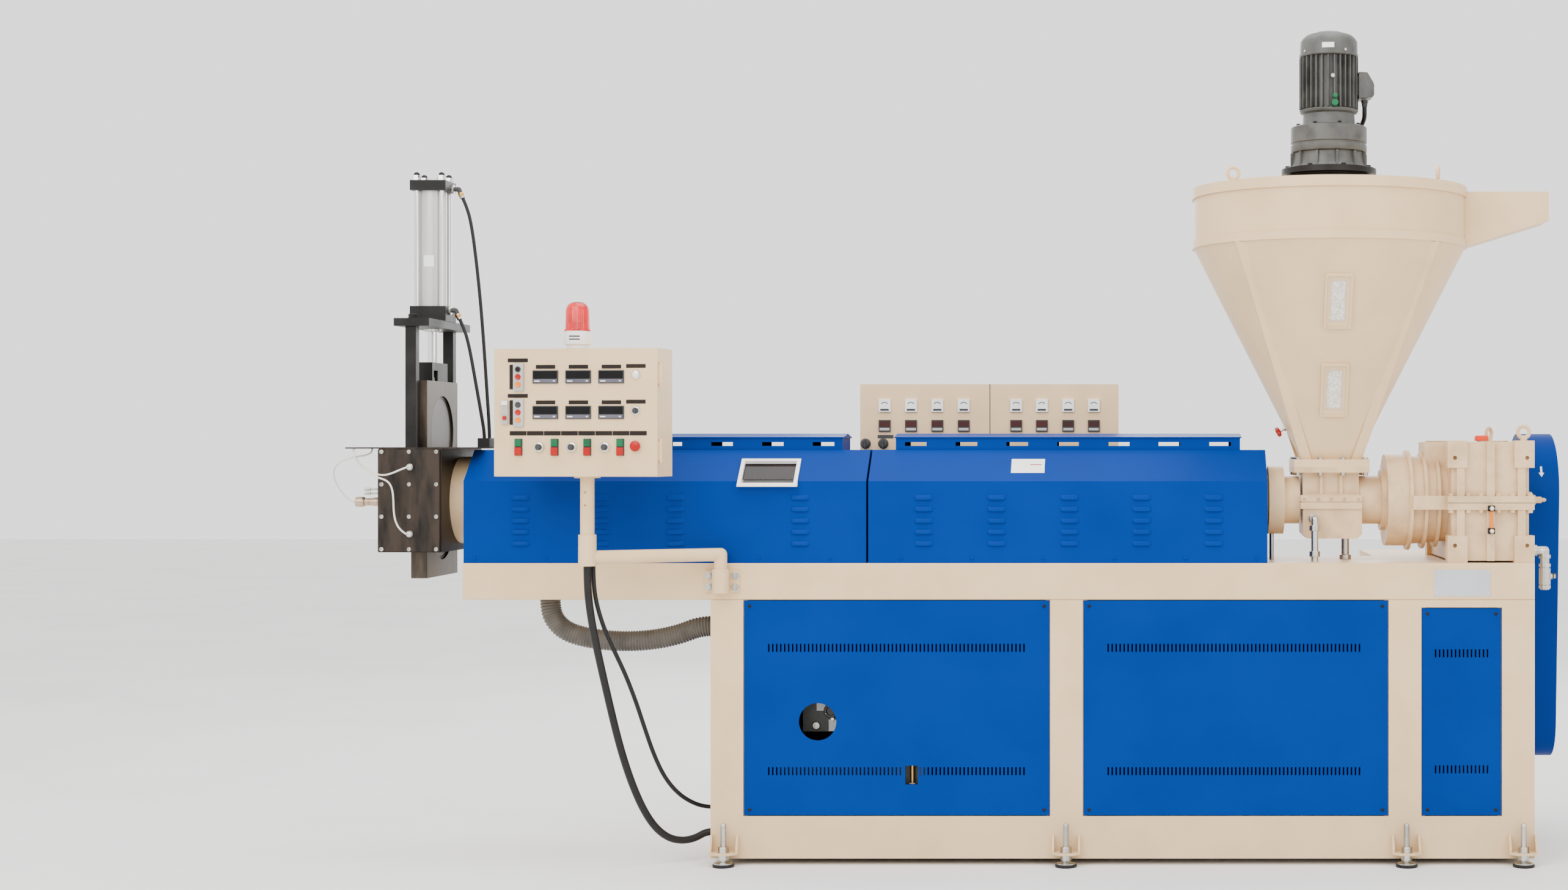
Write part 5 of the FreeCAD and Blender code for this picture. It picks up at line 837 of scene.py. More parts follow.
@dataclass
class BarrelCovers:
    """Sheet hoods over the barrel, with louvres, a sight window and a bare label."""

    front: float = 5.0
    back: float = 575.0
    louvre_rows: tuple[float, ...] = (1401.0, 1357.0, 1313.0, 1270.0, 1226.0)
    left_columns: tuple[float, ...] = (-726.0, -422.0, -136.0, 340.0)
    right_columns: tuple[float, ...] = (811.0, 1089.0, 1367.0, 1642.0, 1917.0)
    louvre: Point = (72.0, 8.0, 21.0)
    shoulder: tuple[float, float] = (1462.0, 1581.0)
    shoulder_inset: float = 150.0
    window_x: tuple[float, float] = (117.0, 317.0)
    window_up: tuple[float, float] = (19.5, 113.5)
    pane_depth: float = 7.0

    def build(self) -> None:
        """Build and dress the hoods."""
        dress(BLUE, "barrel_cover_left", "barrel_cover_right", "vent_caps")
        dress(CREAM, "barrel")
        dress(WHITE, "cover_window")
        self.louvres()
        self.window()
        self.seams()
        slope = self.slope(1206.0)
        Surface().box((128.0, 84.0, 0.8), Place(slope.of(spot(0.0, 92.0, 0.4)), slope.a, slope.b,
                                                slope.c)
                      ).piece("hood_label", WHITE)
        Surface().box((44.0, 5.0, 0.6), Place(slope.of(spot(30.0, 100.0, 1.0)), slope.a, slope.b,
                                              slope.c)
                      ).piece("hood_label_stripe", RED)

    def slope(self, x: float) -> Place:
        """The front shoulder's own axes: a along, b up the slope, c out of it.

        Args:
            x: Where along the hood.

        Returns:
            The axes, seated at the shoulder's foot.
        """
        rise = self.shoulder[1] - self.shoulder[0]
        up = unit(spot(0.0, self.shoulder_inset, rise))
        return Place(spot(x, self.front, self.shoulder[0]), X, up, np.cross(X, up))

    def louvres(self) -> None:
        """Pressed louvres: cross-sections in y and z that swell along x by the root of 1 - s squared."""
        length, out, height = self.louvre
        section = np.array([(0.0, 0.5), (0.32, 0.42), (0.68, 0.2), (0.93, -0.12), (1.0, -0.38), (0.97, -0.46),
                            (0.86, -0.5), (0.4, -0.46), (0.0, -0.44)])
        s = np.linspace(-1.0, 1.0, 15)
        swell = np.maximum(1.0 - np.abs(s) ** 4, 0.0) ** 0.5
        shape = np.stack([np.broadcast_to(s[:, None] * length / 2.0, (15, 9)),
                          -section[None, :, 0] * out * swell[:, None],
                          section[None, :, 1] * height * (0.6 + 0.4 * swell[:, None])], axis=-1)
        columns = self.left_columns + self.right_columns
        front = Surface().grid(shape).repeated(offsets(columns, [self.front], self.louvre_rows))
        mirrored = shape * spot(1.0, -1.0, 1.0)
        rear = Surface().grid(mirrored).repeated(offsets(columns, [self.back], self.louvre_rows))
        front.join(rear).piece("hood_louvres", BLUE)

    def window(self) -> None:
        """Dark brown sheet let into the window's frame, just under its face: the window's glass, with the
        shade of the hollow behind it painted in.
        """
        slope = self.slope(sum(self.window_x) / 2.0)
        width = self.window_x[1] - self.window_x[0] - 1.0
        low, high = self.window_up
        middle = slope.of(spot(0.0, (low + high) / 2.0, -self.pane_depth))
        Surface().box((width, high - low, 2.0), Place(middle, slope.a, slope.b,
                                                      slope.c)).piece("window_hollow_shade", HOLLOW_SHADE)

    def seams(self) -> None:
        """Screws along the hoods' foot."""
        screws = Surface()
        for x in np.linspace(-900.0, 2080.0, 12):
            for y, out in ((self.front, -Y), (self.back, Y)):
                screws.turned([(0.0, 7.0), (2.0, 6.6), (3.6, 4.0), (4.0, 0.0)],
                              Place(spot(x, y, 1168.0), X, np.cross(out, X), out), 14)
        screws.piece("hood_screws", BLUE)


# ---------------------------------------------------------------- screen changer
@dataclass
class ScreenChanger:
    """Hydraulic slide-plate screen changer at the outlet."""

    columns: tuple[float, ...] = (-1253.0, -1148.6, -1045.0)
    rows: tuple[float, ...] = (1574.0, 1450.0, 1327.0, 1203.0)
    front: float = 0.0
    back: float = 580.0
    left: float = -1272.0
    slide_face: float = -1107.0
    screens: tuple[float, ...] = (1293.0, 1650.0)
    cylinder_x: float = -1145.0
    tie_half: float = 48.5
    tie_top: float = 2655.0

    def build(self) -> None:
        """Build and dress the changer."""
        dress(OILY, "changer_block", "changer_front_plate", "changer_top_plate")
        dress(PLATE, "slide_plate")
        dress(BLACKED, "guide_columns", "cylinder_mount_plate", "rod_coupling", "cylinder_caps", "hose_guide")
        dress(TUBE_GREY, "cylinder_tube")
        dress(CHROME, "tie_rods", "piston_rod")
        dress(BLACK, "hose_fittings")
        self.bolts()
        self.slide()
        self.cylinder()
        self.sensors()

    def bolts(self) -> None:
        """Cap screws on both heater plates, and round the melt outlet."""
        screws = Surface()
        for place in offsets(self.columns, [self.front], self.rows):
            screws.join(cap_screw(Place(place, X, Z, -Y), 8.0, 6.0))
        for place in offsets(self.columns, [self.back], self.rows):
            screws.join(cap_screw(Place(place, X, -Z, Y), 8.0, 6.0))
        for angle in np.radians(np.arange(0.0, 360.0, 45.0)):
            seat = spot(self.left, AXIS_Y + 84.0 * math.cos(angle), AXIS_Z + 84.0 * math.sin(angle))
            screws.join(cap_screw(Place(seat, Y, -Z, -X), 9.0, 8.0))
        screws.piece("changer_screws", STEEL)

    def slide(self) -> None:
        """Breaker plate with its screen in each recess, and the coupling's bolt."""
        sieve, rings = Surface(), Surface()
        for z in self.screens:
            seat = Place(spot(self.slide_face - 13.6, AXIS_Y, z), Y, Z, X)
            sieve.turned([(0.0, 133.0), (4.5, 133.0), (5.2, 60.0), (5.4, 0.0)], seat, 64)
            rings.turned([(0.0, 133.2), (6.0, 133.2), (7.0, 134.2), (7.0, 140.0), (6.0, 141.6), (0.0, 141.6)],
                         seat, 64)
        sieve.piece("filter_screens", SIEVE, "screen_slide")
        rings.piece("screen_rings", PLATE, "screen_slide")
        bolt = hex_bolt(Place(spot(-1135.5, 235.0, 1849.0), X, Y, Z), 22.0, 15.0, 15.0)
        bolt.turned([(15.0, 6.0), (27.0, 6.0), (28.0, 5.0)], Place(spot(-1135.5, 235.0, 1849.0)), 16)
        bolt.piece("coupling_bolt", STEEL, "screen_slide")

    def cylinder(self) -> None:
        """Dome nuts, rod wiper, ports, bare label and the elbows' bright rings."""
        domes = Surface()
        half = self.tie_half
        dome = np.concatenate([[(0.0, 12.0)], [(2.0 + 11.0 * math.sin(t), 12.0 * math.cos(t))
                                               for t in np.linspace(0.0, math.pi / 2, 7)]])
        for place in offsets((self.cylinder_x - half, self.cylinder_x + half), (AXIS_Y - half, AXIS_Y + half),
                             [self.tie_top]):
            domes.turned(dome, Place(place), 20)
        domes.piece("tie_rod_domes", BLACKED)
        wiper = Surface().turned([(0.0, 20.3), (0.0, 34.0), (8.0, 32.0), (10.0, 28.0), (10.0, 20.3)],
                                 Place(spot(self.cylinder_x, AXIS_Y, 2054.8), X, -Y, -Z), 32)
        wiper.piece("rod_wiper", STEEL)
        turn = np.radians(np.linspace(-112.0, -70.0, 10))
        rows = [np.stack([self.cylinder_x + r * np.cos(turn), AXIS_Y + r * np.sin(turn), np.full(10, z)],
                         axis=1)
                for r, z in ((54.1, 2298.0), (55.0, 2298.0), (55.0, 2342.0), (54.1, 2342.0))]
        label = Surface().grid(np.stack(rows, axis=1))
        label.piece("cylinder_label", WHITE)
        rings, brass = Surface(), Surface()
        for y, z in ((310.0, 2608.0), (270.0, 2128.0)):
            face = self.cylinder_x + 70.0
            rings.turned([(0.0, 18.0), (7.0, 18.0), (8.5, 16.5)], Place(spot(face, y, z), Y, Z, X), 24)
            along = unit(spot(16.0, 0.0, -36.0))
            across = np.cross(Y, along)
            brass.turned([(0.0, 10.5), (3.0, 11.5), (12.0, 11.5), (15.0, 9.8)],
                         Place(spot(face + 32.0, y, z - 14.0), Y, across, along), 24)
            rings.join(hex_bolt(Place(spot(face + 37.0, y, z - 25.0), Y, across, along), 19.0, 12.0))
        rings.piece("hose_fitting_rings", STEEL, bevel=0.4)
        brass.piece("hose_fitting_brass", BRASS)
        nuts = Surface()
        for x, y in ((-1150.0, 48.0), (-1150.0, 532.0)):
            nuts.join(hex_bolt(Place(spot(x, y, 2085.0)), 30.0, 18.0, 19.0))
        nuts.piece("mount_nuts", BLACKED, bevel=0.6)

    def sensors(self) -> None:
        """Melt sensor, heater terminals on both leads' ends and the two pins beside it."""
        seat = Place(spot(self.left, AXIS_Y - 140.0, AXIS_Z - 4.0), Y, -Z, -X)
        probe = [(38, 13), (38, 17), (60, 17), (62, 14.5), (92, 15), (98, 19), (104, 20), (128, 19),
                 (131, 12),
                 (132, 6)]
        Surface().turned(probe, seat, 32).piece("melt_sensor", TINTED, instead=("melt_sensors",))
        nut = Surface().grid(seat.of(np.stack([np.concatenate([hexagon(26.0) * s, np.full((6, 1), h)], axis=1)
                                               for h, s in ((0.0, 1.0), (16.0, 1.0), (18.0, 0.9))])))
        nut.turned([(18, 9), (38, 9)], seat, 20)
        for dz in (28.0, 44.0):
            pin = Place(spot(self.left, AXIS_Y - 100.0, AXIS_Z + dz), Y, -Z, -X)
            nut.turned([(0, 8), (14, 8), (15, 4), (84, 4), (85, 6), (108, 6), (110, 3)], pin, 16)
        nut.piece("sensor_pins", STEEL, bevel=0.4, instead=("melt_sensors",))
        caps, cores = Surface(), Surface()
        for z in (1516.0, 1261.0):
            seat = Place(spot(self.cylinder_x, self.front, z), X, Z, -Y)
            caps.turned([(0.0, 14.0), (9.0, 14.0), (12.0, 12.0), (12.0, 9.0)], seat, 24)
            cores.turned([(11.0, 8.6), (18.0, 8.2), (21.0, 6.0), (22.0, 4.0)], seat, 20)
        caps.piece("terminal_shells", STEEL, instead=("melt_sensors",))
        cores.piece("terminal_cores", WHITE, instead=("melt_sensors",))


# ---------------------------------------------------------------- feed throat and hopper
@dataclass
class Hopper:
    """Feed throat, square-to-round hopper, lid, chute and what is screwed to them."""

    x: float = 2380.0
    neck_half: float = 109.0
    neck_z: float = 1544.0
    shoulder_z: float = 2368.0
    radius: float = 530.0
    windows: tuple[float, ...] = (1812.0, 2142.0)
    flange_half: float = 146.0
    flange_z: tuple[float, float, float] = (1493.0, 1515.0, 1544.0)
    knob_z: float = 1665.0
    rib: tuple[float, float] = (32.0, 24.0)
    flare: tuple[float, float] = (62.0, 150.0)

    def build(self) -> None:
        """Build and dress the throat and the hopper."""
        dress(CREAM, "hopper_cone", "hopper_band", "hopper_chute", "hopper_lid")
        dress(CREAM_CAST, "feed_throat")
        dress(STEEL, "water_pipes")
        self.sight_windows()
        self.knob()
        self.flange_bolts()
        self.gussets()
        self.fill()
        self.pipe_collars()

    def face(self, z: float) -> Place:
        """The front slope's own axes: a along x, b up the slope, c out of it.

        Args:
            z: The height on the slope.

        Returns:
            The axes, seated on the cone's middle line.
        """
        share = (z - self.neck_z) / (self.shoulder_z - self.neck_z)
        up = unit(spot(0.0, self.neck_half - self.radius, self.shoulder_z - self.neck_z))
        y = AXIS_Y - self.neck_half - share * (self.radius - self.neck_half)
        return Place(spot(self.x, y, z), X, up, np.cross(X, up))

    def sight_windows(self) -> None:
        """Framed windows: a moulded rim round a pane, with pellets packed against the glass."""
        frames, glass, pellets = Surface(), Surface(), Surface()
        for z in self.windows:
            seat = self.face(z)
            outer = self.rounded(105.0, 226.0, 8.0)
            middle = self.rounded(88.0, 208.0, 6.0)
            inner = self.rounded(60.0, 168.0, 6.0)
            levels = [(outer, -2.0), (outer, 10.0), (outer * 0.975, 12.0), (middle, 12.0), (middle, 7.0),
                      (inner, 5.0), (inner, -5.0), (outer, -2.0)]
            rings = [np.concatenate([ring, np.full((len(ring), 1), h)], axis=1) for ring, h in levels]
            frames.grid(seat.of(np.stack(rings)), caps=False)
            glass.prism(self.rounded(60.0, 168.0, 6.0), 2.0,
                        Place(seat.of(spot(0, 0, 2.0)), *self.axes(seat)))
            pellets.sheet(seat.of(self.heap(60.0, 168.0)))
        frames.piece("sight_window_frames", CREAM, instead=("hopper_fittings",))
        glass.piece("sight_window_glass", CRYSTAL)
        pellets.piece("window_pellets", PELLET)

    @staticmethod
    def axes(place: Place) -> tuple[Array, Array, Array]:
        """A place's three axes."""
        return place.a, place.b, place.c

    @staticmethod
    def rounded(width: float, height: float, corner: float) -> Array:
        """A rectangle with round corners, 6 points a corner.

        Args:
            width: Its width.
            height: Its height.
            corner: Its corners' radius.

        Returns:
            The outline's points.
        """
        w, h = width / 2.0 - corner, height / 2.0 - corner
        turns = ((w, h, 0.0), (-w, h, 90.0), (-w, -h, 180.0), (w, -h, 270.0))
        return np.concatenate([arc(corner, t, t + 90.0, 6, (a, b)) for a, b, t in turns])

    @staticmethod
    def heap(width: float, height: float) -> Array:
        """Pellets behind glass: depth ripples with a sum of sines over the pane.

        Args:
            width: The pane's width.
            height: The pane's height.

        Returns:
            The grid's points.
        """
        a, b = np.meshgrid(np.linspace(-width / 2, width / 2, 25), np.linspace(-height / 2, height / 2, 61),
                           indexing="xy")
        ripple = np.sin(a * 0.9 + 1.7 * np.sin(b * 0.31)) + np.sin(b * 0.8 + 2.1 * np.cos(a * 0.47))
        return np.stack([a, b, -3.5 + 0.9 * ripple], axis=-1)

    def knob(self) -> None:
        """Five-lobed knob: its radius swells by a cosine of five times the angle."""
        share = (self.knob_z - self.neck_z) / (self.shoulder_z - self.neck_z)
        lean = math.atan2(self.radius - self.neck_half, self.shoulder_z - self.neck_z)
        out = spot(-math.cos(lean), 0.0, -math.sin(lean))
        root = np.array([self.x - self.neck_half - share * (self.radius - self.neck_half), AXIS_Y,
                         self.knob_z])
        place = Place(root, Y, np.cross(out, Y), out)
        turn = np.arange(50) * 2.0 * np.pi / 50
        lobes = 17.5 + 2.5 * np.cos(5.0 * turn)
        levels = [(22.0, 0.55), (24.0, 0.85), (27.0, 1.0), (35.0, 1.0), (38.5, 0.86), (40.0, 0.6)]
        rings = [np.stack([s * lobes * np.cos(turn), s * lobes * np.sin(turn), np.full(50, h)], axis=1)
                 for h, s in levels]
        Surface().grid(place.of(np.stack(rings))).piece("hopper_knob", RED, instead=("hopper_fittings",))
        stud = Surface().turned([(-2.0, 5.0), (22.0, 5.0)], place, 16)
        stud.turned([(-1.0, 11.0), (5.0, 11.0), (6.0, 9.5)], place, 6)
        stud.piece("knob_stud", STEEL, instead=("hopper_fittings",))

    def flange_bolts(self) -> None:
        """Bolts and nuts through the hopper's two square flanges and the throat's split flange."""
        bolts = Surface()
        reach = self.flange_half - 15.0
        spots = [(a, b) for a in (-reach, -reach / 3, reach / 3, reach) for b in (-reach, reach)]
        spots += [(a, b) for a in (-reach, reach) for b in (-reach / 3, reach / 3)]
        for a, b in spots:
            bolts.join(hex_bolt(Place(spot(self.x + a, AXIS_Y + b, self.flange_z[2])), 19.0, 9.0, 12.0))
            bolts.join(hex_bolt(Place(spot(self.x + a, AXIS_Y + b, self.flange_z[0]), X, -Y, -Z), 19.0,
                                12.0))
        bolts.piece("hopper_flange_bolts", STEEL, bevel=0.4)
        split = Surface()
        for a in (-105.0, -50.0, 0.0, 50.0, 105.0):
            for y, out in ((AXIS_Y - 119.0, -Y), (AXIS_Y + 119.0, Y)):
                split.join(cap_screw(Place(spot(self.x + a, y, 1390.0), X, np.cross(out, X), out), 7.0,
                                     6.0))
        split.piece("throat_flange_bolts", CREAM_CAST)

    def gussets(self) -> None:
        """Flares where each corner rib meets the band: the rib's section, widening towards its top."""
        plates = Surface()
        for angle in (45.0, 135.0, 225.0, 315.0):
            out = spot(math.cos(math.radians(angle)), math.sin(math.radians(angle)), 0.0)
            side = np.cross(Z, out)
            foot = spot(self.x, AXIS_Y, self.neck_z) + out * (self.neck_half * math.sqrt(2.0) - 12.0)
            top = spot(self.x, AXIS_Y, self.shoulder_z) + out * (self.radius - 12.0)
            rise = unit(top - foot)
            rings = [top - rise * down + np.stack([side * half, out * ridge, -side * half, -out * 4.0])
                     for down, half, ridge in ((2.0, self.flare[0], self.rib[1] + 1.0),
                                               (self.flare[1], self.rib[0], self.rib[1] + 1.0))]
            plates.grid(np.stack(rings))
        plates.piece("hopper_gussets", CREAM, bevel=1.0)

    def fill(self) -> None:
        """Heap of pellets in the hopper: a low cone with ripples, radius falling with height."""
        rings = np.linspace(1.0, 0.0, 26)[:, None]
        turn = np.arange(72)[None] * 2.0 * np.pi / 72
        height = 2130.0 + 70.0 * (1.0 - rings) + 3.0 * np.sin(9.0 * turn + 14.0 * rings) * rings
        skirt = np.stack([395.0 * rings * np.cos(turn) + self.x, 395.0 * rings * np.sin(turn) + AXIS_Y,
                          height],
                         axis=-1)
        under = skirt[:1] * spot(1.0, 1.0, 0.0) + spot(0.0, 0.0, 2110.0)
        Surface().grid(np.concatenate([under, skirt])).piece("pellet_heap", PELLET)

    def pipe_collars(self) -> None:
        """Unions and nuts on the throat's water pipes."""
        collars = Surface()
        inlet = spot(2312.0, 125.0, 1313.0)
        for height in (1168.0, 1268.0):
            ring = [np.concatenate([hexagon(36.0) * s, np.full((6, 1), h)], axis=1)
                    for h, s in ((0.0, 0.92), (2.0, 1.0), (20.0, 1.0), (22.0, 0.92))]
            collars.grid(Place(spot(inlet[0], inlet[1], height)).of(np.stack(ring)))
        collars.turned([(0.0, 20.0), (8.0, 20.0), (10.0, 17.0)],
                       Place(spot(inlet[0], AXIS_Y - 109.0, inlet[2]), X, Z, -Y), 24)
        collars.turned([(0.0, 24.0), (16.0, 24.0), (18.0, 21.0)], Place(spot(2450.0, 350.0, 1150.0)),
                       24)
        collars.piece("pipe_unions", STEEL, bevel=0.6)


@dataclass
class Gearmotor:
    """Stirrer gearmotor on the hopper's lid."""

    x: float = 2380.0
    fins: int = 30
    fin_z: tuple[float, float] = (2916.0, 3122.0)
    fin_radii: tuple[float, float] = (95.0, 116.0)

    def build(self) -> None:
        """Build stool, bells, finned body, fan cover and terminal box."""
        axis = Place(spot(self.x, AXIS_Y, 0.0))
        stool = Surface().turned([(2602, 128), (2602, 186), (2612, 186), (2616, 172), (2650, 166),
                                  (2654, 150),
                                  (2660, 150), (2660, 186), (2682, 186), (2684, 182)], axis, 64)
        stool.piece("motor_stool", BLACKED, bevel=0.8, instead=("lid_gearmotor",))
        bell = [(2682, 156), (2690, 152), (2700, 146), (2744, 138), (2748, 147), (2752, 149), (2774, 149),
                (2777, 145), (2782, 145), (2785, 149), (2845, 149), (2850, 140), (2856, 106), (2862, 103),
                (2898, 101), (2904, 112), (2912, 116), (2916, 112), (2916, 95), (3122, 95), (3122, 113),
                (3126, 116), (3131, 116), (3133, 113), (3182, 112), (3196, 104), (3208, 90), (3216, 66),
                (3220, 48)]
        body = Surface().turned(bell, axis, 72)
        low, high = self.fin_z
        for angle in np.linspace(0.0, 2.0 * math.pi, self.fins, endpoint=False):
            out = spot(math.cos(angle), math.sin(angle), 0.0)
            middle = spot(self.x, AXIS_Y, (low + high) / 2.0) + out * sum(self.fin_radii) / 2.0
            body.box((self.fin_radii[1] - self.fin_radii[0], 4.0, high - low - 4.0),
                     Place(middle, out, np.cross(Z, out), Z))
        for angle in np.linspace(0.0, 2.0 * math.pi, 12, endpoint=False) + 0.13:
            out = spot(math.cos(angle), math.sin(angle), 0.0)
            middle = spot(self.x, AXIS_Y, 2716.0) + out * 146.0
            body.box((14.0, 9.0, 56.0), Place(middle, out, np.cross(Z, out), Z))
        body.piece("gearmotor_body", MOTOR, bevel=0.9, instead=("lid_gearmotor",))
        self.bolts()
        self.terminal_box()
        self.trim(axis)

    def bolts(self) -> None:
        """Bolt circles on the stool's foot, its flange and the bell."""
        bolts = Surface()
        for angle in np.radians(np.arange(15.0, 375.0, 45.0)):
            out = spot(math.cos(angle), math.sin(angle), 0.0)
            centre = spot(self.x, AXIS_Y, 0.0)
            bolts.join(hex_bolt(Place(centre + out * 178.0 + Z * 2612.0), 13.0, 7.0))
            bolts.join(hex_bolt(Place(centre + out * 170.0 + Z * 2682.0), 17.0, 9.0, 11.0))
            bolts.join(hex_bolt(Place(centre + out * 126.0 + Z * 2852.0), 13.0, 7.0))
        bolts.piece("gearmotor_bolts", BLACKED)

    def terminal_box(self) -> None:
        """Terminal box with a slanted lid, its link to the body and its gland."""
        box = Surface()
        outline = [(2494.0, 2956.0), (2546.0, 2962.0), (2552.0, 2968.0), (2552.0, 3020.0), (2528.0, 3060.0),
                   (2494.0, 3062.0)]
        box.prism(outline, 90.0, Place(spot(0.0, AXIS_Y + 45.0, 0.0), X, Z, -Y))
        box.span((2470.0, 2496.0), (AXIS_Y - 30.0, AXIS_Y + 30.0), (2970.0, 3046.0))
        box.span((2550.0, 2555.0), (AXIS_Y - 41.0, AXIS_Y + 41.0), (2970.0, 3016.0))
        box.piece("terminal_box", MOTOR, bevel=3.0, instead=("lid_gearmotor",))
        gland = Surface()
        ring = [np.concatenate([hexagon(24.0) * s, np.full((6, 1), h)], axis=1)
                for h, s in ((0.0, 1.0), (10.0, 1.0), (12.0, 0.9))]
        gland.grid(Place(spot(2521.0, AXIS_Y, 2956.0), X, -Y, -Z).of(np.stack(ring)))
        gland.turned([(12.0, 11.5), (22.0, 11.0), (27.0, 9.5)],
                     Place(spot(2521.0, AXIS_Y, 2956.0), X, -Y, -Z), 24)
        seat = Place(spot(2512.0, 454.0, 2602.0))
        gland.grid(seat.of(np.stack(ring)))
        gland.turned([(10.0, 11.5), (14.0, 11.0), (16.0, 9.5)], seat, 24)
        gland.piece("cable_glands", BLACK, bevel=0.4, instead=("lid_gearmotor",))

    def trim(self, axis: Place) -> None:
        """Screws, oil plug, green cap and the fan cover's turning mark.

        Args:
            axis: The gearmotor's own axes.
        """
        mark = Surface()
        turn = np.radians(np.linspace(-108.0, -84.0, 9))
        rows = [np.stack([self.x + r * np.cos(turn), AXIS_Y + r * np.sin(turn), np.full(9, z)], axis=1)
                for r, z in ((112.0, 3146.0), (113.6, 3146.0), (113.6, 3166.0), (112.0, 3166.0))]
        mark.grid(np.stack(rows, axis=1)).piece("fan_cover_mark", WHITE)
        plugs = Surface().turned([(0.0, 8.0), (6.0, 8.0), (8.0, 6.0)],
                                 Place(spot(self.x + 6.0, AXIS_Y - 117.0, 3035.0), X, Z, -Y), 20)
        for angle in np.radians((-150.0, -60.0, 30.0, 120.0)):
            out = spot(math.cos(angle), math.sin(angle), 0.0)
            plugs.turned([(0.0, 6.0), (3.0, 5.5), (4.5, 3.0)],
                         Place(spot(self.x, AXIS_Y, 3140.0) + out * 112.0, np.cross(Z, out), Z, out),
                         14)
        plugs.piece("fan_cover_screws", STEEL)
        cap = Surface().turned([(0.0, 13.0), (18.0, 13.0), (20.0, 11.0)],
                               Place(spot(self.x + 14.0, AXIS_Y - 112.0, 2930.0), X, Z, -Y), 24)
        cap.turned([(0.0, 9.0), (26.0, 9.0), (28.0, 7.0)],
                   Place(spot(self.x + 14.0, AXIS_Y - 112.0, 2956.0), X, Z, -Y), 24)
        cap.piece("greasing_cap", GREEN)
        grille = Surface()
        for radius in (20.0, 34.0, 48.0):
            grille.turned([(3218.6, radius), (3221.0, radius + 1.5), (3218.6, radius + 4.0)], axis, 40)
        grille.piece("fan_grille", MOTOR)


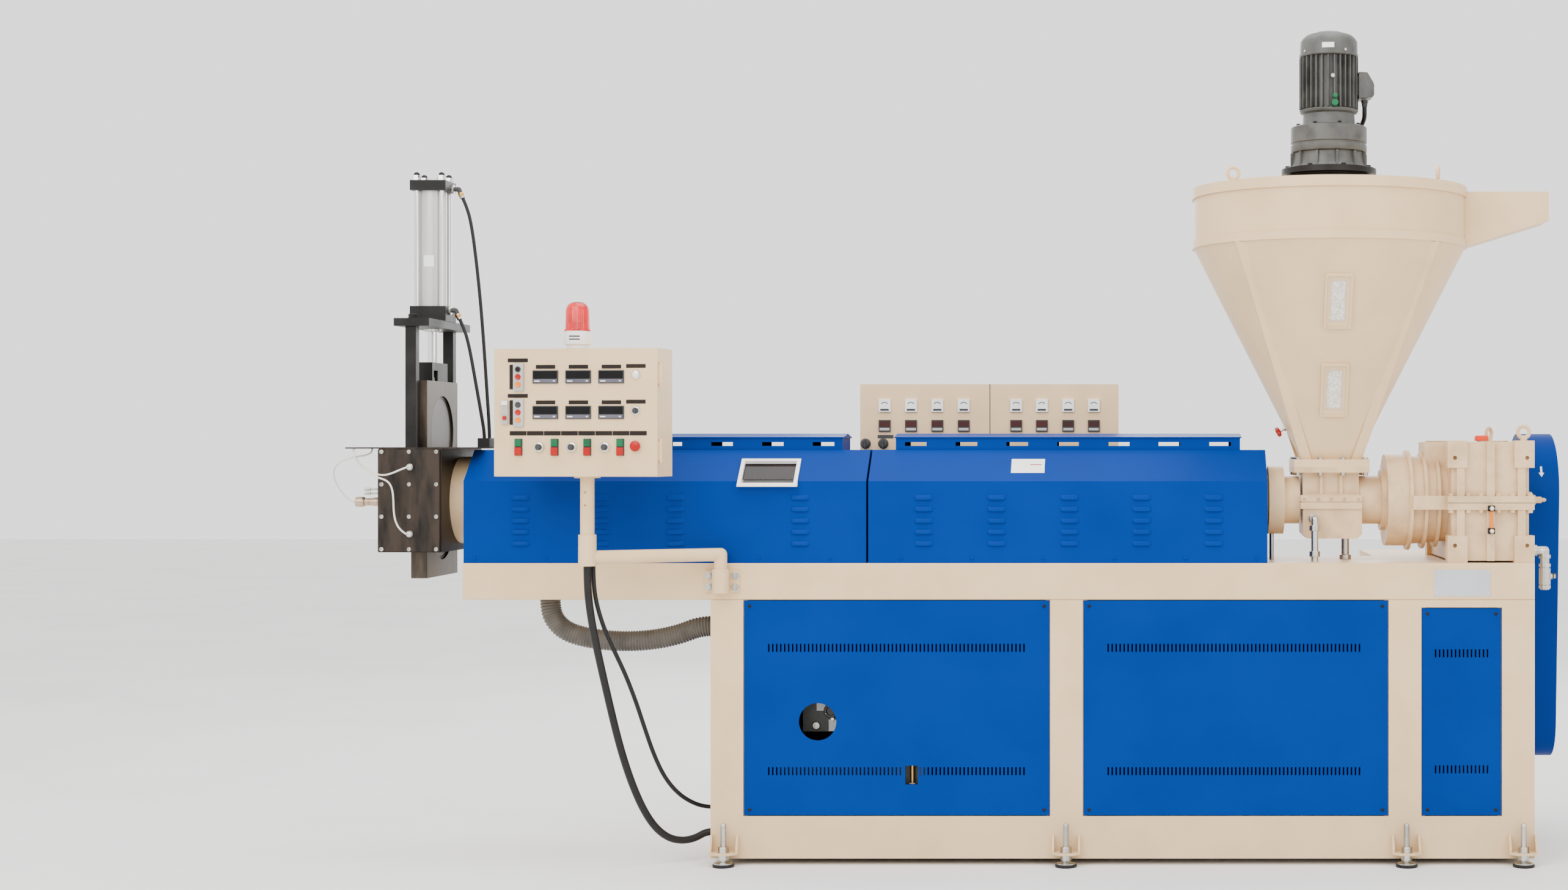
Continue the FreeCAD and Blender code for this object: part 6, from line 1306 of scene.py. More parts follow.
# ---------------------------------------------------------------- drive
@dataclass
class Drive:
    """Thrust housing, gearbox, oil drain and belt guard."""

    x: tuple[float, float] = (2811.0, 3143.0)
    front: float = 20.0
    back: float = 700.0
    top: float = 1617.0
    ribs: tuple[float, ...] = (2862.0, 2977.0, 3095.0)
    split: tuple[float, float] = (1352.0, 1405.0)
    guard_x: tuple[float, float] = (3163.0, 3295.0)
    guard_hub: tuple[float, float] = (558.0, 1417.0)

    def build(self) -> None:
        """Build and dress the drive."""
        dress(CREAM_CAST, "thrust_housing", "gearbox_case")
        dress(BLUE, "belt_guard")
        dress(STEEL, "drain_valve")
        dress(BLACK, "drain_lever")
        self.flange_bolts()
        self.gauge()
        self.lifting_eyes()
        self.end_cover()
        self.drain()
        self.guard()

    def flange_bolts(self) -> None:
        """Hexagon bolts above and nuts below the gearbox's split flange, and plugs in its pads."""
        bolts = Surface()
        for x in (2826.0, 2892.0, 2940.0, 3008.0, 3061.0, 3128.0):
            for y in (self.front + 12.0, self.back - 12.0):
                bolts.join(hex_bolt(Place(spot(x, y, self.split[1])), 19.0, 10.0, 11.5))
                bolts.join(hex_bolt(Place(spot(x, y, self.split[0]), X, -Y, -Z), 19.0, 12.0))
        bolts.join(*[cap_screw(Place(np.array([2836.0, AXIS_Y + 130.0 * math.cos(t),
                                               AXIS_Z + 130.0 * math.sin(t)]),
                                     Y, -Z, -X), 8.0,
                               8.0) for t in np.radians(np.arange(200.0, 350.0, 25.0))])
        bolts.piece("gearbox_bolts", CREAM_CAST, bevel=0.5)
        groove = Surface().span((self.x[0] + 1.0, self.x[1] - 1.0), (self.front - 0.5, self.front + 2.0),
                                (1377.6, 1379.4))
        groove.piece("flange_joint", BLACKED)

    def gauge(self) -> None:
        """Oil gauge on the front rib: sockets, amber tube and acorn nuts; breather on the roof."""
        x = self.ribs[1]
        y = self.front - 6.0
        Surface().turned([(1272.0, 6.5), (1362.0, 6.5)], Place(spot(x, y, 0.0)), 20).piece(
            "oil_gauge_tube", YELLOW, instead=("gearbox_fittings",))
        ends = Surface()
        for z in (1272.0, 1358.0):
            ends.box((26.0, 22.0, 22.0), Place(spot(x, y + 1.0, z)))
        ends.piece("oil_gauge_sockets", BLACKED, bevel=2.0, instead=("gearbox_fittings",))
        nuts = Surface()
        for z in (1272.0, 1358.0):
            nuts.join(hex_bolt(Place(spot(x, y - 10.0, z), X, Z, -Y), 17.0, 9.0))
            nuts.turned([(9.0, 7.0), (12.0, 6.2), (14.0, 4.0), (15.0, 0.0)],
                        Place(spot(x, y - 10.0, z), X, Z, -Y), 20)
        nuts.piece("oil_gauge_nuts", CHROME, instead=("gearbox_fittings",))
        cap = np.stack([np.concatenate([Hopper.rounded(50.0, 42.0, 9.0) * s, np.full((24, 1), h)], axis=1)
                        for h, s in ((4.0, 0.94), (6.0, 1.0), (21.0, 1.0), (25.0, 0.9))])
        breather = Surface().grid(Place(spot(2966.0, 200.0, 1612.0)).of(cap))
        for dx in np.linspace(-20.0, 20.0, 6):
            breather.box((3.0, 2.0, 12.0), Place(spot(2966.0 + dx, 178.6, 1626.0)))
        breather.piece("breather_cap", ORANGE, bevel=0.8, instead=("gearbox_fittings",))
        Surface().turned([(0.0, 16.0), (5.0, 16.0)], Place(spot(2966.0, 200.0, 1612.0)), 24).piece(
            "breather_neck", STEEL, instead=("gearbox_fittings",))

    def lifting_eyes(self) -> None:
        """Eyebolts: a ring of round section, thicker at its foot, on a collar."""
        eyes = Surface()
        for (x, y, z), turn in (((3106.0, 50.0, self.top), 0.0), ((3012.0, 300.0, self.top - 5.0), 55.0)):
            angle = np.linspace(0.0, 2.0 * np.pi, 36, endpoint=False)
            around = np.linspace(0.0, 2.0 * np.pi, 16, endpoint=False)
            wire = 7.0 + 1.6 * np.clip(-np.sin(angle), 0.0, 1.0)
            side = spot(math.cos(math.radians(turn)), math.sin(math.radians(turn)), 0.0)
            out = (22.0 + wire[:, None] * np.cos(around))[..., None] * (
                np.cos(angle)[:, None, None] * side + np.sin(angle)[:, None, None] * Z)
            depth = (wire[:, None] * np.sin(around))[..., None] * np.cross(side, Z)
            centre = spot(x, y, z + 32.5)
            ring = centre + out + depth
            eyes.grid(np.concatenate([ring, ring[:1]]), caps=False)
            eyes.turned([(0.0, 13.5), (5.0, 13.5), (8.0, 10.0), (11.0, 8.0)], Place(spot(x, y, z)), 24)
        eyes.piece("gearbox_eyes", CREAM_CAST, instead=("gearbox_fittings",))

    def end_cover(self) -> None:
        """Bolts of the output bearing's cover, and its grease nipple."""
        bolts = Surface()
        for angle in np.radians(np.arange(22.5, 382.5, 45.0)):
            if math.cos(angle) > 0.5:
                continue
            seat = np.array([self.x[1] - 17.5, AXIS_Y + 92.0 * math.cos(angle),
                             AXIS_Z + 92.0 * math.sin(angle)])
            bolts.join(hex_bolt(Place(seat + 9.0 * X, Y, Z, X), 15.0, 7.0))
        bolts.piece("end_cover_bolts", STEEL)
        place = Place(spot(3177.0, AXIS_Y, AXIS_Z), Y, Z, X)
        nipple = Surface().turned([(0.0, 20.0), (14.0, 20.0), (16.0, 18.0), (16.0, 13.0), (38.0, 13.0),
                                   (40.0, 11.0),
                                   (40.0, 8.0), (52.0, 8.0), (55.0, 5.0), (58.0, 4.0)], place, 32)
        nipple.piece("end_nipple", CREAM_CAST, instead=("gearbox_fittings",))

    def drain(self) -> None:
        """Collars of the drain's elbow, and its stem nut."""
        collars = Surface()
        x, y, z = 3187.0, 50.0, 1196.0
        collars.turned([(0.0, 22.0), (12.0, 22.0), (14.0, 20.0)],
                       Place(spot(self.x[1], y, z), Y, Z, X), 24)
        for height in (z - 30.0, 1132.0, 1050.0):
            ring = [np.concatenate([hexagon(40.0) * s, np.full((6, 1), h)], axis=1)
                    for h, s in ((0.0, 0.92), (2.0, 1.0), (12.0, 1.0), (14.0, 0.92))]
            collars.grid(Place(spot(x, y, height)).of(np.stack(ring)))
        collars.piece("drain_collars", STEEL, bevel=0.5)
        stem = hex_bolt(Place(spot(x + 34.2, y, 1097.0), Y, Z, X), 15.0, 6.0)
        stem.piece("drain_stem_nut", STEEL, "drain_lever")

    def guard(self) -> None:
        """Louvred outer face of the belt guard, its edge screws and turning mark."""
        y = self.guard_hub[0]
        x = self.guard_x[1]
        fins = Surface()
        for height in np.arange(380.0, 1620.0, 26.0):
            reach = self.guard_reach(height) - 34.0
            if reach < 20.0:
                continue
            section = np.array([(0.0, 8.0), (3.0, 3.0), (3.6, -5.0), (0.0, -6.0)])
            s = np.linspace(-1.0, 1.0, 11)
            swell = np.maximum(1.0 - s ** 8, 0.0)
            rings = np.stack([x - 0.4 + section[None, :, 0] * swell[:, None],
                              np.broadcast_to(y + s[:, None] * reach, (11, 4)),
                              height + np.broadcast_to(section[None, :, 1], (11, 4))], axis=-1)
            fins.grid(rings)
        fins.piece("guard_louvres", BLUE)
        screws = Surface()
        for height in np.linspace(430.0, 1560.0, 7):
            for side in (-1.0, 1.0):
                seat = spot(self.guard_x[0] + 12.0, y + side * self.guard_reach(height), height)
                out = side * Y
                screws.turned([(0.0, 8.0), (3.0, 7.5), (4.0, 4.0)], Place(seat, X, np.cross(out, X), out), 14)
        screws.piece("guard_screws", BLUE)
        mark = Surface()
        arrow = [(-4.0, 22.0), (4.0, 22.0), (4.0, -4.0), (11.0, -4.0), (0.0, -22.0), (-11.0, -4.0),
                 (-4.0, -4.0)]
        mark.prism(arrow, 1.0, self.rim_place(3226.0, 1494.0))
        mark.piece("guard_arrow", WHITE)

    def guard_reach(self, height: float) -> float:
        """Half the guard's depth at a height: round ends joined by straight flanks.

        Args:
            height: Height above the floor.

        Returns:
            Half of the guard's depth there.
        """
        upper, lower = (self.guard_hub[1], 228.0), (500.0, 155.0)
        if height > upper[0]:
            return math.sqrt(max(upper[1] ** 2 - (height - upper[0]) ** 2, 0.0))
        if height < lower[0]:
            return math.sqrt(max(lower[1] ** 2 - (height - lower[0]) ** 2, 0.0))
        share = (height - lower[0]) / (upper[0] - lower[0])
        return lower[1] + share * (upper[1] - lower[1])

    def rim_place(self, x: float, z: float) -> Place:
        """Axes on the guard's round front rim: c points out of the rim.

        Args:
            x: Where across the rim.
            z: The height on the rim.

        Returns:
            The axes.
        """
        y0, z0 = self.guard_hub
        rise = z - z0
        out = unit(spot(0.0, -math.sqrt(228.0 ** 2 - rise ** 2), rise))
        return Place(spot(x, y0, z0) + out * 227.8, X, np.cross(out, X), out)


# ---------------------------------------------------------------- control panel
@dataclass
class ControlPanel:
    """Operator's panel on its swinging arm; the door's pieces are laid out around its post."""

    pivot: tuple[float, float] = (46.0, -45.0)
    reach: float = 505.0
    angle: float = 206.5
    yaw: float = -6.0
    depth: float = 180.0
    edges: tuple[float, float] = (-321.0, 294.0)
    z: tuple[float, float] = (1484.0, 1954.0)
    meters: tuple[tuple[float, ...], tuple[float, ...]] = ((-126.0, -2.0, 122.0), (1849.0, 1719.0))
    station_x: float = -227.0
    breaker: tuple[float, float] = (-278.0, 1719.0)
    lamps: tuple[float, float, float, float] = (214.0, 1856.0, 1725.0, 1596.0)
    pushes: tuple[float, ...] = (-228.0, -91.0, 32.0, 156.0)
    dials: tuple[float, ...] = (-149.0, -26.0, 99.0)
    row: float = 1592.0

    def door(self, x: float, z: float, proud: float = 0.0) -> Place:
        """Axes on the door's face: a to the right, b up, c out of the door.

        Args:
            x: How far right of the post.
            z: The height.
            proud: How far out of the face.

        Returns:
            The axes.
        """
        turn = math.radians(self.yaw)
        right = spot(math.cos(turn), math.sin(turn), 0.0)
        inward = spot(-math.sin(turn), math.cos(turn), 0.0)
        end = math.radians(self.angle)
        post = np.array([self.pivot[0] + self.reach * math.cos(end),
                         self.pivot[1] + self.reach * math.sin(end), z])
        return Place(post + x * right - (self.depth / 2.0 + proud) * inward, right, Z, -inward)

    def build(self) -> None:
        """Build and dress the panel."""
        dress(CREAM, "arm_bracket", "panel_arm", "panel_box", "panel_door")
        self.meter_pieces()
        self.stations()
        self.bottom_row()
        self.labels()
        self.beacon()
        self.fixings()

    def block(self, surface: Surface, x: float, z: float, size: Point, proud: float = 0.0) -> None:
        """Lay a block on the door, its back face so far out from it."""
        seat = self.door(x, z, proud)
        surface.box(size, Place(seat.of(spot(0.0, 0.0, size[2] / 2.0)), seat.a, seat.b, seat.c))

    def meter_pieces(self) -> None:
        """Panel meters: a bezel, a dark display above a lighter band, and a bare mark."""
        bezels, displays, bands, marks = Surface(), Surface(), Surface(), Surface()
        for z in self.meters[1]:
            for x in self.meters[0]:
                self.block(bezels, x, z, (96.0, 48.0, 6.5))
                self.block(displays, x, z + 7.5, (89.0, 27.0, 2.0), 6.2)
                self.block(bands, x, z - 14.5, (89.0, 13.0, 1.6), 6.2)
                self.block(marks, x - 30.0, z - 15.5, (20.0, 4.0, 0.6), 7.8)
                self.block(marks, x + 34.0, z - 15.0, (7.0, 4.0, 0.6), 7.8)
        bezels.piece("meter_bezels", BLACK, "panel_door", bevel=1.2, instead=("panel_instruments",))
        displays.piece("meter_displays", GLASSY, "panel_door", bevel=0.4)
        bands.piece("meter_bands", BAND, "panel_door", bevel=0.4)
        marks.piece("meter_marks", WHITE, "panel_door")

    def button(self, surface: Surface, x: float, z: float, radius: float, proud: float, base: float) -> None:
        """Add a round button with a dished top.

        Args:
            surface: What it is added to.
            x: How far right of the post.
            z: The height.
            radius: Its radius.
            proud: Its length out of its base.
            base: How far its base stands out of the door.
        """
        profile = [(0.0, radius), (proud - 2.0, radius), (proud, radius - 1.5), (proud - 1.2, radius * 0.55),
                   (proud - 1.4, 0.0)]
        surface.turned(profile, self.door(x, z, base), 24)

    def stations(self) -> None:
        """Two three-button stations with side strips, and the small breaker."""
        bodies, dark, red, amber, strips = Surface(), Surface(), Surface(), Surface(), Surface()
        for z in self.meters[1]:
            seat = self.door(self.station_x, z - 1.0)
            rings = np.stack([np.concatenate([Hopper.rounded(39.0, 104.0, 4.0) * s, np.full((24, 1), h)],
                                             axis=1)
                              for h, s in ((0.0, 1.0), (9.0, 1.0), (11.0, 0.93))])
            bodies.grid(seat.of(rings))
            self.button(dark, self.station_x, z + 28.0, 11.0, 4.0, 10.5)
            self.button(red, self.station_x, z, 11.0, 3.5, 10.5)
            self.button(amber, self.station_x, z - 28.0, 11.0, 3.5, 10.5)
            self.block(strips, self.station_x - 29.0, z, (12.0, 90.0, 2.0))
        x, z = self.breaker
        self.block(bodies, x - 1.0, z, (24.0, 88.0, 8.0))
        self.block(red, x, z - 20.0, (13.0, 14.0, 6.0), 7.5)
        self.button(strips, self.station_x, self.meters[1][0] + 28.0, 7.0, 1.4, 14.0)
        bodies.piece("button_stations", GREY, "panel_door", bevel=0.8, instead=("panel_instruments",))
        dark.piece("start_buttons", BLACK, "panel_door")
        red.piece("stop_buttons", RED, "panel_door")
        amber.piece("reset_buttons", YELLOW, "panel_door")
        strips.piece("station_strips", LABEL, "panel_door", bevel=0.4)
        top = Surface()
        self.block(top, x - 1.0, z + 35.0, (24.0, 16.0, 4.0), 8.0)
        top.piece("breaker_top", WHITE, "panel_door", bevel=0.6)

    def bottom_row(self) -> None:
        """Twin pushbuttons, ringed dials, lamp, selector and stop mushroom."""
        frames, green, red, chrome, black, white = (Surface() for _ in range(6))
        for x in self.pushes:
            self.block(frames, x, self.row, (29.0, 62.0, 5.0))
            self.block(green, x, self.row + 15.5, (24.0, 27.0, 7.0), 4.5)
            self.block(red, x, self.row - 15.0, (25.0, 29.0, 9.0), 4.5)
        for x in self.dials:
            ring = [(0.0, 20.0), (4.0, 20.0), (9.0, 17.0), (12.0, 16.5), (13.0, 13.0), (11.0, 11.5),
                    (11.0, 0.0)]
            chrome.turned(ring, self.door(x, self.row), 36)
            knurl = self.door(x, self.row, 11.0)
            turn = np.arange(48) * 2.0 * np.pi / 48
            radius = 10.0 + 0.7 * np.sign(np.sin(12.0 * turn))
            rings = np.stack([np.stack([r * np.cos(turn), r * np.sin(turn), np.full(48, h)], axis=1)
                              for r, h in ((radius, 0.0), (radius, 11.0), (radius * 0.8, 13.0))])
            black.grid(knurl.of(rings))
        x, lamp, selector, stop = self.lamps
        for z, surface in ((lamp, white), (selector, black), (stop, red)):
            chrome.turned([(0.0, 17.0), (3.0, 17.0), (6.0, 15.0), (7.0, 12.0), (5.0, 11.5)], self.door(x, z),
                          32)
            if z == selector:
                surface.turned([(4.0, 11.0), (12.0, 11.0), (13.0, 9.0)], self.door(x, z), 28)
                self.block(surface, x, z, (7.0, 22.0, 6.0), 12.0)
            else:
                dome = [(4.0, 12.0), (10.0, 12.0), (14.0, 10.0), (16.5, 6.0), (17.5, 0.0)]
                surface.turned(dome, self.door(x, z), 28)
        red.turned([(8.0, 18.0), (11.0, 20.0), (15.0, 19.0), (18.0, 13.0), (19.0, 0.0)], self.door(x, stop),
                   32)
        frames.piece("push_frames", BLACK, "panel_door", bevel=1.0, instead=("panel_instruments",))
        green.piece("push_green", GREEN, "panel_door", bevel=1.5)
        red.piece("push_red", RED, "panel_door", bevel=1.5)
        chrome.piece("switch_rings", CHROME, "panel_door", instead=("panel_instruments",))
        black.piece("dial_knobs", BLACK, "panel_door", bevel=0.3)
        white.piece("mains_lamp", WHITE, "panel_door")

    def labels(self) -> None:
        """Bare engraved strips above the instruments."""
        strips = Surface()
        for z in self.meters[1]:
            for x in self.meters[0]:
                self.block(strips, x, z + 37.0, (73.0, 14.0, 1.6))
            self.block(strips, self.station_x - 4.0, z + 61.0, (76.0, 14.0, 1.6))
            self.block(strips, self.lamps[0], z + 39.0, (73.0, 14.0, 1.6))
        for x in np.linspace(-230.0, 223.0, 8):
            self.block(strips, x, self.row + 51.0, (63.0, 16.0, 1.6))
        strips.piece("engraved_strips", LABEL, "panel_door", bevel=0.4)

    def beacon(self) -> None:
        """Signal lamp: ribbed lens over a reflector, on a white base whose two slots' shade is painted as
        black patches.
        """
        turn = math.radians(self.yaw)
        end = math.radians(self.angle)
        post = np.array([self.pivot[0] + self.reach * math.cos(end),
                         self.pivot[1] + self.reach * math.sin(end)])
        local = np.array([-33.0, -10.0])
        at = post + np.array([local[0] * math.cos(turn) - local[1] * math.sin(turn),
                              local[0] * math.sin(turn) + local[1] * math.cos(turn)])
        seat = Place(spot(at[0], at[1], self.z[1]))
        base = [(0.0, 38.0), (3.0, 40.0), (9.0, 40.0), (12.0, 38.5), (14.0, 42.0), (17.0, 48.5), (20.0, 49.0),
                (64.0, 48.0), (66.0, 46.5)]
        Surface().turned(base, seat, 48).piece("beacon_base", WHITE, "panel_box", instead=("beacon",))
        # Painted shade: thin black patches on the base stand for the dark inside of its two slots; no slot is
        # cut.
        slot_shade = Surface()
        around = np.radians(np.linspace(-116.0, -68.0, 9))
        for low in (32.0, 43.0):
            rows = [np.stack([r * np.cos(around), r * np.sin(around), np.full(9, low + h)], axis=1)
                    for r, h in ((48.2, 0.0), (49.3, 0.0), (49.3, 4.5), (48.2, 4.5))]
            slot_shade.grid(seat.of(np.stack(rows, axis=1)))
        slot_shade.piece("beacon_slot_shade", BLACK, "panel_box")
        angle = np.arange(96) * 2.0 * np.pi / 96
        rib = 1.0 + 0.012 * np.cos(24.0 * angle)
        levels = [(66.0, 48.5, 0.0), (71.0, 48.5, 0.0), (72.0, 44.5, 1.0), (76.0, 44.0, 1.0),
                  (138.0, 43.0, 1.0),
                  (153.0, 40.5, 1.0), (164.0, 34.0, 0.6), (171.0, 24.0, 0.2), (174.0, 11.0, 0.0),
                  (175.0, 0.0, 0.0)]
        rings = [np.stack([r * (1.0 + (rib - 1.0) * k) * np.cos(angle),
                           r * (1.0 + (rib - 1.0) * k) * np.sin(angle),
                           np.full(96, h)], axis=1) for h, r, k in levels]
        Surface().grid(seat.of(np.stack(rings))).piece("beacon_lens", LENS, "panel_box", instead=("beacon",))
        reflector = Surface().turned([(67.0, 14.0), (94.0, 14.0), (96.0, 24.0), (128.0, 27.0), (131.0, 12.0),
                                      (142.0, 10.0), (146.0, 4.0)], seat, 32)
        reflector.piece("beacon_reflector", ORANGE, "panel_box")

    def fixings(self) -> None:
        """Bracket bolts, and the post's two screws."""
        x = self.pivot[0]
        bolts = Surface()
        for dx in (-50.0, 50.0):
            for z in (1060.0, 1103.0):
                bolts.join(hex_bolt(Place(spot(x + dx, -10.0, z), X, Z, -Y), 22.0, 11.0, 15.0))
        bolts.piece("arm_bracket_bolts", STEEL, bevel=0.5)
        rivets = Surface()
        for z in (1378.0, 1426.0):
            seat = self.door(0.0, z)
            post = seat.of(spot(0.0, 0.0, 26.0 - self.depth / 2.0))
            rivets.turned([(0.0, 4.5), (1.5, 4.0), (2.4, 0.0)], Place(post, seat.a, seat.b, seat.c), 12)
        rivets.piece("post_screws", BRASS, "panel_box")


# ---------------------------------------------------------------- cabinet
@dataclass
class Cabinet:
    """Two-door electrical cabinet behind the barrel."""

    x: tuple[float, float] = (502.0, 1550.0)
    front: float = 580.0
    back: float = 980.0
    z: tuple[float, float] = (60.0, 1847.0)
    seam: float = 1029.0
    columns: tuple[float, ...] = (602.0, 709.0, 816.0, 923.0, 1136.0, 1240.0, 1347.0, 1451.0)
    ammeter_z: float = 1760.0
    controller_z: float = 1678.0

    def build(self) -> None:
        """Build and dress the cabinet."""
        dress(CREAM, "rear_cabinet")
        self.seams()
        self.instruments()
        self.back_doors()

    def seams(self) -> None:
        """Dark joint between the two halves, over the front, the roof and the back."""
        joint = Surface().span((self.seam - 1.5, self.seam + 1.5), (self.front - 0.6, self.front + 2.0),
                               (1160.0, self.z[1]))
        joint.span((self.seam - 1.5, self.seam + 1.5), (self.front, self.back),
                   (self.z[1] - 2.0, self.z[1] + 0.6))
        joint.span((self.seam - 1.5, self.seam + 1.5), (self.back - 2.0, self.back + 0.6),
                   (self.z[0], self.z[1]))
        joint.piece("cabinet_joint", BLACKED)

    def panel(self, surface: Surface, x: float, z: float, size: Point, proud: float = 0.0) -> None:
        """Lay a block on the cabinet's front, its back face so far out from it."""
        y = self.front - proud - size[1] / 2.0
        surface.box(size, Place(spot(x, y, z)))

    def instruments(self) -> None:
        """Ammeters over controllers, two knobs and their label strip."""
        faces, dials, bodies, tops, strips, knobs = (Surface() for _ in range(6))
        for x in self.columns:
            self.panel(faces, x, self.ammeter_z, (48.0, 9.0, 52.0))
            scale = arc(17.0, 35.0, 145.0, 12)
            inner = arc(14.0, 145.0, 35.0, 12)
            dials.prism(np.concatenate([scale, inner]), 0.8,
                        Place(spot(x, self.front - 9.0, self.ammeter_z - 2.0), X, Z, -Y))
            self.panel(dials, x, self.ammeter_z - 17.0, (34.0, 0.8, 8.0), 9.0)
            self.panel(bodies, x, self.controller_z, (48.0, 9.0, 48.0))
            self.panel(tops, x, self.controller_z + 8.0, (42.0, 1.2, 22.0), 9.0)
            self.panel(strips, x, self.controller_z - 14.0, (40.0, 1.2, 10.0), 9.0)
        for x in (524.0, 596.0):
            knobs.turned([(0.0, 21.0), (6.0, 21.0), (9.0, 18.0), (20.0, 16.0), (22.0, 13.0)],
                         Place(spot(x, self.front, 1606.0), X, Z, -Y), 32)
            knobs.box((6.0, 8.0, 34.0), Place(spot(x, self.front - 25.0, 1606.0)))
        self.panel(bodies, 605.0, 1634.0, (64.0, 1.6, 14.0))
        faces.piece("ammeter_cases", WHITE, bevel=1.2)
        dials.piece("ammeter_dials", BLACK)
        bodies.piece("controller_cases", BLACK, bevel=1.2)
        tops.piece("controller_displays", SMOKED, bevel=0.3)
        strips.piece("controller_strips", GREY, bevel=0.3)
        knobs.piece("cabinet_knobs", BLACK, bevel=0.8)

    def back_doors(self) -> None:
        """Plain rear doors with turned edges, latches and rows of louvres."""
        doors, latches, louvres = Surface(), Surface(), Surface()
        halves = ((self.x[0] + 14.0, self.seam - 10.0), (self.seam + 10.0, self.x[1] - 14.0))
        for left, right in halves:
            doors.span((left, right), (self.back, self.back + 3.0), (self.z[0] + 16.0, self.z[1] - 18.0))
            for z in (560.0, 1320.0):
                latches.turned([(0.0, 16.0), (5.0, 16.0), (7.0, 13.0)],
                               Place(spot(left + 34.0, self.back + 3.0, z), X, -Z, Y), 24)
                latches.box((6.0, 6.0, 22.0), Place(spot(left + 34.0, self.back + 11.0, z)))
            middle = (left + right) / 2.0
            for z in np.arange(300.0, 480.0, 26.0):
                louvres.box((240.0, 4.0, 8.0), Place(spot(middle, self.back + 4.6, z)))
        doors.piece("cabinet_back_doors", CREAM, bevel=2.0)
        latches.piece("cabinet_latches", BLACKED, bevel=0.6)
        louvres.piece("cabinet_louvres", CREAM, bevel=1.6)


# ---------------------------------------------------------------- cords
class Sheath(Enum):
    """How a cord's skin is made."""

    ROUND = "round"
    RIBBED = "ribbed"
    JOINTED = "jointed"


RIB_PITCH, RIB_SWELL, RIB_STEP = 11.0, 2.0, 1.6
JOINT_STEP = 12.0
SMOOTHED = 9


@dataclass(frozen=True)
class Cord:
    """A cable, hose or lead: its real length in metres, the route of its tube, and its facts."""

    name: str
    finish: Finish
    radius: float
    length: float
    stiffness: str
    route: tuple[Point, ...]
    sheath: Sheath = Sheath.ROUND
    far_end: str = "object"
    lay: str = "hanging"

    def spline(self) -> bpy.types.Object:
        """The route as a NURBS curve object with no thickness.

        Returns:
            The curve's object, not linked to the scene.
        """
        curve = bpy.data.curves.new(self.name, "CURVE")
        curve.dimensions = "3D"
        curve.resolution_u = 12
        line = curve.splines.new("NURBS")
        line.points.add(len(self.route) - 1)
        for point, place in zip(line.points, Drawing.metres(np.array(self.route))):
            point.co = (*place, 1.0)
        line.order_u = 3
        line.use_endpoint_u = True
        return bpy.data.objects.new(f"{self.name}_run", curve)

    def line(self) -> Array:
        """Points read from the route's spline.

        Returns:
            The points, in drawing millimetres.
        """
        guide = self.spline()
        mesh = bpy.data.meshes.new_from_object(guide)
        points = np.empty(len(mesh.vertices) * 3)
        mesh.vertices.foreach_get("co", points)
        curve = guide.data
        bpy.data.objects.remove(guide)
        bpy.data.curves.remove(curve)
        bpy.data.meshes.remove(mesh)
        return (points.reshape(-1, 3) - Drawing.shift) / MM

    def build(self) -> None:
        if self.sheath is Sheath.ROUND:
            piece = self.spline()
            piece.data.bevel_depth = self.radius * MM
            piece.data.bevel_resolution = 5
            piece.data.use_fill_caps = True
            piece.data.materials.append(self.finish.material())
            bpy.context.scene.collection.objects.link(piece)
            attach(piece, "root")
            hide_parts(self.name)
            path = None
        else:
            piece, path = self.skin()
        tuple(Drawing.metres(self.route[0]))
        LOG.info("%s: %.3f m stated, %.3f m along its spline", self.name, self.length, self.measured())

    def measured(self) -> float:
        """The spline's length in metres."""
        return float(np.linalg.norm(np.diff(self.line(), axis=0), axis=1).sum() * MM)

    def skin(self) -> tuple[bpy.types.Object, list[Point]]:
        """A mesh tube along the spline; a ribbed one swells by a cosine of the length run.

        Returns:
            The piece and the path that it follows, in metres.
        """
        line = self.line()
        run = np.concatenate([[0.0], np.cumsum(np.linalg.norm(np.diff(line, axis=0), axis=1))])
        step = RIB_STEP if self.sheath is Sheath.RIBBED else JOINT_STEP
        even = np.linspace(0.0, run[-1], int(run[-1] / step))
        fine = np.stack([np.interp(even, run, line[:, k]) for k in range(3)], axis=1)
        kernel = np.ones(SMOOTHED) / SMOOTHED
        ends = SMOOTHED // 2
        padded = np.concatenate([fine[:1].repeat(ends, axis=0), fine, fine[-1:].repeat(ends, axis=0)])
        if self.sheath is Sheath.RIBBED:
            middle = np.stack([np.convolve(padded[:, k], kernel, mode="valid") for k in range(3)], axis=1)
            middle[0], middle[-1] = fine[0], fine[-1]
            fine = middle
        radii = np.full(len(fine), self.radius)
        if self.sheath is Sheath.RIBBED:
            radii = self.radius - RIB_SWELL + RIB_SWELL * np.cos(2.0 * np.pi * even / RIB_PITCH)
        span = fine[-1] - fine[0]
        across = unit(np.cross(span, Z)) if np.linalg.norm(span[:2]) > 1.0 else X
        skin = Surface().tube(fine, radii, across, 28 if self.sheath is Sheath.RIBBED else 24)
        piece = skin.piece(f"{self.name}_run", self.finish, instead=(self.name,))
        return piece, [tuple(p) for p in Drawing.metres(line)]


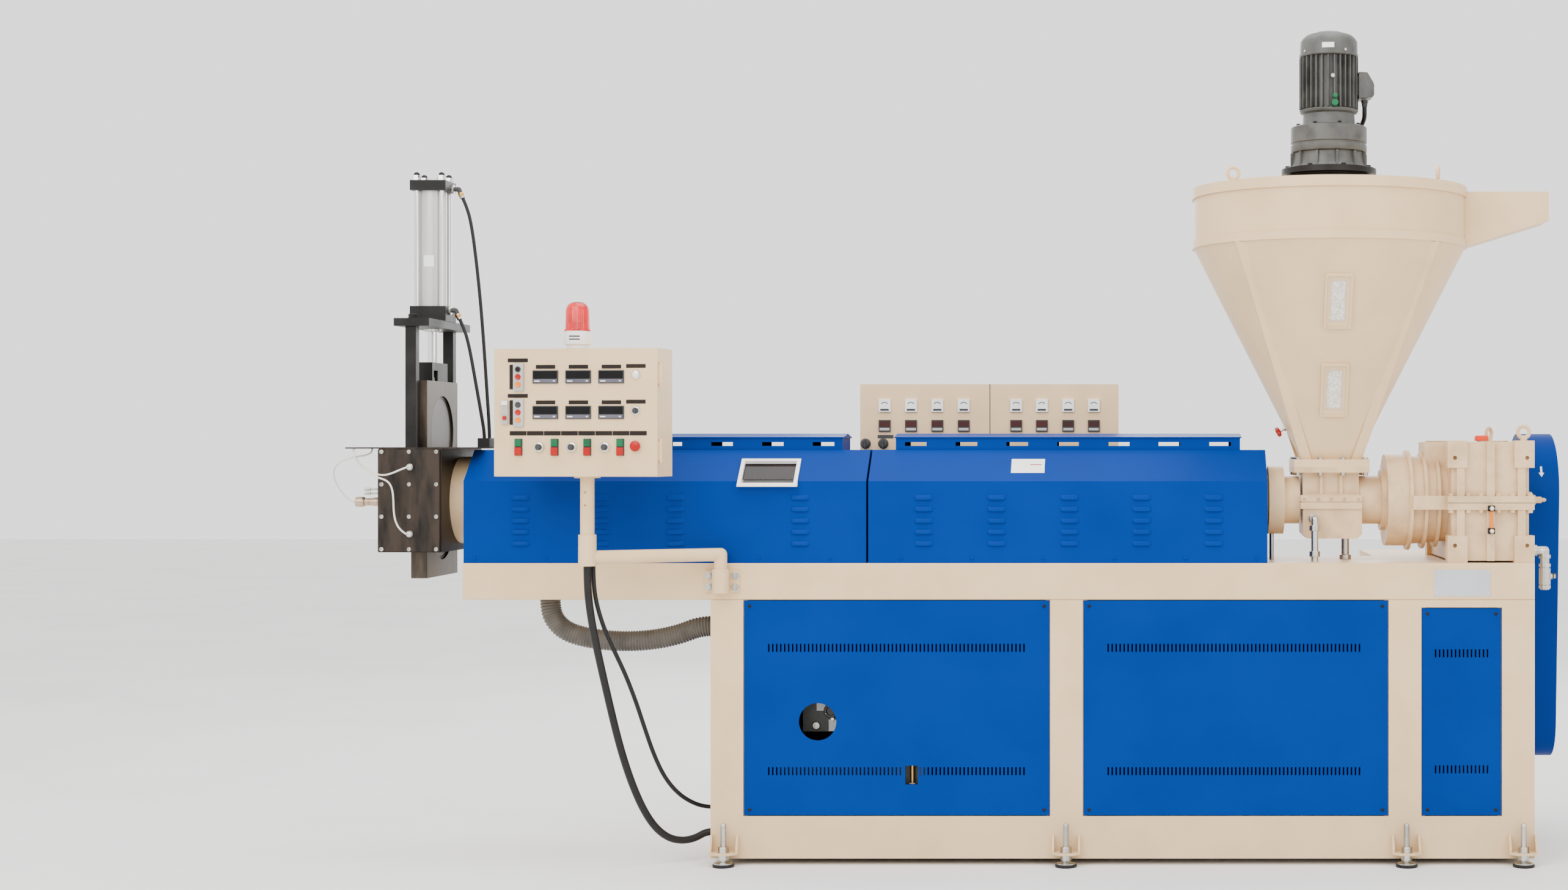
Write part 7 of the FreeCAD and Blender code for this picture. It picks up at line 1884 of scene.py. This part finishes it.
CORDS = (
    Cord("control_cable", RUBBER, 14.0, 1.344, "medium", (
        (-405.9, -270.3, 1153.0), (-405.9, -270.3, 1080), (-397, -267, 985), (-381, -252, 875),
        (-360, -230, 755),
        (-338, -203, 630), (-316, -171, 505), (-293, -136, 395), (-268, -98, 298), (-241, -58, 215),
        (-208, -17, 146), (-166, 24, 99), (-118, 62, 82), (-73, 90, 88), (-36, 110, 110), (0, 110, 110)),
        Sheath.JOINTED),
    Cord("signal_cable", RUBBER, 8.0, 1.170, "medium", (
        (-388, -252, 1153), (-388, -252, 1085), (-376, -247, 1005), (-352, -230, 915), (-322, -204, 835),
        (-288, -170, 745), (-257, -132, 640), (-232, -94, 535), (-206, -54, 430), (-174, -8, 335),
        (-131, 44, 264), (-82, 92, 221), (-38, 130, 201), (4, 130, 201)), Sheath.JOINTED),
    Cord("cable_duct", DUCT, 40.0, 0.744, "stiff", (
        (-640, 120, 1010), (-640, 120, 968), (-622, 120, 920), (-578, 119, 880), (-508, 118, 858),
        (-418, 117, 845), (-320, 116, 842), (-222, 115, 851), (-132, 115, 872), (-60, 115, 902),
        (4, 115, 902)),
        Sheath.RIBBED),
    Cord("hose_upper", RUBBER, 6.5, 0.985, "medium", (
        (-1033, 310, 2572), (-1013, 310, 2527), (-998, 312, 2455), (-986, 315, 2360), (-976, 318, 2265),
        (-967, 321, 2165), (-959, 323, 2062), (-952, 324, 1960), (-945, 323, 1860), (-938, 320, 1765),
        (-932, 316, 1690), (-929, 313, 1640), (-929, 313, 1596))),
    Cord("hose_lower", RUBBER, 6.5, 0.508, "medium", (
        (-1033, 270, 2092), (-1013, 270, 2047), (-998, 268, 1992), (-984, 265, 1925), (-970, 262, 1850),
        (-956, 260, 1775), (-944, 260, 1705), (-935, 264, 1645), (-935, 264, 1596))),
    Cord("heater_lead_upper", BRAID, 3.5, 0.317, "limp", (
        (-1145, -22, 1516), (-1145, -35, 1516), (-1156, -45, 1511), (-1173, -48, 1504), (-1196, -47, 1494),
        (-1223, -44, 1486), (-1248, -38, 1486), (-1273, -25, 1492), (-1301, -5, 1503), (-1331, 15, 1520),
        (-1357, 30, 1542), (-1374, 40, 1565), (-1374, 40, 1586))),
    Cord("heater_lead_lower", BRAID, 3.5, 0.467, "limp", (
        (-1145, -22, 1261), (-1145, -36, 1261), (-1153, -46, 1267), (-1165, -49, 1278), (-1178, -48, 1294),
        (-1189, -46, 1320), (-1194, -44, 1360), (-1195, -43, 1403), (-1200, -44, 1438), (-1213, -46, 1461),
        (-1236, -44, 1472), (-1262, -37, 1478), (-1289, -22, 1487), (-1318, -4, 1503), (-1346, 11, 1526),
        (-1367, 27, 1556), (-1367, 27, 1586))),
    Cord("sensor_lead", BRAID, 3.5, 0.364, "limp", (
        (-1404, 150, 1380), (-1417, 150, 1380), (-1433, 150, 1391), (-1449, 149, 1407), (-1464, 148, 1428),
        (-1477, 146, 1451), (-1485, 143, 1475), (-1486, 139, 1498), (-1476, 134, 1518), (-1458, 127, 1534),
        (-1433, 119, 1545), (-1402, 110, 1552), (-1370, 102, 1556), (-1346, 96, 1560), (-1328, 92, 1567),
        (-1319, 90, 1576), (-1319, 90, 1586))),
    Cord("motor_cable", RUBBER, 9.0, 0.388, "medium", (
        (2521, 290, 2928), (2521, 290, 2908), (2522, 306, 2890), (2519, 324, 2877), (2516, 346, 2869),
        (2514, 370, 2863), (2513, 396, 2851), (2511, 416, 2828), (2510, 430, 2797), (2510, 440, 2763),
        (2511, 447, 2728), (2512, 451, 2692), (2512, 454, 2655), (2512, 454, 2618))),
)


def join_to_arm(name: str) -> None:
    """Take a cable that hangs from the arm off its body and bake its place into its mesh.

    Args:
        name: The cable's piece.
    """
    piece = bpy.data.objects[f"{name}_run"]
    piece.parent = None
    top, foot = Drawing.metres((-390.0, -250.0, 1120.0)), Drawing.metres((-120.0, 60.0, 120.0))
    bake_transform(piece)


# ---------------------------------------------------------------- studio
@dataclass
class Studio:
    """Pale floor, soft lights and the camera."""

    eye: Point = (1600.0, -8800.0, 1600.0)
    lens: float = 53.03
    shift_x: float = -0.221

    def build(self) -> None:
        """Build the studio."""
        bpy.ops.mesh.primitive_plane_add(size=60.0, location=(0.0, 0.0, 0.0))
        floor = bpy.context.object
        floor.name = "studio_floor"
        floor.data.materials.append(STAGE.material())
        world = bpy.data.worlds.new("studio")
        world.use_nodes = True
        world.node_tree.nodes["Background"].inputs["Color"].default_value = (1.0, 1.0, 1.0, 1.0)
        world.node_tree.nodes["Background"].inputs["Strength"].default_value = 1.8
        bpy.context.scene.world = world
        self.light("key", (-2.4, -5.6, 5.2), 4.5, 320.0)
        self.light("fill", (4.6, -5.8, 3.4), 4.0, 120.0)
        self.light("top", (0.4, -0.6, 6.6), 5.0, 260.0)
        self.light("rear", (0.6, 6.4, 4.2), 4.5, 200.0)
        self.camera()

    @staticmethod
    def light(name: str, at: Point, size: float, power: float) -> None:
        """A square soft light that looks at the middle of the machine.

        Args:
            name: Its name.
            at: Where it hangs, in metres.
            size: Its side, in metres.
            power: Its power in watts.
        """
        lamp = bpy.data.lights.new(name, "AREA")
        lamp.size = size
        lamp.energy = power
        holder = bpy.data.objects.new(name, lamp)
        holder.location = at
        holder.rotation_euler = (Vector((0.3, 0.0, 1.3)) - Vector(at)).to_track_quat("-Z", "Y").to_euler()
        bpy.context.scene.collection.objects.link(holder)

    def camera(self) -> None:
        """Level camera that looks straight at the machine's front, shifted to frame it."""
        eye = bpy.data.cameras.new("camera")
        eye.lens = self.lens
        eye.sensor_width = 36.0
        eye.shift_x = self.shift_x
        eye.clip_end = 200.0
        holder = bpy.data.objects.new("camera", eye)
        holder.location = tuple(Drawing.metres(self.eye))
        holder.rotation_euler = (math.pi / 2.0, 0.0, 0.0)
        bpy.context.scene.collection.objects.link(holder)
        bpy.context.scene.camera = holder


def main() -> None:
    """Build every class in order."""
    logging.basicConfig(level=logging.INFO, format="%(message)s")
    Drawing.learn()
    Studio().build()
    for cord in CORDS:
        cord.build()
    for name in ("control_cable", "signal_cable"):
        join_to_arm(name)
    for part in (Base(), HydraulicUnit(), BarrelCovers(), ScreenChanger(), Hopper(), Gearmotor(), Drive(),
                 ControlPanel(), Cabinet()):
        part.build()


if __name__ == "__main__":
    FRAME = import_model()
    main()
